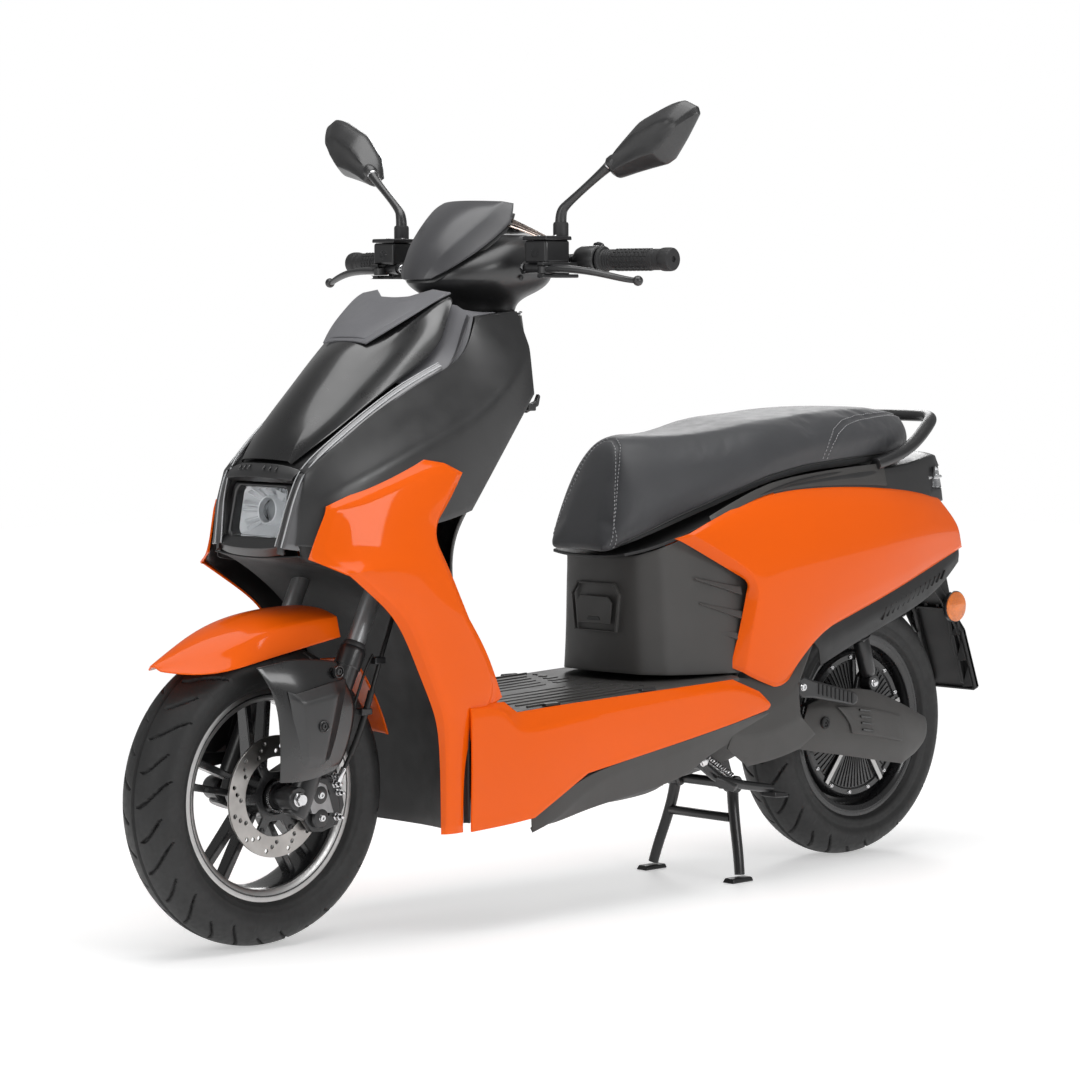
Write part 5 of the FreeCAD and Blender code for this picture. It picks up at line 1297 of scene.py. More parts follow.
def front_cowl():
    for word, sign in SIDES:
        panel(f"front_cowl_{word}", sided(COWL, sign), "chassis", "satin", (0, sign, 0.4),
              ["front_cowl"], 4.0, 3, {8: 0.6}, {2: 0.42, 4: 0.62},
              [(0, 0), (0, 5), (8, 0), (8, 1), (8, 5), (6, 0), (7, 4), (7, 5), (8, 4)], 1.3)
        pocket = [
            [(331, 116, 979), (353, 100, 996), (374, 70, 1001), (378, 30, 1001)],
            [(347, 119, 924), (368, 100, 944), (386, 70, 950), (392, 30, 952)],
            [(384, 120, 896), (400, 100, 906), (410, 70, 912), (416, 30, 914)],
            [(460, 118, 870), (470, 96, 874), (478, 60, 878), (484, 30, 880)],
        ]
        panel(f"cowl_pocket_{word}", sided(pocket, sign), "chassis", "cap", (0.5, 0, 0.5),
              (), 2.0,
              2, {0: 0.8}, {1: 0.6}, [(0, 0), (0, 1), (3, 0), (0, 3), (3, 3)], 0.6)
        fin = [
            [(394, 119, 896), (390, 116, 897), (386, 112, 899)],
            [(370, 119, 916), (366, 112, 920), (362, 104, 926)],
            [(356, 118, 950), (352, 110, 954), (349, 103, 960)],
            [(340, 117, 978), (340, 110, 982), (341, 104, 987)],
        ]
        panel(f"cowl_fin_{word}", sided(fin, sign), "chassis", "screen", (0.6, 0, 1), (),
              2.2, 2, None,
              {1: 0.8}, [(0, 0), (3, 0), (0, 2), (3, 2)], 0.6)
    tray = [
        [(664, 82, 742), (668, 40, 744), (668, 0, 744)],
        [(600, 99, 788), (604, 50, 792), (604, 0, 792)],
        [(530, 106, 830), (540, 50, 838), (540, 0, 840)],
        [(450, 110, 866), (462, 50, 880), (462, 0, 884)],
        [(384, 110, 886), (404, 50, 918), (404, 0, 922)],
        [(346, 108, 922), (366, 50, 968), (366, 0, 970)],
        [(328, 106, 978), (348, 50, 978), (348, 0, 978)],
    ]
    panel("cowl_tray", full(tray), "chassis", "dark_grained", (1, 0, 1), (), 2.5, 2, None,
          None,
          [(0, 0), (6, 0), (0, 4), (6, 4)], 0)
    ledge = [
        [(331, 116, 979), (354, 98, 996), (375, 50, 1001), (379, 0, 1001)],
        [(280, 112, 985), (304, 78, 985), (326, 36, 985), (331, 0, 985)],
    ]
    panel("cowl_ledge", full(ledge), "chassis", "cap", (0, 0, 1), (), 2.5, 1, None, None,
          [(0, 0), (0, 6),
          (1, 0), (1, 6), (0, 1), (0, 5)], 0.5)
    deck = []
    for k in range(24):
        a = math.radians(90 + 180 * k / 23)
        deck.append([(232 + 87 * math.cos(a), 87 * math.sin(a), 984),
                     (115 + 112 * abs(math.sin(a)), 114 * math.sin(a), 983)])
    panel("cowl_deck", deck, "chassis", "satin", (0, 0, 1), (), 2.5, 1, None, None,
          [(0, 0), (0, 1),
          (23, 0), (23, 1)], 0.5)


HOOD = [
    [(664, 60, 751), (665, 59, 753), (666, 55, 756), (673, 30, 758), (676, 0, 759)],
    [(630, 74, 778), (638, 68, 783), (647, 55, 788), (656, 30, 793), (659, 0, 795)],
    [(594, 85, 803), (600, 76, 820), (604, 55, 831), (614, 30, 840), (618, 0, 844)],
    [(550, 90, 831), (556, 81, 856), (562, 56, 872), (571, 30, 882), (575, 0, 887)],
    [(508, 95, 858), (514, 87, 888), (517, 63, 911), (528, 32, 922), (532, 0, 927)],
    [(450, 100, 893), (452, 94, 931), (460, 78, 951), (476, 38, 954), (480, 0, 954)],
    [(404, 104, 923), (404, 100, 962), (414, 91, 985), (430, 45, 982), (436, 0, 980)],
    [(388, 105, 946), (386, 103, 982), (390, 100, 1001), (408, 50, 996), (412, 0, 992)],
    [(366, 105, 1003), (367, 104, 1007), (370, 102, 1009), (386, 52, 1002), (392, 0, 999)],
]
CAP = [
    [(502, 51, 933), (503, 38, 935), (504, 20, 937), (505, 0, 937)],
    [(464, 75, 960), (468, 54, 962), (471, 27, 962), (472, 0, 961)],
    [(418, 92, 988), (422, 66, 989), (425, 32, 987), (426, 0, 985)],
    [(390, 101, 1005), (392, 70, 1007), (408, 33, 999), (410, 0, 997)],
    [(369, 105, 1013), (372, 66, 1018), (393, 33, 1007), (394, 0, 1005)],
]


def lifted(rows, x, z, shrink=1.0, middle=(430, 0, 975)):
    mid = Vector(middle)
    return [[tuple(mid + (Vector(p) - mid) * shrink + Vector((x, 0, z))) for p in row] for row in rows]


def nose():
    panel("nose_hood_shell", full(HOOD), "chassis", "gloss", (1, 0, 1), ["nose_hood"], 3.0,
          3,
          {0: 0.4}, {2: 0.55, 6: 0.55}, [(0, 0), (0, 8), (8, 0), (8, 8), (7, 0), (7, 8)], 1.1)
    panel("nose_cap_shell", full(lifted(CAP, 1.0, 3.4)), "chassis", "cap", (0.5, 0, 1),
          ["nose_cap"], 3.0,
          3, None, None, [(0, 0), (0, 6), (4, 0), (4, 6), (4, 1), (4, 2), (4, 4), (4, 5)], 1.4)
    inner = [[(496, 43, 938), (498, 30, 940), (499, 15, 941), (499, 0, 941)],
             [(462, 64, 962), (466, 46, 964), (469, 22, 964), (470, 0, 963)],
             [(420, 80, 986), (423, 58, 988), (426, 28, 987), (427, 0, 985)],
             [(396, 88, 999), (398, 66, 1001), (412, 34, 997), (414, 0, 995)]]
    panel("nose_cap_pad", full(lifted(inner, 1.4, 5.4)), "chassis", "cap", (0.5, 0, 1), (), 2.0, 3,
          None,
          None, [(0, 0), (0, 6), (3, 0), (3, 6)], 0.9)


STRIP = [
    [(684, 101, 620), (701, 88, 623), (701, 66, 626)], [(676, 103, 664), (691, 93, 665), (692, 73, 667)],
    [(667, 104, 702), (681, 97, 703), (683, 79, 704)], [(652, 105, 736), (662, 99, 741), (665, 84, 747)],
    [(604, 112, 780), (606, 109, 786), (608, 97, 793)],
    [(539, 119, 827), (540, 117, 831), (541, 107, 839)],
    [(470, 124, 868), (470, 122, 871), (471, 113, 879)],
    [(408, 127, 894), (407, 126, 897), (408, 118, 905)],
]


def rounded_box(half_y, half_z, middle_z, x_low, x_high, corner, count=8):
    """Ring of points round a rounded rectangle that leans back at the top."""
    ring = []
    for cy, cz, start in ((1, 1, 0), (-1, 1, 90), (-1, -1, 180), (1, -1, 270)):
        for k in range(count):
            a = math.radians(start + 90 * k / (count - 1))
            y = cy * (half_y - corner) + corner * math.cos(a)
            z = cz * (half_z - corner) + corner * math.sin(a)
            share = (z + half_z) / (2 * half_z)
            ring.append((x_low + (x_high - x_low) * share, y, middle_z + z))
    return ring


def headlight():
    rings = [rounded_box(76, 50, 672, 640, 634, 10), rounded_box(75, 49, 672, 684, 662, 10),
             rounded_box(72, 47, 673, 691, 670, 10), rounded_box(63, 41, 676, 690, 672, 12),
             rounded_box(60, 38, 676, 686, 669, 11), rounded_box(58, 37, 676, 668, 655, 11)]
    tube_piece("headlight_bezel", rings, "chassis", "satin", ["headlight_housing"], 1,
               False, 0.6)
    bowl = []
    for grow, x in ((1.0, 668), (0.86, 660), (0.62, 648), (0.42, 641)):
        bowl.append(rounded_box(57 * grow, 36 * grow, 676, x + 3, x - 9, 10 * grow))
    tube_piece("headlight_reflector", bowl, "chassis", "reflector", (), 1, False, 0)
    rays = []
    for k in range(14):
        a = math.radians(-38 + 256 * k / 13 + (0 if k % 2 else 6))
        c, s = math.cos(a), math.sin(a)
        near, far = (24 * c, 24 * s * 0.8), (55 * c, 35 * max(min(s * 1.25, 1), -1))
        tang = (-s, c)
        low = [(646, near[0] + tang[0] * 2, 676 + near[1] + tang[1] * 2),
               (650, near[0], 676 + near[1]), (646, near[0] - tang[0] * 2, 676 + near[1] - tang[1] * 2)]
        high = [(661, far[0] + tang[0] * 5, 676 + far[1] + tang[1] * 5), (667, far[0], 676 + far[1]),
                (661, far[0] - tang[0] * 5, 676 + far[1] - tang[1] * 5)]
        rays.append((low, high))
    blocks("headlight_rays", rays, "chassis", "reflector", (), 0.4, 1)
    shroud = [(0, 19.5), (0, 25), (12, 24), (20, 22.4), (21, 21), (20, 19.5)]
    lathe("headlight_projector_ring", [shroud], (642, 0, 676), (1, 0, 0.1), "chassis", "reflector",
          (), 56)
    dome = [(0, 0), (0, 19.4), (6, 19.0), (12, 16.6), (16.5, 12.2), (19.2, 6.4), (20, 0)]
    lathe("headlight_projector", [dome], (642, 0, 676), (1, 0, 0.1), "chassis", "clear", (),
          56)
    back = [(0, 0), (0, 18.6), (1.5, 18.6), (1.5, 0)]
    lathe("headlight_shutter", [back], (640.5, 0, 676), (1, 0, 0.1), "chassis", "glow", (), 40)
    glass = [rounded_box(60.5, 38.4, 676, 688.5, 671.5, 11.5), rounded_box(40, 25, 676, 689, 675.5, 8)]
    ring = rounded_box(60.5, 38.4, 676, 686.0, 669.0, 11.5)
    tube_piece("headlight_lens", [ring, glass[0], glass[1]], "chassis", "clear",
               ["front_lenses"], 1)
    brow = [
        [(664, 84, 742), (668, 62, 748), (674, 30, 752), (676, 0, 752)],
        [(675, 80, 735), (680, 60, 738), (686, 30, 741), (688, 0, 741)],
        [(679, 78, 727), (684, 60, 729), (690, 30, 731), (692, 0, 731)],
        [(668, 76, 721), (672, 60, 722), (678, 30, 723), (680, 0, 723)],
    ]
    panel("headlight_brow", full(brow), "chassis", "satin", (1, 0, 0.6), (), 3.0, 3,
          {2: 0.5}, None,
          [(0, 0), (0, 6), (3, 0), (3, 6)], 0.8)
    slits = []
    for k in range(3):
        for sign in (1, -1):
            y = sign * (18 + 13 * k)
            slits.append(([(677 - k, y - 3, 748.5 - k), (688 - k * 1.6, y + 1, 742.2 - k),
                           (688 - k * 1.6, y + 3.4, 742.2 - k), (677 - k, y - 0.6, 748.5 - k)],
                          [(678 - k, y - 3, 750.6 - k), (689 - k * 1.6, y + 1, 744 - k),
                           (689 - k * 1.6, y + 3.4, 744 - k), (678 - k, y - 0.6, 750.6 - k)]))
    blocks("headlight_slits", slits, "chassis", "gloss", (), 0.4, 1)
    chin = [
        [(690, 72, 638), (694, 50, 637), (697, 0, 636)],
        [(700, 74, 626), (704, 50, 622), (706, 0, 620)],
        [(690, 76, 614), (694, 52, 609), (696, 0, 607)],
    ]
    panel("headlight_chin", full(chin), "chassis", "satin", (1, 0, -0.2), (), 3.0, 3,
          {1: 0.6}, None,
          [(0, 0), (0, 4), (2, 0), (2, 4)], 0.8)
    for word, sign in SIDES:
        cheek = [
            [(662, 78, 730), (668, 84, 738)],
            [(682, 78, 704), (685, 84, 706)],
            [(694, 72, 660), (696, 78, 662)],
            [(703, 70, 618), (705, 74, 614)],
        ]
        panel(f"headlight_cheek_{word}", sided(cheek, sign), "chassis", "satin", (1, 0, 0),
              (), 12.0,
              2, None, None, [(0, 0), (0, 1), (3, 0), (3, 1)], 1.0)
        strip = sided(STRIP, sign)
        panel(f"light_strip_{word}", strip, "chassis", "strip", (1, sign, 1), (), 3.0, 2,
              None,
              {1: 0.6}, [(0, 0), (0, 1), (0, 2), (7, 0), (7, 2)], 0.6)
        guide = [Vector(row[1]) * 0.62 + Vector(row[2]) * 0.38 + Vector((0.6, sign * 0.4,
                                                                         0.6)) for row in strip]
        bar(f"light_guide_{word}", guide, 1.2, "chassis", "glow", (), 3, 8, 12)
        edge = [(row[2][0] + 0.6, row[2][1] - sign * 0.6, row[2][2] + 0.3) for row in strip]
        bar(f"light_trim_{word}", edge, 1.0, "chassis", "glow", (), 3, 8, 12)


APRON = [
    [(656, 140, 689), (610, 148, 707), (545, 158, 732), (478, 166, 756), (442, 173, 750)],
    [(661, 140, 674), (613, 157, 690), (546, 169, 711), (472, 177, 733), (408, 179, 734)],
    [(671, 134, 646), (622, 163, 656), (552, 177, 670), (482, 181, 686), (434, 179, 692)],
    [(683, 128, 608), (634, 166, 621), (564, 181, 632), (504, 180, 642), (468, 174, 645)],
    [(653, 184, 588), (612, 190, 592), (556, 194, 592), (498, 193, 584), (436, 187, 570)],
    [(592, 175, 548), (560, 188, 548), (520, 194, 546), (472, 194, 540), (420, 189, 536)],
    [(533, 168, 507), (512, 184, 507), (480, 193, 506), (442, 193, 505), (404, 190, 504)],
    [(490, 167, 420), (475, 182, 420), (444, 189, 424), (402, 188, 436), (358, 185, 446)],
    [(462, 168, 366), (446, 181, 367), (420, 186, 370), (376, 184, 372), (324, 180, 374)],
    [(448, 169, 321), (440, 176, 321), (430, 179, 321), (418, 179, 321), (405, 177, 321)],
    [(447, 170, 165), (441, 175, 165), (430, 178, 165), (418, 178, 165), (405, 176, 165)],
]
SILL = [
    [(403, 176, 366), (403, 187, 362), (403, 191, 300), (403, 188, 167)],
    [(352, 176, 367), (352, 188, 360), (346, 191, 292), (336, 188, 170)],
    [(320, 175, 366), (322, 188, 348), (304, 191, 284), (296, 188, 173)],
    [(290, 173, 347), (302, 189, 316), (276, 191, 268), (264, 187.5, 176)],
    [(226, 173, 350), (232, 191, 321), (216, 191.5, 276), (204, 187.5, 206)],
    [(143, 173, 353), (143, 191.5, 330), (143, 191, 290), (143, 187, 237)],
    [(0, 173, 357), (0, 191, 340), (0, 190, 305), (0, 186.5, 258)],
    [(-140, 172, 361), (-140, 189.5, 348), (-140, 188.5, 318), (-140, 186, 279)],
    [(-218, 171, 363), (-228, 185, 351), (-225, 186, 325), (-223, 184, 293)],
    [(-284, 172, 338), (-306, 176, 318), (-310, 176.5, 312), (-304, 174, 305)],
]


def painted_sides():
    apron_pins = [(0, 0), (0, 3), (1, 4), (3, 0), (3, 4), (4, 0), (8, 4), (9, 4), (10, 0), (10, 4), (6, 4)]
    sill_pins = [(0, 0), (0, 1), (0, 3), (2, 0), (3, 0), (3, 3), (9, 0), (9, 3), (5, 3), (8, 3), (8, 0)]
    for word, sign in SIDES:
        folds = {1: 0.85, len(APRON): 0.85, 2: 0.3, 5: 0.5}
        inside = sided(lining(APRON, 9.0, 11.0), sign)
        panel(f"apron_{word}_lining", inside, "chassis", "dark_grained", (0, -sign, 0), (), 1.5, 3,
              None, None,
              apron_pins, 0)
        panel(f"apron_{word}_panel", sided(rimmed(APRON, 6.0, 15.0), sign), "chassis", "orange",
              (0, sign, 0),
              [f"apron_{word}"], 3.0, 3, folds, {1: 0.85, 5: 0.85, 2: 0.2},
              rim_pins(apron_pins, len(APRON), 5), 1.2)
        panel(f"sill_{word}_panel", sided(SILL, sign), "chassis", "orange", (0, sign, 0.2),
              ["sill_panels"], 3.0, 3, None, {1: 0.7}, sill_pins, 1.3)
        # Painted shade: a sheet darker than the plastic round it lies at the bottom of the groove between
        # apron and sill, so the groove reads as a shadow line.
        groove = [
            [(406, 176, 360), (404, 178, 360), (402, 181, 360)],
            [(405, 170, 300), (403, 171, 300), (401, 180, 300)],
            [(405, 172, 180), (403, 173, 180), (401, 180, 180)],
        ]
        panel(f"apron_groove_shade_{word}", sided(groove, sign), "chassis", "dark_grained", (0, sign, 0),
              (),
              2.0, 1, None, None, [(0, 0), (0, 2), (2, 0), (2, 2)], 0)


SHIELD = [
    [(229, 117, 980), (206, 94, 980), (168, 57, 980), (112, 0, 980)],
    [(227, 139, 880), (206, 119, 880), (160, 72, 880), (112, 0, 880)],
    [(272, 146, 800), (250, 126, 800), (204, 78, 798), (142, 0, 796)],
    [(334, 147, 720), (314, 130, 716), (272, 84, 712), (206, 0, 710)],
    [(412, 147, 640), (396, 132, 636), (358, 92, 632), (272, 0, 630)],
    [(418, 157, 540), (400, 140, 538), (362, 98, 536), (312, 0, 535)],
    [(384, 165, 450), (364, 146, 448), (324, 100, 446), (302, 0, 446)],
    [(322, 164, 372), (310, 146, 371), (300, 100, 370), (296, 0, 370)],
]


def inner_shield():
    panel("leg_shield_inner", full(SHIELD), "chassis", "grained", (-1, 0, 0.2),
          ["leg_shield"], 3.0, 3,
          None, {2: 0.35, 4: 0.35}, [(0, 0), (0, 6), (7, 0), (7, 6)], 1.0)
    knob = [(0, 0), (0, 15), (3, 15.4), (4, 14), (12, 13), (15, 12), (16, 10), (16, 0)]
    lathe("ignition_knob_body", [knob], (114.5, -34, 890), (-1, 0, 0), "knob", "rubber",
          ["ignition_knob"], 48)
    blocks("ignition_knob_grip", [extrusion([(-46, 886), (-22, 886), (-22, 894), (-46, 894)], 96.5, 99.5,
                                            "x")],
           "knob", "satin", (), 1.4, 2)
    ring = [(0, 15.8), (0, 20), (2.4, 20), (3.4, 19), (3.4, 15.8)]
    lathe("ignition_bezel", [ring], (117.5, -34, 890), (-1, 0, 0), "chassis", "frame", (), 48)
    blocks("bag_hook", [extrusion([(128, 830), (104, 838), (98, 850), (94, 846), (98, 830), (126, 818)],
                                  18, 26),
                        extrusion([(128, 834), (110, 834), (110, 822), (128, 822)], 12, 32)], "chassis",
                        "satin",
           (), 2.0, 3)
    liner = [
        [(686, 100, 610), (692, 50, 606), (694, 0, 604)],
        [(640, 118, 600), (600, 60, 590), (590, 0, 588)],
        [(560, 140, 560), (520, 70, 570), (512, 0, 572)],
        [(480, 150, 500), (430, 80, 520), (420, 0, 522)],
        [(430, 158, 400), (396, 80, 400), (390, 0, 400)],
        [(428, 160, 300), (396, 80, 300), (390, 0, 300)],
        [(428, 160, 170), (396, 80, 166), (390, 0, 165)],
    ]
    for word, sign in SIDES:
        curtain = [
            [(684, 100, 634), (652, 134, 632), (606, 150, 638), (540, 156, 648)],
            [(678, 100, 602), (648, 128, 596), (602, 140, 590), (536, 146, 580)],
        ]
        panel(f"front_curtain_{word}", sided(curtain, sign), "chassis", "dark_grained", (0, -sign, 0),
              (), 2.0,
              2, None, None, [(0, 0), (0, 3), (1, 0), (1, 3)], 0)
    panel("front_liner", full(liner), "chassis", "dark_grained", (1, 0, -0.2), (), 3.0, 3,
          None,
          None, [(0, 0), (0, 4), (6, 0), (6, 4)], 0.6)


# ---------------------------------------------------------------- floor, pillar and belly
def floor_board():
    rows = []
    for x, half, rise in ((318, 172, 0), (300, 172.4, 0.6), (210, 172.6, 4), (120, 172.6, 6),
                          (28, 172.6, 9),
                          (-64, 172.4, 12), (-150, 172, 15), (-236, 170, 17)):
        z = 345 + rise * 1.25
        rows.append([(x, half, z - 7), (x, half, z - 1), (x, half - 8, z + 1.6), (x, 60, z + 2.6),
                     (x, 0, z + 2.6)])
    panel("footboard_panel", full(rows), "chassis", "grained", (0, 0, 1), ["footboard"],
          3.0, 2,
          None, {1: 0.5, 2: 0.5, 6: 0.5, 7: 0.5}, [(0, 0), (0, 8), (7, 0), (7, 8)], 0.5)
    ridges = []

    def top(x):
        return float(np.interp(x, [row[0][0] for row in rows[::-1]], [row[4][2] for row in rows[::-1]]))

    def ridge(outline, high=1.3):
        low = [(x, y, top(x) - 1.5) for x, y in outline]
        lid = [(x, y, top(x) + high) for x, y in outline]
        ridges.append((low, lid))

    for sign in (1, -1):
        for k in range(5):
            y = sign * (24 + 26 * k)
            ridge([(40 - 14 * k, y - 5), (270 - 6 * k, y - 5), (276 - 6 * k, y), (270 - 6 * k, y + 5),
                   (40 - 14 * k, y + 5), (34 - 14 * k, y)])
        for k in range(5):
            y = sign * (24 + 26 * k)
            ridge([(-40, y - 5), (14 - 14 * k, y - 5), (8 - 14 * k, y), (14 - 14 * k, y + 5), (-40, y + 5),
                   (-46, y)])
        ridge([(-46, sign * 152), (250, sign * 152), (250, sign * 156), (-46, sign * 156)], 1.8)
    blocks("footboard_ridges", ridges, "chassis", "grained", (), 0.6, 2)
    clips = []
    for x in (-16, 206):
        z = top(x) - 1
        clips.append(([(x - 17, 160, z - 1), (x + 17, 160, z - 1), (x + 17, 171, z - 1),
                       (x - 17, 171, z - 1)],
                      [(x - 16, 161, z + 3.6), (x + 16, 161, z + 3.6), (x + 16, 170, z + 3.2),
                       (x - 16, 170, z + 3.2)]))
    clips += [([(x, -y, z) for x, y, z in low], [(x, -y, z) for x, y, z in high]) for low, high in clips]
    blocks("footboard_clips", clips, "chassis", "satin", (), 1.2, 2)


BELLY = [
    [(396, 168, 330), (398, 170, 215), (384, 120, 166), (382, 0, 162)],
    [(330, 170, 322), (330, 174, 205), (330, 128, 161), (330, 0, 158)],
    [(262, 172, 316), (262, 176, 188), (262, 128, 160), (262, 0, 158)],
    [(140, 172, 326), (140, 176, 236), (140, 130, 160), (140, 0, 158)],
    [(60, 172, 330), (60, 176, 252), (60, 132, 160), (60, 0, 158)],
    [(-30, 172, 334), (-30, 175, 262), (-30, 132, 160), (-30, 0, 158)],
    [(-110, 172, 338), (-112, 174, 274), (-112, 122, 168), (-112, 0, 160)],
    [(-150, 172, 339), (-148, 174, 288), (-148, 108, 196), (-148, 0, 164)],
    [(-224, 170, 340), (-224, 174, 284), (-224, 106, 196), (-224, 0, 168)],
    [(-290, 168, 334), (-300, 171, 276), (-290, 108, 206), (-290, 0, 196)],
]


def belly():
    panel("belly_shell", full(BELLY), "chassis", "grained", (0, 0, -1), ["belly_pan"],
          3.0, 3,
          {2: 0.3, 6: 0.3, 7: 0.3}, {1: 0.5, 5: 0.5}, [(0, 0), (0, 6), (9, 0), (9, 6), (0, 1), (0, 5)],
          0.8)
    for word, sign in SIDES:
        cheek = [
            [(262, 178, 176), (262, 180, 150), (262, 174, 158)],
            [(206, 187, 206), (206, 184, 168), (206, 176, 160)],
            [(143, 186.5, 236), (143, 186, 214), (143, 177, 176)],
            [(30, 186, 254), (30, 184, 240), (30, 176, 190)],
            [(-84, 185.5, 270), (-96, 184, 250), (-100, 176, 206)],
            [(-130, 185, 277), (-140, 183, 268), (-146, 176, 238)],
            [(-222, 184, 292), (-222, 182, 284), (-222, 175, 260)],
            [(-304, 174, 304), (-306, 175, 300), (-306, 171, 284)],
        ]
        panel(f"belly_cheek_{word}", sided(cheek, sign), "chassis", "grained", (0, sign, -0.3),
              (),
              2.5, 3, None, {1: 0.5}, [(0, 0), (0, 2), (7, 0), (7, 2)], 0.8)
        rear = [
            [(-236, 158, 364), (-230, 174, 314), (-212, 178, 272), (-201, 176, 246)],
            [(-290, 156, 358), (-286, 174, 310), (-250, 179, 262), (-253, 174, 212)],
            [(-352, 154, 352), (-346, 172, 310), (-326, 178, 266), (-326, 172, 217)],
            [(-440, 150, 408), (-386, 168, 344), (-384, 175, 286), (-390, 170, 230)],
            [(-446, 149, 404), (-390, 167, 342), (-388, 174, 288), (-434, 168, 252)],
        ]
        panel(f"belly_flank_{word}", sided(rear, sign), "chassis", "grained", (0, sign, 0),
              (), 2.5,
              3, None, {1: 0.5, 2: 0.5}, [(0, 0), (0, 3), (1, 3), (3, 0), (3, 3), (4, 0), (4, 3), (4, 2),
                                          (4, 1)], 0.8)
        trim = [
            [(-190, 148, 630), (-192, 140, 640)], [(-262, 149, 655), (-264, 141, 668)],
            [(-345, 147, 679), (-345, 141, 694)], [(-450, 145, 682), (-450, 140, 705)],
            [(-555, 143, 682), (-555, 136, 712)],
            [(-655, 139, 676), (-655, 130, 716)],
        ]
        panel(f"seat_trim_{word}", sided(trim, sign), "chassis", "grained", (0, sign, 0.4),
              (), 2.5,
              2, None, None, [(0, 0), (0, 1), (5, 0), (5, 1)], 0.6)


PILLAR = [
    [(-352, 149, 668), (-290, 148, 652), (-215, 146, 630), (-148, 130, 604), (-104, 110, 588),
     (-74, 84, 576),
     (-65, 50, 573), (-62, 0, 572)],
    [(-346, 150, 600), (-290, 151, 590), (-220, 149, 570), (-150, 132, 548), (-104, 114, 540),
     (-76, 84, 534),
     (-65, 50, 532), (-62, 0, 532)],
    [(-340, 150, 520), (-290, 152, 512), (-224, 150, 500), (-152, 136, 492), (-106, 117, 490),
     (-76, 86, 486),
     (-66, 52, 484), (-62, 0, 482)],
    [(-335, 150, 446), (-290, 152, 440), (-228, 151, 436), (-154, 138, 432), (-108, 120, 430),
     (-76, 88, 428),
     (-66, 54, 428), (-61, 0, 428)],
    [(-330, 150, 372), (-290, 152, 371), (-232, 151, 371), (-158, 142, 373), (-110, 124, 374),
     (-75, 92, 375),
     (-65, 56, 376), (-59, 0, 376)],
]


def pillar():
    panel("seat_pillar_shell", full(PILLAR), "chassis", "grained", (1, 0, 0),
          ["seat_pillar"], 3.0,
          3, None, {2: 0.45, 4: 0.5, 5: 0.35, 9: 0.35, 10: 0.5, 12: 0.45},
          [(0, 0), (0, 14), (4, 0), (4, 14)], 0.8)
    recess = [(-50, 444), (50, 444), (58, 508), (44, 528), (-44, 528), (-58, 508)]
    inner = [(y * 0.93, 486 + (z - 486) * 0.93) for y, z in recess]
    ring = []
    for k in range(len(recess)):
        n = (k + 1) % len(recess)
        (ya, za), (yb, zb), (yc, zc), (yd, zd) = recess[k], recess[n], inner[n], inner[k]
        ring.append(([(-64, ya, za), (-64, yb, zb), (-64, yc, zc), (-64, yd, zd)],
                     [(-58.2, ya, za), (-58.2, yb, zb), (-57.4, yc, zc), (-57.4, yd, zd)]))
    blocks("pillar_frame", ring, "chassis", "grained", (), 0.6, 2)
    flap = [(-38, 458), (38, 458), (42, 494), (32, 505), (-32, 505), (-42, 494)]
    low, high = extrusion(flap, -59.4, -55.6, "x")
    blocks("charge_flap_lid", [(low, high)], "flap", "grained", ["charge_flap"], 1.2, 3)
    tab = extrusion([(-16, 464), (16, 464), (12, 470), (-12, 470)], -55.9, -54.6, "x")
    blocks("charge_flap_tab", [tab], "flap", "dark_grained", (), 0.5, 2)
    fins = []
    for sign in (1, -1):
        for k, (x, z) in enumerate(((-158, 538), (-168, 496), (-180, 456))):
            length = 96 - 6 * k
            a = [(x, sign * 139, z - 1), (x, sign * 139, z - 4), (x - length, sign * 148, z - 34),
                 (x - length, sign * 148, z - 20)]
            b = [(x, sign * 141, z - 1), (x, sign * 141, z - 4), (x - length, sign * 160, z - 34),
                 (x - length, sign * 157, z - 20)]
            fins.append((a, b))
    blocks("pillar_fins", fins, "chassis", "grained", (), 1.6, 3)
    lip = [[(-44, 86, 576), (-40, 60, 572), (-38, 0, 570)],
           [(-70, 92, 580), (-66, 60, 576), (-64, 0, 574)],
           [(-112, 118, 592), (-108, 60, 588), (-108, 0, 588)],
           [(-215, 144, 632), (-215, 70, 636), (-215, 0, 636)],
           [(-345, 148, 682), (-345, 80, 684), (-345, 0, 684)],
           [(-490, 142, 700), (-490, 80, 700), (-490, 0, 700)],
           [(-640, 130, 704), (-640, 80, 704), (-640, 0, 704)],
           [(-800, 84, 712), (-800, 50, 714), (-800, 0, 714)]]
    panel("seat_pan", full(lip), "seat", "dark_grained", (0, 0, -1), ["seat_base"], 5.0, 2,
          None,
          None, [(0, 0), (0, 4), (7, 0), (7, 4)], 0.8)


# ---------------------------------------------------------------- seat
SEAT = [
    (-15, 60, 66, 58, 580, 590), (-22, 67, 69, 58, 579, 608), (-32, 74, 75, 56, 581, 634),
    (-44, 81, 80, 53, 585, 667),
    (-56, 87, 85, 48, 590, 698), (-68, 93, 89, 42, 594, 729), (-80, 98, 92, 38, 598, 755),
    (-96, 104, 97, 38, 604, 768),
    (-124, 112, 104, 50, 615, 773), (-170, 124, 116, 68, 634, 772), (-220, 135, 130, 86, 652, 773),
    (-290, 145, 141, 102, 676, 781), (-343, 148, 145, 110, 692, 792), (-400, 147, 145, 112, 702, 799),
    (-445, 145, 143, 112, 708, 801), (-485, 144, 142, 112, 712, 804), (-520, 142, 140, 112, 714, 808),
    (-607, 132, 131, 104, 717, 812), (-690, 118, 117, 92, 722, 810), (-745, 104, 103, 78, 728, 806),
    (-780, 86, 85, 60, 736, 797), (-802, 60, 60, 38, 744, 782), (-808, 36, 36, 22, 752, 772),
]


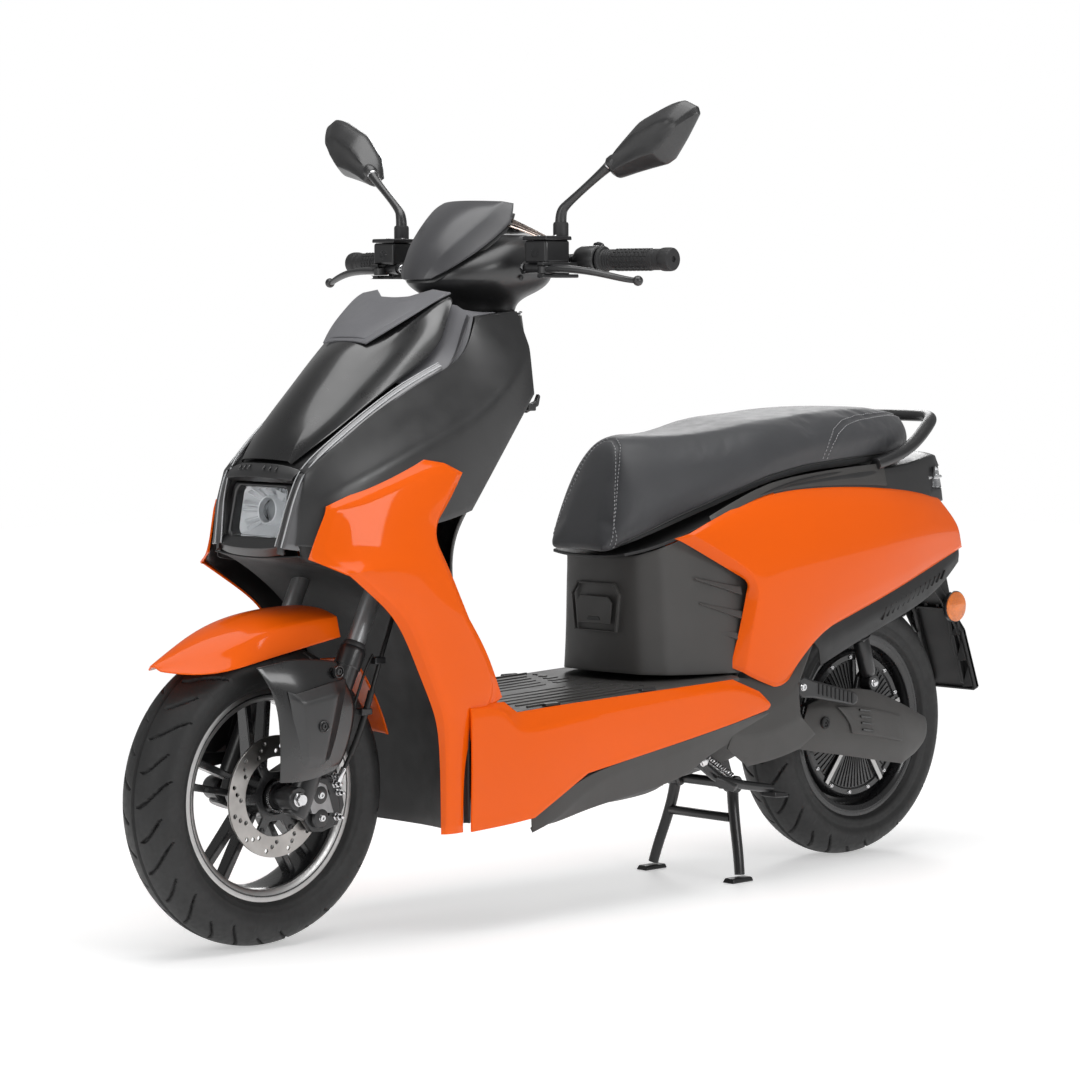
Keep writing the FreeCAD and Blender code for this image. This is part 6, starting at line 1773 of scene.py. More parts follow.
def seat_line(row, grow=0.0):
    """Half section of the seat from its lower edge to the middle of the top, as (half width, height)."""
    x, low_half, mid_half, top_half, low, high = row
    tall = high - low
    shape = [(low_half * 0.92, 0.0), (low_half, 0.10), (mid_half, 0.45),
             ((mid_half + top_half) / 2 + 2, 0.78),
             (top_half + 3, 0.95), (top_half * 0.55, 0.995)]
    return [(half - grow, low + tall * g - (grow if g > 0.5 else 0)) for half,
            g in shape] + [(0, high - grow)]


def seat_ring(row, grow=0.0):
    x, low = row[0], row[4]
    line = seat_line(row, grow)
    ring = [(x, 0, low + 2), (x, row[1] * 0.5, low)] + [(x, half, z) for half, z in line]
    other = [(x, -y, z) for x, y, z in reversed(ring[1:-1])]
    return ring + other


def seat_surface(x, side, share):
    """Point on the seat's skin: side +-1, share 0 at the lower edge and 1 on the middle line of the top."""
    for a, b in zip(SEAT, SEAT[1:]):
        if b[0] <= x <= a[0]:
            t = (x - a[0]) / (b[0] - a[0])
            row = [a[k] + (b[k] - a[k]) * t for k in range(6)]
            break
    line = seat_line(row)
    at = share * (len(line) - 1)
    k = min(int(at), len(line) - 2)
    f = at - k
    half = line[k][0] + (line[k + 1][0] - line[k][0]) * f
    z = line[k][1] + (line[k + 1][1] - line[k][1]) * f
    return Vector((x, side * half, z))


def swell(piece, voxel, pressure, cap):
    """Inflates a closed skin a little with a cloth simulation and keeps every point near its start."""
    modifier(piece, "REMESH", mode="VOXEL", voxel_size=voxel, use_smooth_shade=True)
    bpy.context.view_layer.update()
    graph = bpy.context.evaluated_depsgraph_get()
    solid = bpy.data.meshes.new_from_object(piece.evaluated_get(graph))
    piece.modifiers.clear()
    piece.data = solid
    start = np.empty(len(solid.vertices) * 3)
    solid.vertices.foreach_get("co", start)
    cloth = modifier(piece, "CLOTH")
    cloth.settings.use_pressure = True
    cloth.settings.uniform_pressure_force = pressure
    cloth.settings.effector_weights.gravity = 0
    cloth.settings.tension_stiffness = 30
    cloth.settings.compression_stiffness = 30
    cloth.settings.bending_stiffness = 2
    cloth.settings.quality = 4
    for frame_number in range(1, 15):
        bpy.context.scene.frame_set(frame_number)
    graph = bpy.context.evaluated_depsgraph_get()
    blown = bpy.data.meshes.new_from_object(piece.evaluated_get(graph))
    moved = np.empty(len(blown.vertices) * 3)
    blown.vertices.foreach_get("co", moved)
    piece.modifiers.clear()
    bpy.context.scene.frame_set(1)
    step = (moved - start).reshape(-1, 3)
    length = np.linalg.norm(step, axis=1, keepdims=True)
    step *= np.minimum(1.0, cap / np.maximum(length, 1e-9))
    solid.vertices.foreach_set("co", (start.reshape(-1, 3) + step).ravel())
    bpy.data.meshes.remove(blown)
    return piece


def stitches(name, path, step=7.0, length=4.4, radius=0.75, lift=0.6):
    """Row of thread stitches along a line of points, each one a short bent capsule."""
    points, faces = [], []
    left = step
    spots = []
    for a, b in zip(path, path[1:]):
        span_length = (b - a).length
        at = left
        while at < span_length:
            spots.append((a.lerp(b, at / span_length), (b - a).normalized()))
            at += step
        left = at - span_length
    for p, along in spots:
        up = (p - Vector((p.x, 0, 690))).normalized()
        side = along.cross(up).normalized()
        up = side.cross(along).normalized()
        base = len(points)
        for k, (s, r) in enumerate(((-0.5, 0.25), (-0.38, 0.9), (0, 1.0), (0.38, 0.9), (0.5, 0.25))):
            rise = lift * (1 - (2 * s) ** 2)
            middle = p + along * (s * length) + up * rise
            for n in range(6):
                a = math.pi * n / 3
                points.append(middle + (side * math.cos(a) + up * math.sin(a)) * radius * r)
        for k in range(4):
            for n in range(6):
                m = (n + 1) % 6
                faces.append((base + k * 6 + n, base + k * 6 + m, base + k * 6 + 6 + m,
                              base + k * 6 + 6 + n))
        faces.append(tuple(base + n for n in reversed(range(6))))
        faces.append(tuple(base + 24 + n for n in range(6)))
    mesh = raw_mesh(name, points, faces)
    piece = finish_mesh(name, mesh, "seat", "thread")
    shade(mesh, 60)
    return piece


def seat():
    rings = [seat_ring(row, 1.5) for row in SEAT]
    cushion = tube_piece("seat_cushion_cover", rings, "seat", "leather", ["seat_cushion"],
                         2, True, 0)
    bpy.context.view_layer.update()
    swell(cushion, 0.0055, 3.0, 0.006)
    modifier(cushion, "SMOOTH", factor=0.5, iterations=3)
    graph = bpy.context.evaluated_depsgraph_get()
    skin = bpy.data.meshes.new_from_object(cushion.evaluated_get(graph))
    cushion.modifiers.clear()
    cushion.data = skin
    if not skin.materials:
        skin.materials.append(M["leather"])
    seams = seam_lines()
    co = np.empty(len(skin.vertices) * 3)
    skin.vertices.foreach_get("co", co)
    co = co.reshape(-1, 3)
    normals = np.empty(len(skin.vertices) * 3)
    skin.vertices.foreach_get("normal", normals)
    normals = normals.reshape(-1, 3)
    sink = np.zeros(len(co))
    for line, depth, width in seams:
        spots = np.array([tuple(place(p)) for p in dense(line, 3.0)])
        for start in range(0, len(co), 4000):
            part = co[start:start + 4000]
            gap = np.sqrt(((part[:, None, :] - spots[None, :, :]) ** 2).sum(axis=2)).min(axis=1) / MM
            sink[start:start + 4000] = np.maximum(sink[start:start + 4000],
                                                  depth * np.exp(-(gap / width) ** 2))
    co -= normals * sink[:, None] * MM
    skin.vertices.foreach_set("co", co.ravel())
    modifier(cushion, "SUBSURF", levels=1, render_levels=1)
    for polygon in skin.polygons:
        polygon.use_smooth = True
    graph = bpy.context.evaluated_depsgraph_get()
    graph.update()
    final = cushion.evaluated_get(graph)

    def on_skin(p, lift=0.2):
        hit, spot, normal, _ = final.closest_point_on_mesh(place(p))
        if not hit:
            return Vector(p)
        spot = spot + normal * lift * MM
        return Vector((spot.x / MM - SHIFT, spot.y / MM, spot.z / MM))

    for k, (line, depth, width) in enumerate(seams):
        fine = dense(line, 6.0)
        for shift in (-6.0, 6.0):
            path = []
            for a, b in zip(fine, fine[1:]):
                along = (b - a).normalized()
                up = (a - Vector((a.x, 0, 690))).normalized()
                path.append(on_skin(a + along.cross(up).normalized() * shift))
            stitches(f"seat_stitches_{k}_{'a' if shift < 0 else 'b'}", path)
    for word, sign in SIDES:
        line = [seat_surface(x, sign, 0.10) for x in (-40, -80, -150, -240, -343, -445, -560, -690, -780)]
        bar(f"seat_piping_{word}", [on_skin(p, 0.2) for p in dense(line, 24)], 2.0, "seat", "hose",
            (), 3, 4, 12)


def dense(line, step):
    fine = []
    for a, b in zip(line, line[1:]):
        count = max(1, int((b - a).length / step))
        fine += [a.lerp(b, k / count) for k in range(count)]
    return fine + [line[-1]]


def seam_lines():
    """Lines of the sewn seams: round the nose panel, and from each lower edge over the rear of the top."""
    lines = []
    for sign in (1, -1):
        front = [Vector((-27, sign * 73, 582)), Vector((-36, sign * 68, 612)),
                 Vector((-48, sign * 60, 652)),
                 Vector((-61, sign * 50, 694)), Vector((-74, sign * 40, 732)),
                 Vector((-85, sign * 28, 758)),
                 Vector((-94, sign * 12, 766)), Vector((-97, 0, 768))]
        rear = [Vector((-492, sign * 144, 716)), Vector((-496, sign * 144, 734)),
                Vector((-506, sign * 140, 756)),
                Vector((-526, sign * 132, 776)), Vector((-560, sign * 120, 790)),
                Vector((-610, sign * 108, 799)),
                Vector((-680, sign * 94, 802)), Vector((-750, sign * 72, 798)),
                Vector((-796, sign * 44, 784))]
        lines += [(front, 2.6, 3.4), (rear, 2.6, 3.4)]
    return lines


# ---------------------------------------------------------------- tail
REAR_PANEL = [
    [(-110, 154, 605), (-180, 153, 631), (-262, 149, 657), (-345, 145, 679), (-450, 144, 682),
     (-555, 142, 680),
     (-655, 138, 674), (-760, 127, 662), (-835, 110, 647)],
    [(-126, 160, 598), (-192, 164, 617), (-272, 165, 636), (-350, 165, 652), (-450, 165, 658),
     (-555, 162, 655),
     (-655, 156, 648), (-762, 141, 637), (-850, 113, 632)],
    [(-262, 181, 527), (-290, 186, 548), (-335, 189, 564), (-390, 191, 573), (-470, 191, 579),
     (-560, 186, 583),
     (-655, 176, 587), (-770, 152, 592), (-884, 115, 600)],
    [(-257, 177, 488), (-284, 183, 498), (-328, 186, 510), (-386, 188, 519), (-468, 187, 530),
     (-560, 181, 541),
     (-655, 169, 551), (-775, 146, 566), (-896, 112, 580)],
    [(-248, 171, 436), (-278, 176, 434), (-322, 178, 436), (-380, 179, 452), (-462, 178, 476),
     (-560, 172, 496),
     (-655, 160, 513), (-780, 138, 538), (-904, 108, 566)],
    [(-236, 164, 381), (-275, 165, 362), (-318, 165, 346), (-358, 163, 334), (-432, 167, 423),
     (-545, 159, 454),
     (-652, 149, 482), (-785, 127, 518), (-912, 104, 553)],
]
TAIL = [
    [(-348, 147, 668), (-348, 146, 682), (-348, 122, 687), (-348, 60, 688), (-348, 0, 688)],
    [(-470, 144, 672), (-470, 143, 695), (-470, 120, 700), (-470, 60, 702), (-470, 0, 702)],
    [(-600, 141, 668), (-600, 138, 704), (-600, 114, 708), (-600, 60, 708), (-600, 0, 708)],
    [(-700, 134, 658), (-700, 128, 708), (-700, 100, 712), (-700, 56, 712), (-700, 0, 712)],
    [(-780, 122, 648), (-780, 115, 718), (-780, 88, 723), (-780, 50, 724), (-780, 0, 724)],
    [(-806, 117, 646), (-804, 109, 722), (-804, 82, 727), (-804, 46, 728), (-804, 0, 728)],
    [(-816, 112, 704), (-830, 102, 725), (-828, 76, 731), (-828, 44, 732), (-828, 0, 732)],
    [(-868, 88, 704), (-862, 80, 722), (-858, 62, 728), (-858, 34, 729), (-858, 0, 729)],
    [(-886, 50, 704), (-878, 46, 716), (-872, 40, 722), (-870, 26, 723), (-870, 0, 723)],
]
TAIL_LOW = [
    [(-800, 117, 664), (-802, 118, 640)], [(-842, 105, 663), (-846, 106, 640)],
    [(-870, 90, 663), (-874, 90, 640)],
    [(-888, 52, 663), (-892, 52, 640)], [(-892, 0, 663), (-896, 0, 640)],
]


def tail():
    for word, sign in SIDES:
        rear_pins = [(0, 0), (0, 8), (2, 0), (5, 0), (5, 3), (5, 8), (5, 4)]
        panel(f"rear_panel_{word}_shell", sided(rimmed(REAR_PANEL, 3.5, 7.0, 24.0, 15.0), sign),
              "chassis", "orange",
              (0, sign, 0), [f"rear_panel_{word}"], 3.0, 3,
              {1: 0.7, 6: 0.7, 2: 0.25, 5: 0.35},
              {1: 0.62, 9: 0.6}, rim_pins(rear_pins, 6, 9), 1.2)
        lamp = [[(-800, 116, 665), (-806, 112, 703)], [(-842, 105, 664), (-840, 99, 704)],
                [(-870, 90, 664), (-866, 84, 704)], [(-888, 52, 664), (-882, 48, 704)],
                [(-893, 8, 664), (-886, 6, 704)]]
        panel(f"tail_low_{word}", sided(TAIL_LOW, sign), "chassis", "satin", (-1, sign, 0),
              (), 3.0, 2,
              None, None, [(0, 0), (0, 1), (4, 0), (4, 1)], 0.8)
        panel(f"tail_lens_{word}", sided(lamp, sign), "chassis", "clear", (-1, sign, 0),
              ["tail_light"] if sign > 0 else (), 3.0, 2, None, None, [(0, 0), (0, 1), (4, 0), (4, 1)],
              0.8)
        back = [[(x + 5, y - 5, z) for x, y, z in row] for row in lamp]
        panel(f"tail_reflector_{word}", sided(back, sign), "chassis", "strip", (-1, sign, 0), (),
              1.5, 2, None,
              None, [(0, 0), (0, 1), (4, 0), (4, 1)], 0)
        guide = [side_point((row[0][0] + 1.0, row[0][1] - 3.0, 684), sign) for row in lamp]
        bar(f"tail_guide_{word}", guide, 3.0, "chassis", "glow", (), 3, 6, 12)
        strip = [
            [(-426, 152, 430), (-460, 152, 398), (-478, 140, 366)],
            [(-536, 148, 462), (-552, 150, 426), (-560, 139, 396)],
            [(-636, 142, 488), (-648, 145, 452), (-652, 136, 426)],
            [(-738, 128, 512), (-748, 130, 478), (-754, 122, 450)],
            [(-828, 116, 536), (-840, 116, 508), (-846, 108, 484)],
            [(-902, 101, 556), (-904, 101, 540), (-906, 98, 526)],
        ]
        panel(f"rear_strip_{word}", sided(strip, sign), "chassis", "dark_grained", (0, sign, -0.2),
              (), 3.0, 2, None, {1: 0.5}, [(0, 0), (0, 2), (5, 0), (5, 2)], 0.8)
        hatch = []
        for k in range(13):
            t = k / 12
            x = -640 - 196 * t
            y = 140.6 - 27 * t
            z = 448 + 58 * t
            tall = 11 - 3 * t
            a = [(x, y - 6, z - tall), (x - 4, y - 6.4, z - tall), (x - 14, y - 6.4, z + tall),
                 (x - 10, y - 6, z + tall)]
            b = [(px, py + 9.0, pz) for px, py, pz in a]
            hatch.append(([side_point(p, sign) for p in a], [side_point(p, sign) for p in b]))
        blocks(f"rear_hatch_{word}", hatch, "chassis", "dark_grained", (), 0.8, 2)
    panel("tail_shell", full(TAIL), "chassis", "satin", (0, 0, 1), ["tail_cover"], 3.0, 3,
          None, {1: 0.5, 7: 0.5}, [(0, 0), (0, 8), (8, 0), (8, 8), (5, 0), (6, 0), (5, 8), (6, 8)], 1.0)
    back_wall = [[(-884, 54, 668), (-890, 30, 668), (-890, 0, 668)],
                 [(-892, 62, 640), (-898, 34, 640), (-898, 0, 640)],
                 [(-904, 92, 600), (-914, 40, 598), (-914, 0, 598)],
                 [(-910, 98, 552), (-920, 44, 548), (-920, 0, 548)],
                 [(-900, 92, 528), (-906, 44, 522), (-906, 0, 522)]]
    panel("tail_rear_wall", full(back_wall), "chassis", "dark_grained", (-1, 0, 0), (),
          3.0, 3, None,
          None, [(0, 0), (0, 4), (4, 0), (4, 4)], 0.8)
    rail = [(-634, 130, 714), (-662, 131, 720), (-698, 131, 730), (-738, 127, 745), (-776, 118, 765),
            (-804, 108, 780),
            (-826, 96, 789), (-840, 80, 793), (-847, 60, 794), (-850, 30, 794), (-851, 0, 794)]
    points = rail + [(x, -y, z) for x, y, z in reversed(rail[:-1])]
    rings = []
    for k, p in enumerate(points):
        a, b = Vector(points[max(k - 1, 0)]), Vector(points[min(k + 1, len(points) - 1)])
        along = (b - a).normalized()
        flat = along.cross(Vector((0, 0, 1))).normalized()
        up = flat.cross(along).normalized()
        wide, tall = 14.0, 11.5
        rings.append([tuple(Vector(p) + flat * wide * c + up * tall * s)
                      for c, s in ((1, 0.15), (0.55, 1), (-0.55, 1), (-1, 0.15), (-0.7, -0.9),
                                   (0.7, -0.9))])
    tube_piece("grab_rail_loop", rings, "chassis", "satin", ["grab_rail"], 3, True)
    for word, sign in SIDES:
        foot = [[(-628, 128, 706), (-628, 110, 708), (-650, 110, 722), (-650, 134, 718)],
                [(-690, 126, 708), (-690, 108, 712), (-712, 116, 732), (-712, 138, 728)]]
        tube_piece(f"grab_rail_foot_{word}", sided(foot, sign), "chassis", "satin", (), 2,
                   True)


def rear_arch():
    rows = []
    for k in range(13):
        a = math.radians(76 + 80 * k / 12)
        c, s = math.cos(a), math.sin(a)

        def spot(r, y):
            return (REAR_HUB.x + r * c, y, REAR_HUB.z + r * s)

        narrow = 1 - 0.44 * smooth_step(math.degrees(a), 98, 132)
        rows.append([spot(306, 98 * narrow), spot(318, 99 * narrow), spot(328, 92 * narrow),
                     spot(332, 60 * narrow), spot(332, 0)])
    panel("rear_arch", full(rows), "chassis", "dark_grained", (0, 0, 1),
          ["rear_mudguard"], 3.0, 2,
          None, {1: 0.4, 7: 0.4}, [(0, 0), (0, 8), (12, 0), (12, 8)], 0.8)
    stays = []
    for word, sign in SIDES:
        outline = [(-866, 524), (-880, 506), (-900, 492), (-946, 420), (-990, 292), (-1006, 290),
                   (-956, 438),
                   (-936, 500), (-902, 548)]
        low, high = extrusion(outline, sign * 36, sign * 44)
        stays.append((low, high))
        for low_z, high_z in ((300, 350), (370, 420)):
            a = [(-940 - (440 - low_z) * 0.36, sign * 44, low_z),
                 (-940 - (440 - high_z) * 0.36, sign * 44, high_z),
                 (-952 - (440 - high_z) * 0.36, sign * 58, high_z),
                 (-952 - (440 - low_z) * 0.36, sign * 58, low_z)]
    blocks("plate_stays", stays, "chassis", "dark_grained", (), 1.6, 2)

    def board(u, v, lift=0.0):
        """Point on the plate board: u across, v up from its lower edge."""
        t = v / 166.0
        base = Vector((-1010 + 59 * t, u, 281 + 156 * t))
        return base + Vector((-0.935, 0, 0.354)) * lift

    outline = [(-62, 4), (-58, 0), (58, 0), (62, 4), (62, 120), (50, 146), (34, 166), (-34, 166),
               (-50, 146),
               (-62, 120)]
    body = ([board(u, v, -3) for u, v in outline], [board(u, v, 3) for u, v in outline])
    rims = []
    for a, b in zip(outline, outline[1:] + outline[:1]):
        ia, ib = (a[0] * 0.93, 83 + (a[1] - 83) * 0.95), (b[0] * 0.93, 83 + (b[1] - 83) * 0.95)
        rims.append(([board(*a, -3), board(*b, -3), board(*ib, -3), board(*ia, -3)],
                     [board(*a, 4.6), board(*b, 4.6), board(*ib, 4.6), board(*ia, 4.6)]))
        rims.append(([board(*a, 3), board(*b, 3), board(*ib, 3), board(*ia, 3)],
                     [board(*a, -8), board(*b, -8), board(*ib, -8), board(*ia, -8)]))
    blocks("plate_board", [body], "chassis", "dark_grained", (), 1.2, 2)
    blocks("plate_board_rim", rims, "chassis", "dark_grained", (), 0.8, 1)
    webs = []
    for word, sign in SIDES:
        for v0, v1 in ((10, 50), (62, 104), (114, 140)):
            tri = [board(sign * 40, v0, -3), board(sign * 58, v0, -3), board(sign * 58, v1, -3)]
            back = [board(sign * 40, v0, -16), board(sign * 58, v0, -10), board(sign * 58, v1, -10)]
            webs.append((back, tri))
    slot_ring = [(-24, 104), (24, 104), (24, 112), (-24, 112)]
    webs.append(([board(u, v, 2) for u, v in slot_ring], [board(u, v, 4.4) for u, v in slot_ring]))
    blocks("plate_webs", webs, "chassis", "dark_grained", (), 0.6, 1)
    pad = [(-26, 64), (26, 64), (26, 96), (-26, 96)]
    blocks("plate_pad", [([board(u, v, 2) for u, v in pad], [board(u, v, 4.8) for u, v in pad])],
           "chassis", "gloss",
           (), 0.8, 2)
    for k, u in enumerate((-44, 44)):
        bolt(f"plate_bolt_{k + 1}", board(u, 78, 3), (-0.935, 0, 0.354), 5.4, "chassis", "bright", 3.4)
    for word, sign in SIDES:
        centre = Vector((-934, sign * 60, 440))
        shell = [(0, 0), (0, 26), (3, 29), (9, 29), (10, 28.3), (10, 0)]
        lathe(f"side_reflector_cup_{word}", [shell], centre, (0, sign, 0), "chassis", "frame",
              (), 56)
        lens_profile = [(9.4, 0), (9.4, 27.8), (11.4, 27.2), (12.4, 24), (12.8, 0)]
        lathe(f"side_reflector_{word}", [lens_profile], centre, (0, sign, 0), "chassis", "amber",
              (), 56)
    loop = [(-948, -14, 438), (-990, -18, 442), (-1022, -16, 441), (-1033, 0, 440), (-1022, 16, 441),
            (-990, 18, 442), (-948, 14, 438)]
    bar("plate_lamp_loop", loop, 3.6, "chassis", "dark_grained", (), 3, 6, 12)
    lamp = extrusion([(-1026, 424), (-958, 420), (-956, 436), (-1028, 438)], -13, 13)
    blocks("plate_lamp", [lamp], "chassis", "gloss", (), 2.0, 2)
    inner = []
    for sign in (1, -1):
        web = [(-690, 576), (-720, 566), (-728, 470), (-690, 470)]
        low, high = extrusion(web, sign * 104, sign * 124)
        inner.append((low, high))
    blocks("rear_arch_webs", inner, "chassis", "dark_grained", (), 1.0, 2)
    well = [[(-300, 120, 560), (-296, 60, 562), (-296, 0, 562)],
            [(-352, 132, 420), (-336, 60, 420), (-336, 0, 420)],
            [(-372, 130, 330), (-356, 60, 330), (-356, 0, 330)]]
    panel("rear_well_wall", full(well), "chassis", "dark_grained", (-1, 0, 0), (), 2.5, 2,
          None, None,
          [(0, 0), (0, 4), (2, 0), (2, 4)], 0)


# ---------------------------------------------------------------- swingarm and shocks
ARM_COVER = [
    [(-476, 112, 296), (-512, 119, 308), (-546, 124, 319), (-600, 127, 318), (-660, 127, 303),
     (-730, 122, 277),
     (-797, 112, 249)],
    [(-464, 119, 284), (-506, 126, 294), (-548, 131, 302), (-604, 134, 298), (-664, 134, 285),
     (-732, 129, 262),
     (-798, 116, 240)],
    [(-450, 121, 258), (-500, 130, 260), (-552, 135, 262), (-608, 137, 258), (-668, 136, 248),
     (-734, 131, 233),
     (-796, 118, 217)],
    [(-442, 119, 236), (-494, 128, 231), (-546, 133, 226), (-604, 134, 216), (-662, 133, 206),
     (-726, 128, 196),
     (-784, 117, 200)],
    [(-436, 113, 222), (-490, 120, 211), (-542, 125, 203), (-602, 126, 192), (-662, 124, 181),
     (-722, 121, 171),
     (-768, 112, 185)],
]


def rear_drive():
    blades = []
    for sign in (1, -1):
        outline = [(-392, 232), (-392, 270), (-560, 276), (-640, 268), (-716, 260), (-722, 250),
                   (-716, 220),
                   (-560, 228)]
        low, high = extrusion(outline, sign * 74, sign * 90)
        blades.append((low, high))
        lug = [(-616, 262), (-692, 256), (-674, 334), (-664, 342), (-648, 342), (-638, 334)]
        low, high = extrusion(lug, sign * 80, sign * 89)
        blades.append((low, high))
    blocks("swingarm_blades", blades, "swingarm", "frame", ["swingarm"], 3.0, 3)
    lathe("swingarm_pivot_tube", [[(-88, 9), (-88, 20), (-86, 22), (86, 22), (88, 20), (88, 9)]],
          (-400, 0, 250),
          (0, 1, 0), "swingarm", "frame", (), 48)
    rod("rear_axle", (REAR_HUB.x, -104, REAR_HUB.z), (REAR_HUB.x, 104, REAR_HUB.z), 8.0, "swingarm",
        "bright")
    for word, sign in SIDES:
        bolt(f"rear_axle_nut_{word}", (REAR_HUB.x, sign * 91, REAR_HUB.z), (0, sign, 0), 13, "swingarm",
             "bright", 10,
             False)
        rod(f"shock_pin_{word}", (-655, sign * 78, 322), (-655, sign * 112, 322), 5.0, "swingarm",
            "bright")
        bolt(f"shock_pin_head_{word}", (-655, sign * 111, 322), (0, sign, 0), 7.0, "swingarm", "bright",
             5, False)
    panel("swingarm_cover_shell", ARM_COVER, "swingarm", "grained", (0, 1, 0),
          ["swingarm_cover"], 3.0,
          3, None, None, [(0, 0), (0, 6), (4, 0), (4, 6), (0, 2), (4, 5)], 1.2)
    flat = [
        [(-528, 137.0, 290), (-600, 139.6, 286), (-700, 135.4, 262)],
        [(-560, 139.5, 262), (-630, 141, 254), (-706, 136.6, 238)],
        [(-566, 138.6, 240), (-640, 139.6, 228), (-706, 135.6, 214)],
    ]
    panel("swingarm_cover_block", flat, "swingarm", "grained", (0, 1, 0), (), 5.0, 2, None, None,
          [(0, 0), (0, 2), (2, 0), (2, 2)], 0.9)
    slots = []
    for k in range(4):
        x, z = -582 - 3 * k, 283 - 12 * k
        slots.append(([(x, 138, z), (x - 30, 138, z - 5), (x - 30, 138, z - 8), (x, 138, z - 4)],
                      [(x, 142.4, z), (x - 30, 141.6, z - 5), (x - 30, 141.6, z - 8), (x, 142.4, z - 4)]))
    blocks("swingarm_cover_slots", slots, "swingarm", "gloss", (), 0.4, 1)
    well = [(0, 6.2), (4.5, 6.2), (5.5, 8), (5.0, 10.6), (0, 11)]
    lathe("swingarm_cover_well", [well], (-503, 127, 263), (0, 1, 0.05), "swingarm", "dark_grained",
          (), 40)
    bolt("swingarm_cover_bolt", (-503, 127, 263), (0, 1, 0.05), 5.0, "swingarm", "frame", 4)
    skirt = []
    for a, b in zip(ARM_COVER[0], ARM_COVER[-1]):
        skirt.append([(a[0], 88, a[2] - 6), (a[0], 110, a[2] - 2)])
    panel("swingarm_skirt_top", skirt, "swingarm", "dark_grained", (0, 0, 1), (), 2.0, 2, None, None,
          [(0, 0), (0, 1), (6, 0), (6, 1)], 0)
    skirt = [[(b[0], 88, b[2] + 6), (b[0], 110, b[2] + 2)] for b in ARM_COVER[-1]]
    panel("swingarm_skirt_low", skirt, "swingarm", "dark_grained", (0, 0, -1), (), 2.0, 2, None,
          None,
          [(0, 0), (0, 1), (6, 0), (6, 1)], 0)


def shocks():
    for word, sign in SIDES:
        top, eye = Vector((-590, sign * 101, 520)), Vector((-655, sign * 101, 322))
        down = (eye - top).normalized()
        length = (eye - top).length
        can = [(8, 0), (8, 16), (11, 19), (76, 19), (80, 18), (80, 6.4), (84, 6.0), (140, 6.0), (140, 0)]
        lathe(f"shock_upper_{word}", [can], top, down, "shock_upper", "frame",
              ["shock_rods"] if sign > 0 else (), 56)
        boot = []
        for k in range(11):
            s = 81 + k * 3.9
            boot += [(s, 16.6), (s + 1.1, 18.8), (s + 2.3, 18.8), (s + 3.4, 16.6)]
        boot += [(124.4, 15.8), (79, 15.8), (79, 16.6)]
        lathe(f"shock_boot_{word}", [boot], top, down, "shock_upper", "rubber", (), 56)
        low_can = [(125, 7.4), (125, 14), (127, 15), (length - 22, 15), (length - 14, 12),
                   (length - 10, 8),
                   (length - 10, 0), (184, 0), (184, 7.4)]
        lathe(f"shock_lower_{word}", [low_can], top, down, "shock_lower", "frame",
              ["shock_bodies"] if sign > 0 else (), 56)
        for end, spot, body, hole in (("top", top, "shock_upper", 8.2), ("low", eye, "shock_lower", 7.2)):
            ring = [(-11, hole), (-11, 13), (-9.5, 14), (9.5, 14), (11, 13), (11, hole)]
            lathe(f"shock_eye_{end}_{word}", [ring], spot, (0, 1, 0), body, "frame", (), 48)
            if end == "top":
                bush = [(-12, 5.2), (-12, 8.2), (12, 8.2), (12, 5.2)]
                lathe(f"shock_bush_{end}_{word}", [bush], spot, (0, 1, 0), body, "rubber", (), 40)


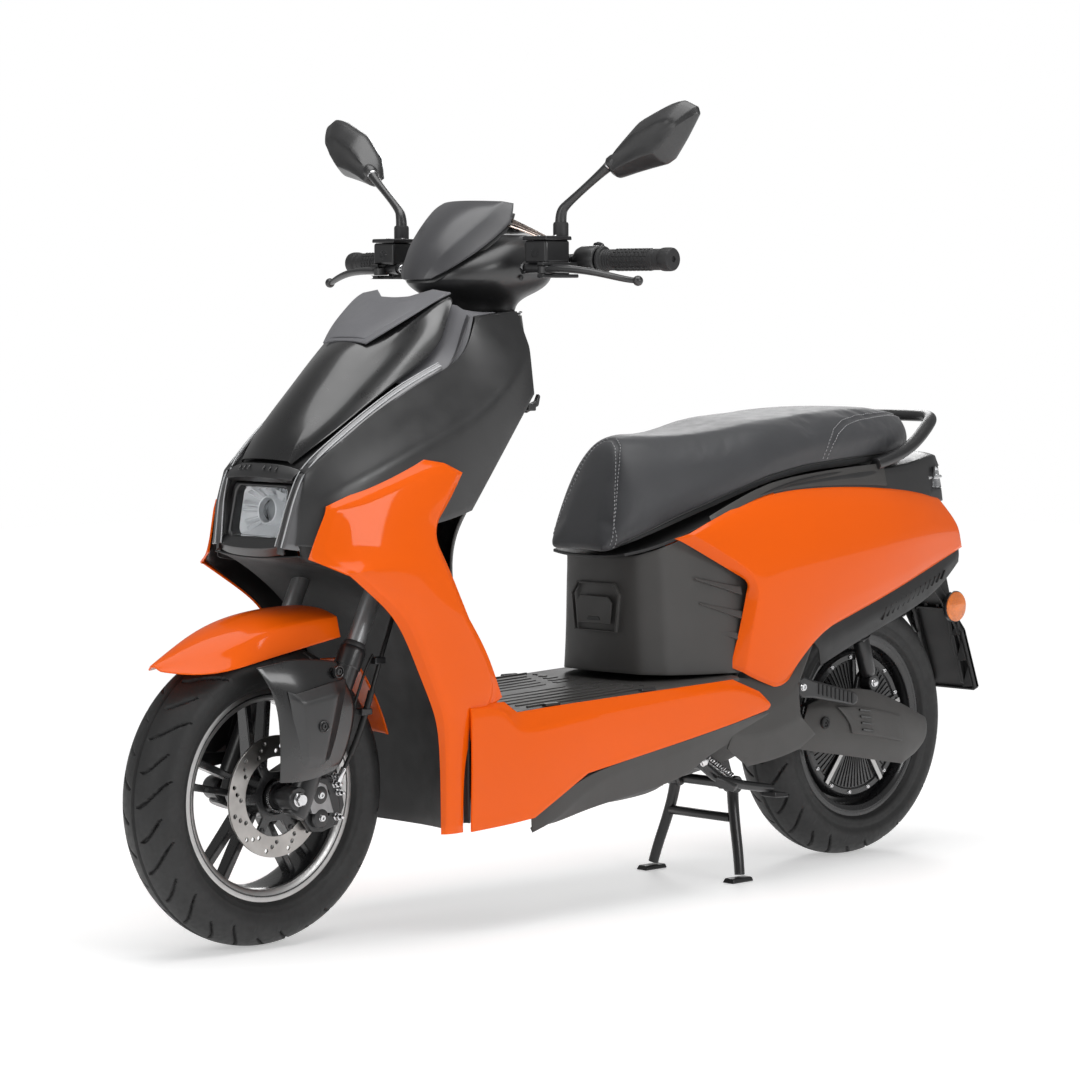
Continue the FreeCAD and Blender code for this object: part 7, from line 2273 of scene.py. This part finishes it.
# ---------------------------------------------------------------- stands and pegs
def stands():
    bar("side_stand_leg", [(-172, 134, 226), (-200, 134, 205), (-230, 136, 186), (-290, 137, 172),
                           (-352, 138, 162)],
        [9, 9, 8.4, 8, 7.6], "side_stand", "frame", ["side_stand"], 3, 10, 16)
    foot = ([(-378, 122, 146), (-342, 122, 148), (-342, 157, 148), (-378, 157, 146)],
            [(-376, 124, 154), (-344, 124, 158), (-344, 155, 158), (-376, 155, 154)])
    blocks("side_stand_foot", [foot], "side_stand", "frame", (), 2.0, 3)
    hub = [(-12, 5.2), (-12, 13.5), (-10, 15), (10, 15), (12, 13.5), (12, 5.2)]
    lathe("side_stand_hub", [hub], (-172, 134, 226), (0, 1, 0), "side_stand", "frame", (), 44)
    tang = ([(-214, 144, 182), (-206, 152, 200), (-196, 152, 196), (-204, 144, 178)],
            [(-240, 162, 172), (-238, 168, 182), (-228, 168, 178), (-230, 162, 168)])
    blocks("side_stand_tang", [tang], "side_stand", "frame", (), 2.2, 2)
    bolt("side_stand_bolt", (-172, 146, 226), (0, 1, 0), 8.4, "chassis", "bright", 6.0, False)
    spring = []
    a, b = Vector((-196, 128, 232)), Vector((-262, 130, 190))
    along = (b - a).normalized()
    side = along.cross(Vector((0, 1, 0))).normalized()
    turns = 13
    for k in range(turns * 8 + 1):
        t = k / (turns * 8)
        w = 2 * math.pi * turns * t
        spring.append(tuple(a.lerp(b, t) + side * 5.4 * math.cos(w) + Vector((0, 1,
                                                                              0)) * 5.4 * math.sin(w)))
    bar("side_stand_spring", spring, 1.4, "side_stand", "bright", (), 3, 2, 8)
    legs = []
    for word, sign in SIDES:
        line = [(-330, sign * 68, 165), (-328, sign * 70, 140), (-322, sign * 82, 92),
                (-314, sign * 98, 40),
                (-310, sign * 104, 12)]
        bar(f"centre_stand_leg_{word}", line, [10.5, 10, 9.4, 9.2, 9.0], "centre_stand", "frame",
            ["centre_stand"] if sign > 0 else (), 3, 8, 16)
        hub = [(-12, 6), (-12, 13.6), (-10.5, 15), (10.5, 15), (12, 13.6), (12, 6)]
        lathe(f"centre_stand_hub_{word}", [hub], (-330, sign * 68, 165), (0, 1, 0), "centre_stand",
              "frame",
              (), 40)
        legs.append(([(-333, sign * 91, 0), (-279, sign * 91, 0), (-279, sign * 117, 0),
                      (-333, sign * 117, 0)],
                     [(-330, sign * 93, 8), (-284, sign * 93, 8), (-284, sign * 115, 8),
                      (-330, sign * 115, 8)]))
    blocks("centre_stand_feet", legs, "centre_stand", "frame", (), 2.0, 2)
    rod("centre_stand_tube", (-322, -72, 107), (-322, 72, 107), 8.0, "centre_stand", "frame")
    rod("centre_stand_pin", (-330, -84, 165), (-330, 84, 165), 5.6, "chassis", "bright")
    for word, sign in SIDES:
        body = f"{word}_peg"
        outline = [(-402, 348), (-402, 324), (-414, 316), (-440, 314), (-548, 293), (-558, 298),
                   (-558, 312),
                   (-548, 318), (-440, 345), (-414, 354)]
        low, high = extrusion(outline, sign * 141, sign * 158)
        blocks(f"peg_{word}", [(low, high)], body, "frame", [f"pillion_peg_{word}"], 3.4, 3)
        ribs = []
        for k in range(9):
            x = -452 - 11 * k
            top_z = 342 - (k * 11 + 12) * 0.255
            a, b = extrusion([(x, top_z), (x - 5, top_z - 1.2), (x - 5, top_z - 21), (x, top_z - 19.6)],
                             sign * 157,
                             sign * 160)
            ribs.append((a, b))
        blocks(f"peg_ribs_{word}", ribs, body, "rubber", (), 0.9, 2)
        bracket = [
            ([(-392, sign * 128, 372), (-392, sign * 128, 318), (-430, sign * 128, 300),
              (-430, sign * 128, 366)],
             [(-394, sign * 135, 362), (-394, sign * 135, 324), (-424, sign * 135, 316),
              (-424, sign * 135, 356)]),
        ]
        blocks(f"peg_bracket_{word}", bracket, "chassis", "frame", (), 2.0, 2)
        bolt(f"peg_bolt_{word}", (-412, sign * 158, 335), (0, sign, 0), 6.0, body, "bright", 4.0)


# ---------------------------------------------------------------- carried-over nodes
KEPT = {
    "main_frame": "frame", "steering_bearings": "bright", "battery": "case", "controller": "cast",
    "storage_bin": "case",
}


def finish_kept_nodes():
    for name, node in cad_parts.items():
        material = M[KEPT.get(name, "frame")]
        node.data.materials.clear()
        node.data.materials.append(material)
        if name in KEPT:
            for polygon in node.data.polygons:
                polygon.material_index = 0


# ---------------------------------------------------------------- studio
def look_at(location, target):
    return (Vector(target) - Vector(location)).to_track_quat("-Z", "Y")


CAMERA_LENS, SENSOR_WIDTH = 121.25, 36
CAMERA_TURN, CAMERA_LIFT, CAMERA_DISTANCE = math.radians(135.85), math.radians(3.665), 6.0715
CAMERA_TARGET = Vector((0.1309, 0, 0.605))
FLOOR_HALF, FLOOR_DROP = 9.0, 0.0005
WORLD_FILL = 0.26


def studio():
    scene = bpy.context.scene
    scene.view_settings.view_transform = "Standard"
    camera_data = bpy.data.cameras.new("camera")
    camera_data.lens = CAMERA_LENS
    camera_data.sensor_width = SENSOR_WIDTH
    camera = bpy.data.objects.new("camera", camera_data)
    scene.collection.objects.link(camera)
    back = Vector((math.sin(CAMERA_TURN) * math.cos(CAMERA_LIFT),
                   -math.cos(CAMERA_TURN) * math.cos(CAMERA_LIFT),
                   math.sin(CAMERA_LIFT)))
    camera.location = CAMERA_TARGET + back * CAMERA_DISTANCE
    camera.rotation_mode = "QUATERNION"
    camera.rotation_quaternion = look_at(camera.location, CAMERA_TARGET)
    scene.camera = camera
    floor_mesh = bpy.data.meshes.new("studio_floor")
    edge = FLOOR_HALF
    floor_mesh.from_pydata([(-edge, -edge, 0), (edge, -edge, 0), (edge, edge, 0), (-edge, edge, 0)], [],
                           [(0, 1, 2, 3)])
    floor = bpy.data.objects.new("studio_floor", floor_mesh)
    scene.collection.objects.link(floor)
    floor.location.z = -FLOOR_DROP
    paper, tree, shader = new_material("studio_paper")
    shader.inputs["Roughness"].default_value = 0.6
    shader.inputs["Specular IOR Level"].default_value = 0.2
    spot = tree.nodes.new("ShaderNodeNewGeometry")
    reach = tree.nodes.new("ShaderNodeVectorMath")
    reach.operation = "LENGTH"
    tree.links.new(spot.outputs["Position"], reach.inputs[0])
    fade = tree.nodes.new("ShaderNodeMapRange")
    fade.interpolation_type = "SMOOTHSTEP"
    fade.inputs["From Min"].default_value = 1.1
    fade.inputs["From Max"].default_value = 3.0
    tree.links.new(reach.outputs["Value"], fade.inputs["Value"])
    tree.links.new(ramp(tree, fade.outputs["Result"], (0.86, 0.86, 0.86, 1), (0, 0, 0, 1), 0.0, 1.0),
                   shader.inputs["Base Color"])
    shader.inputs["Emission Color"].default_value = (1, 1, 1, 1)
    glow = tree.nodes.new("ShaderNodeMapRange")
    glow.inputs["To Min"].default_value = 0.42
    glow.inputs["To Max"].default_value = 1.0
    tree.links.new(fade.outputs["Result"], glow.inputs["Value"])
    tree.links.new(glow.outputs["Result"], shader.inputs["Emission Strength"])
    floor_mesh.materials.append(paper)
    world = bpy.data.worlds.new("studio")
    scene.world = world
    world.use_nodes = True
    nodes, links = world.node_tree.nodes, world.node_tree.links
    nodes.clear()
    out = nodes.new("ShaderNodeOutputWorld")
    mix = nodes.new("ShaderNodeMixShader")
    seen = nodes.new("ShaderNodeBackground")
    seen.inputs["Color"].default_value = (1, 1, 1, 1)
    seen.inputs["Strength"].default_value = 1.0
    fill = nodes.new("ShaderNodeBackground")
    fill.inputs["Color"].default_value = (1, 1, 1, 1)
    fill.inputs["Strength"].default_value = WORLD_FILL
    path = nodes.new("ShaderNodeLightPath")
    links.new(path.outputs["Is Camera Ray"], mix.inputs[0])
    links.new(fill.outputs[0], mix.inputs[1])
    links.new(seen.outputs[0], mix.inputs[2])
    links.new(mix.outputs[0], out.inputs["Surface"])

    def soft_box(name, location, target, width, height, power):
        data = bpy.data.lights.new(name, "AREA")
        data.shape = "RECTANGLE"
        data.size = width
        data.size_y = height
        data.energy = power
        lamp = bpy.data.objects.new(name, data)
        scene.collection.objects.link(lamp)
        lamp.location = location
        lamp.rotation_mode = "QUATERNION"
        lamp.rotation_quaternion = look_at(location, target)

    soft_box("top_light", (0.4, 0.4, 3.6), (0, 0, 0.5), 3.0, 3.0, 82)
    soft_box("key_light", (0.2, 4.2, 2.1), (0, 0, 0.6), 2.2, 0.9, 40)
    soft_box("front_light", (4.4, 0.2, 1.9), (0.4, 0, 0.6), 1.8, 1.8, 24)
    soft_box("rear_light", (-3.2, -2.6, 2.4), (0, 0, 0.8), 1.4, 1.4, 34)


# ---------------------------------------------------------------- assembly
finish_kept_nodes()
front_wheel()
rear_wheel()
front_fork()
caliper_and_hose()
handlebar()
switch_gear()
mirrors()
handlebar_cover()
flyscreen()
front_cowl()
nose()
headlight()
painted_sides()
inner_shield()
floor_board()
belly()
pillar()
seat()
tail()
rear_arch()
rear_drive()
shocks()
stands()
studio()
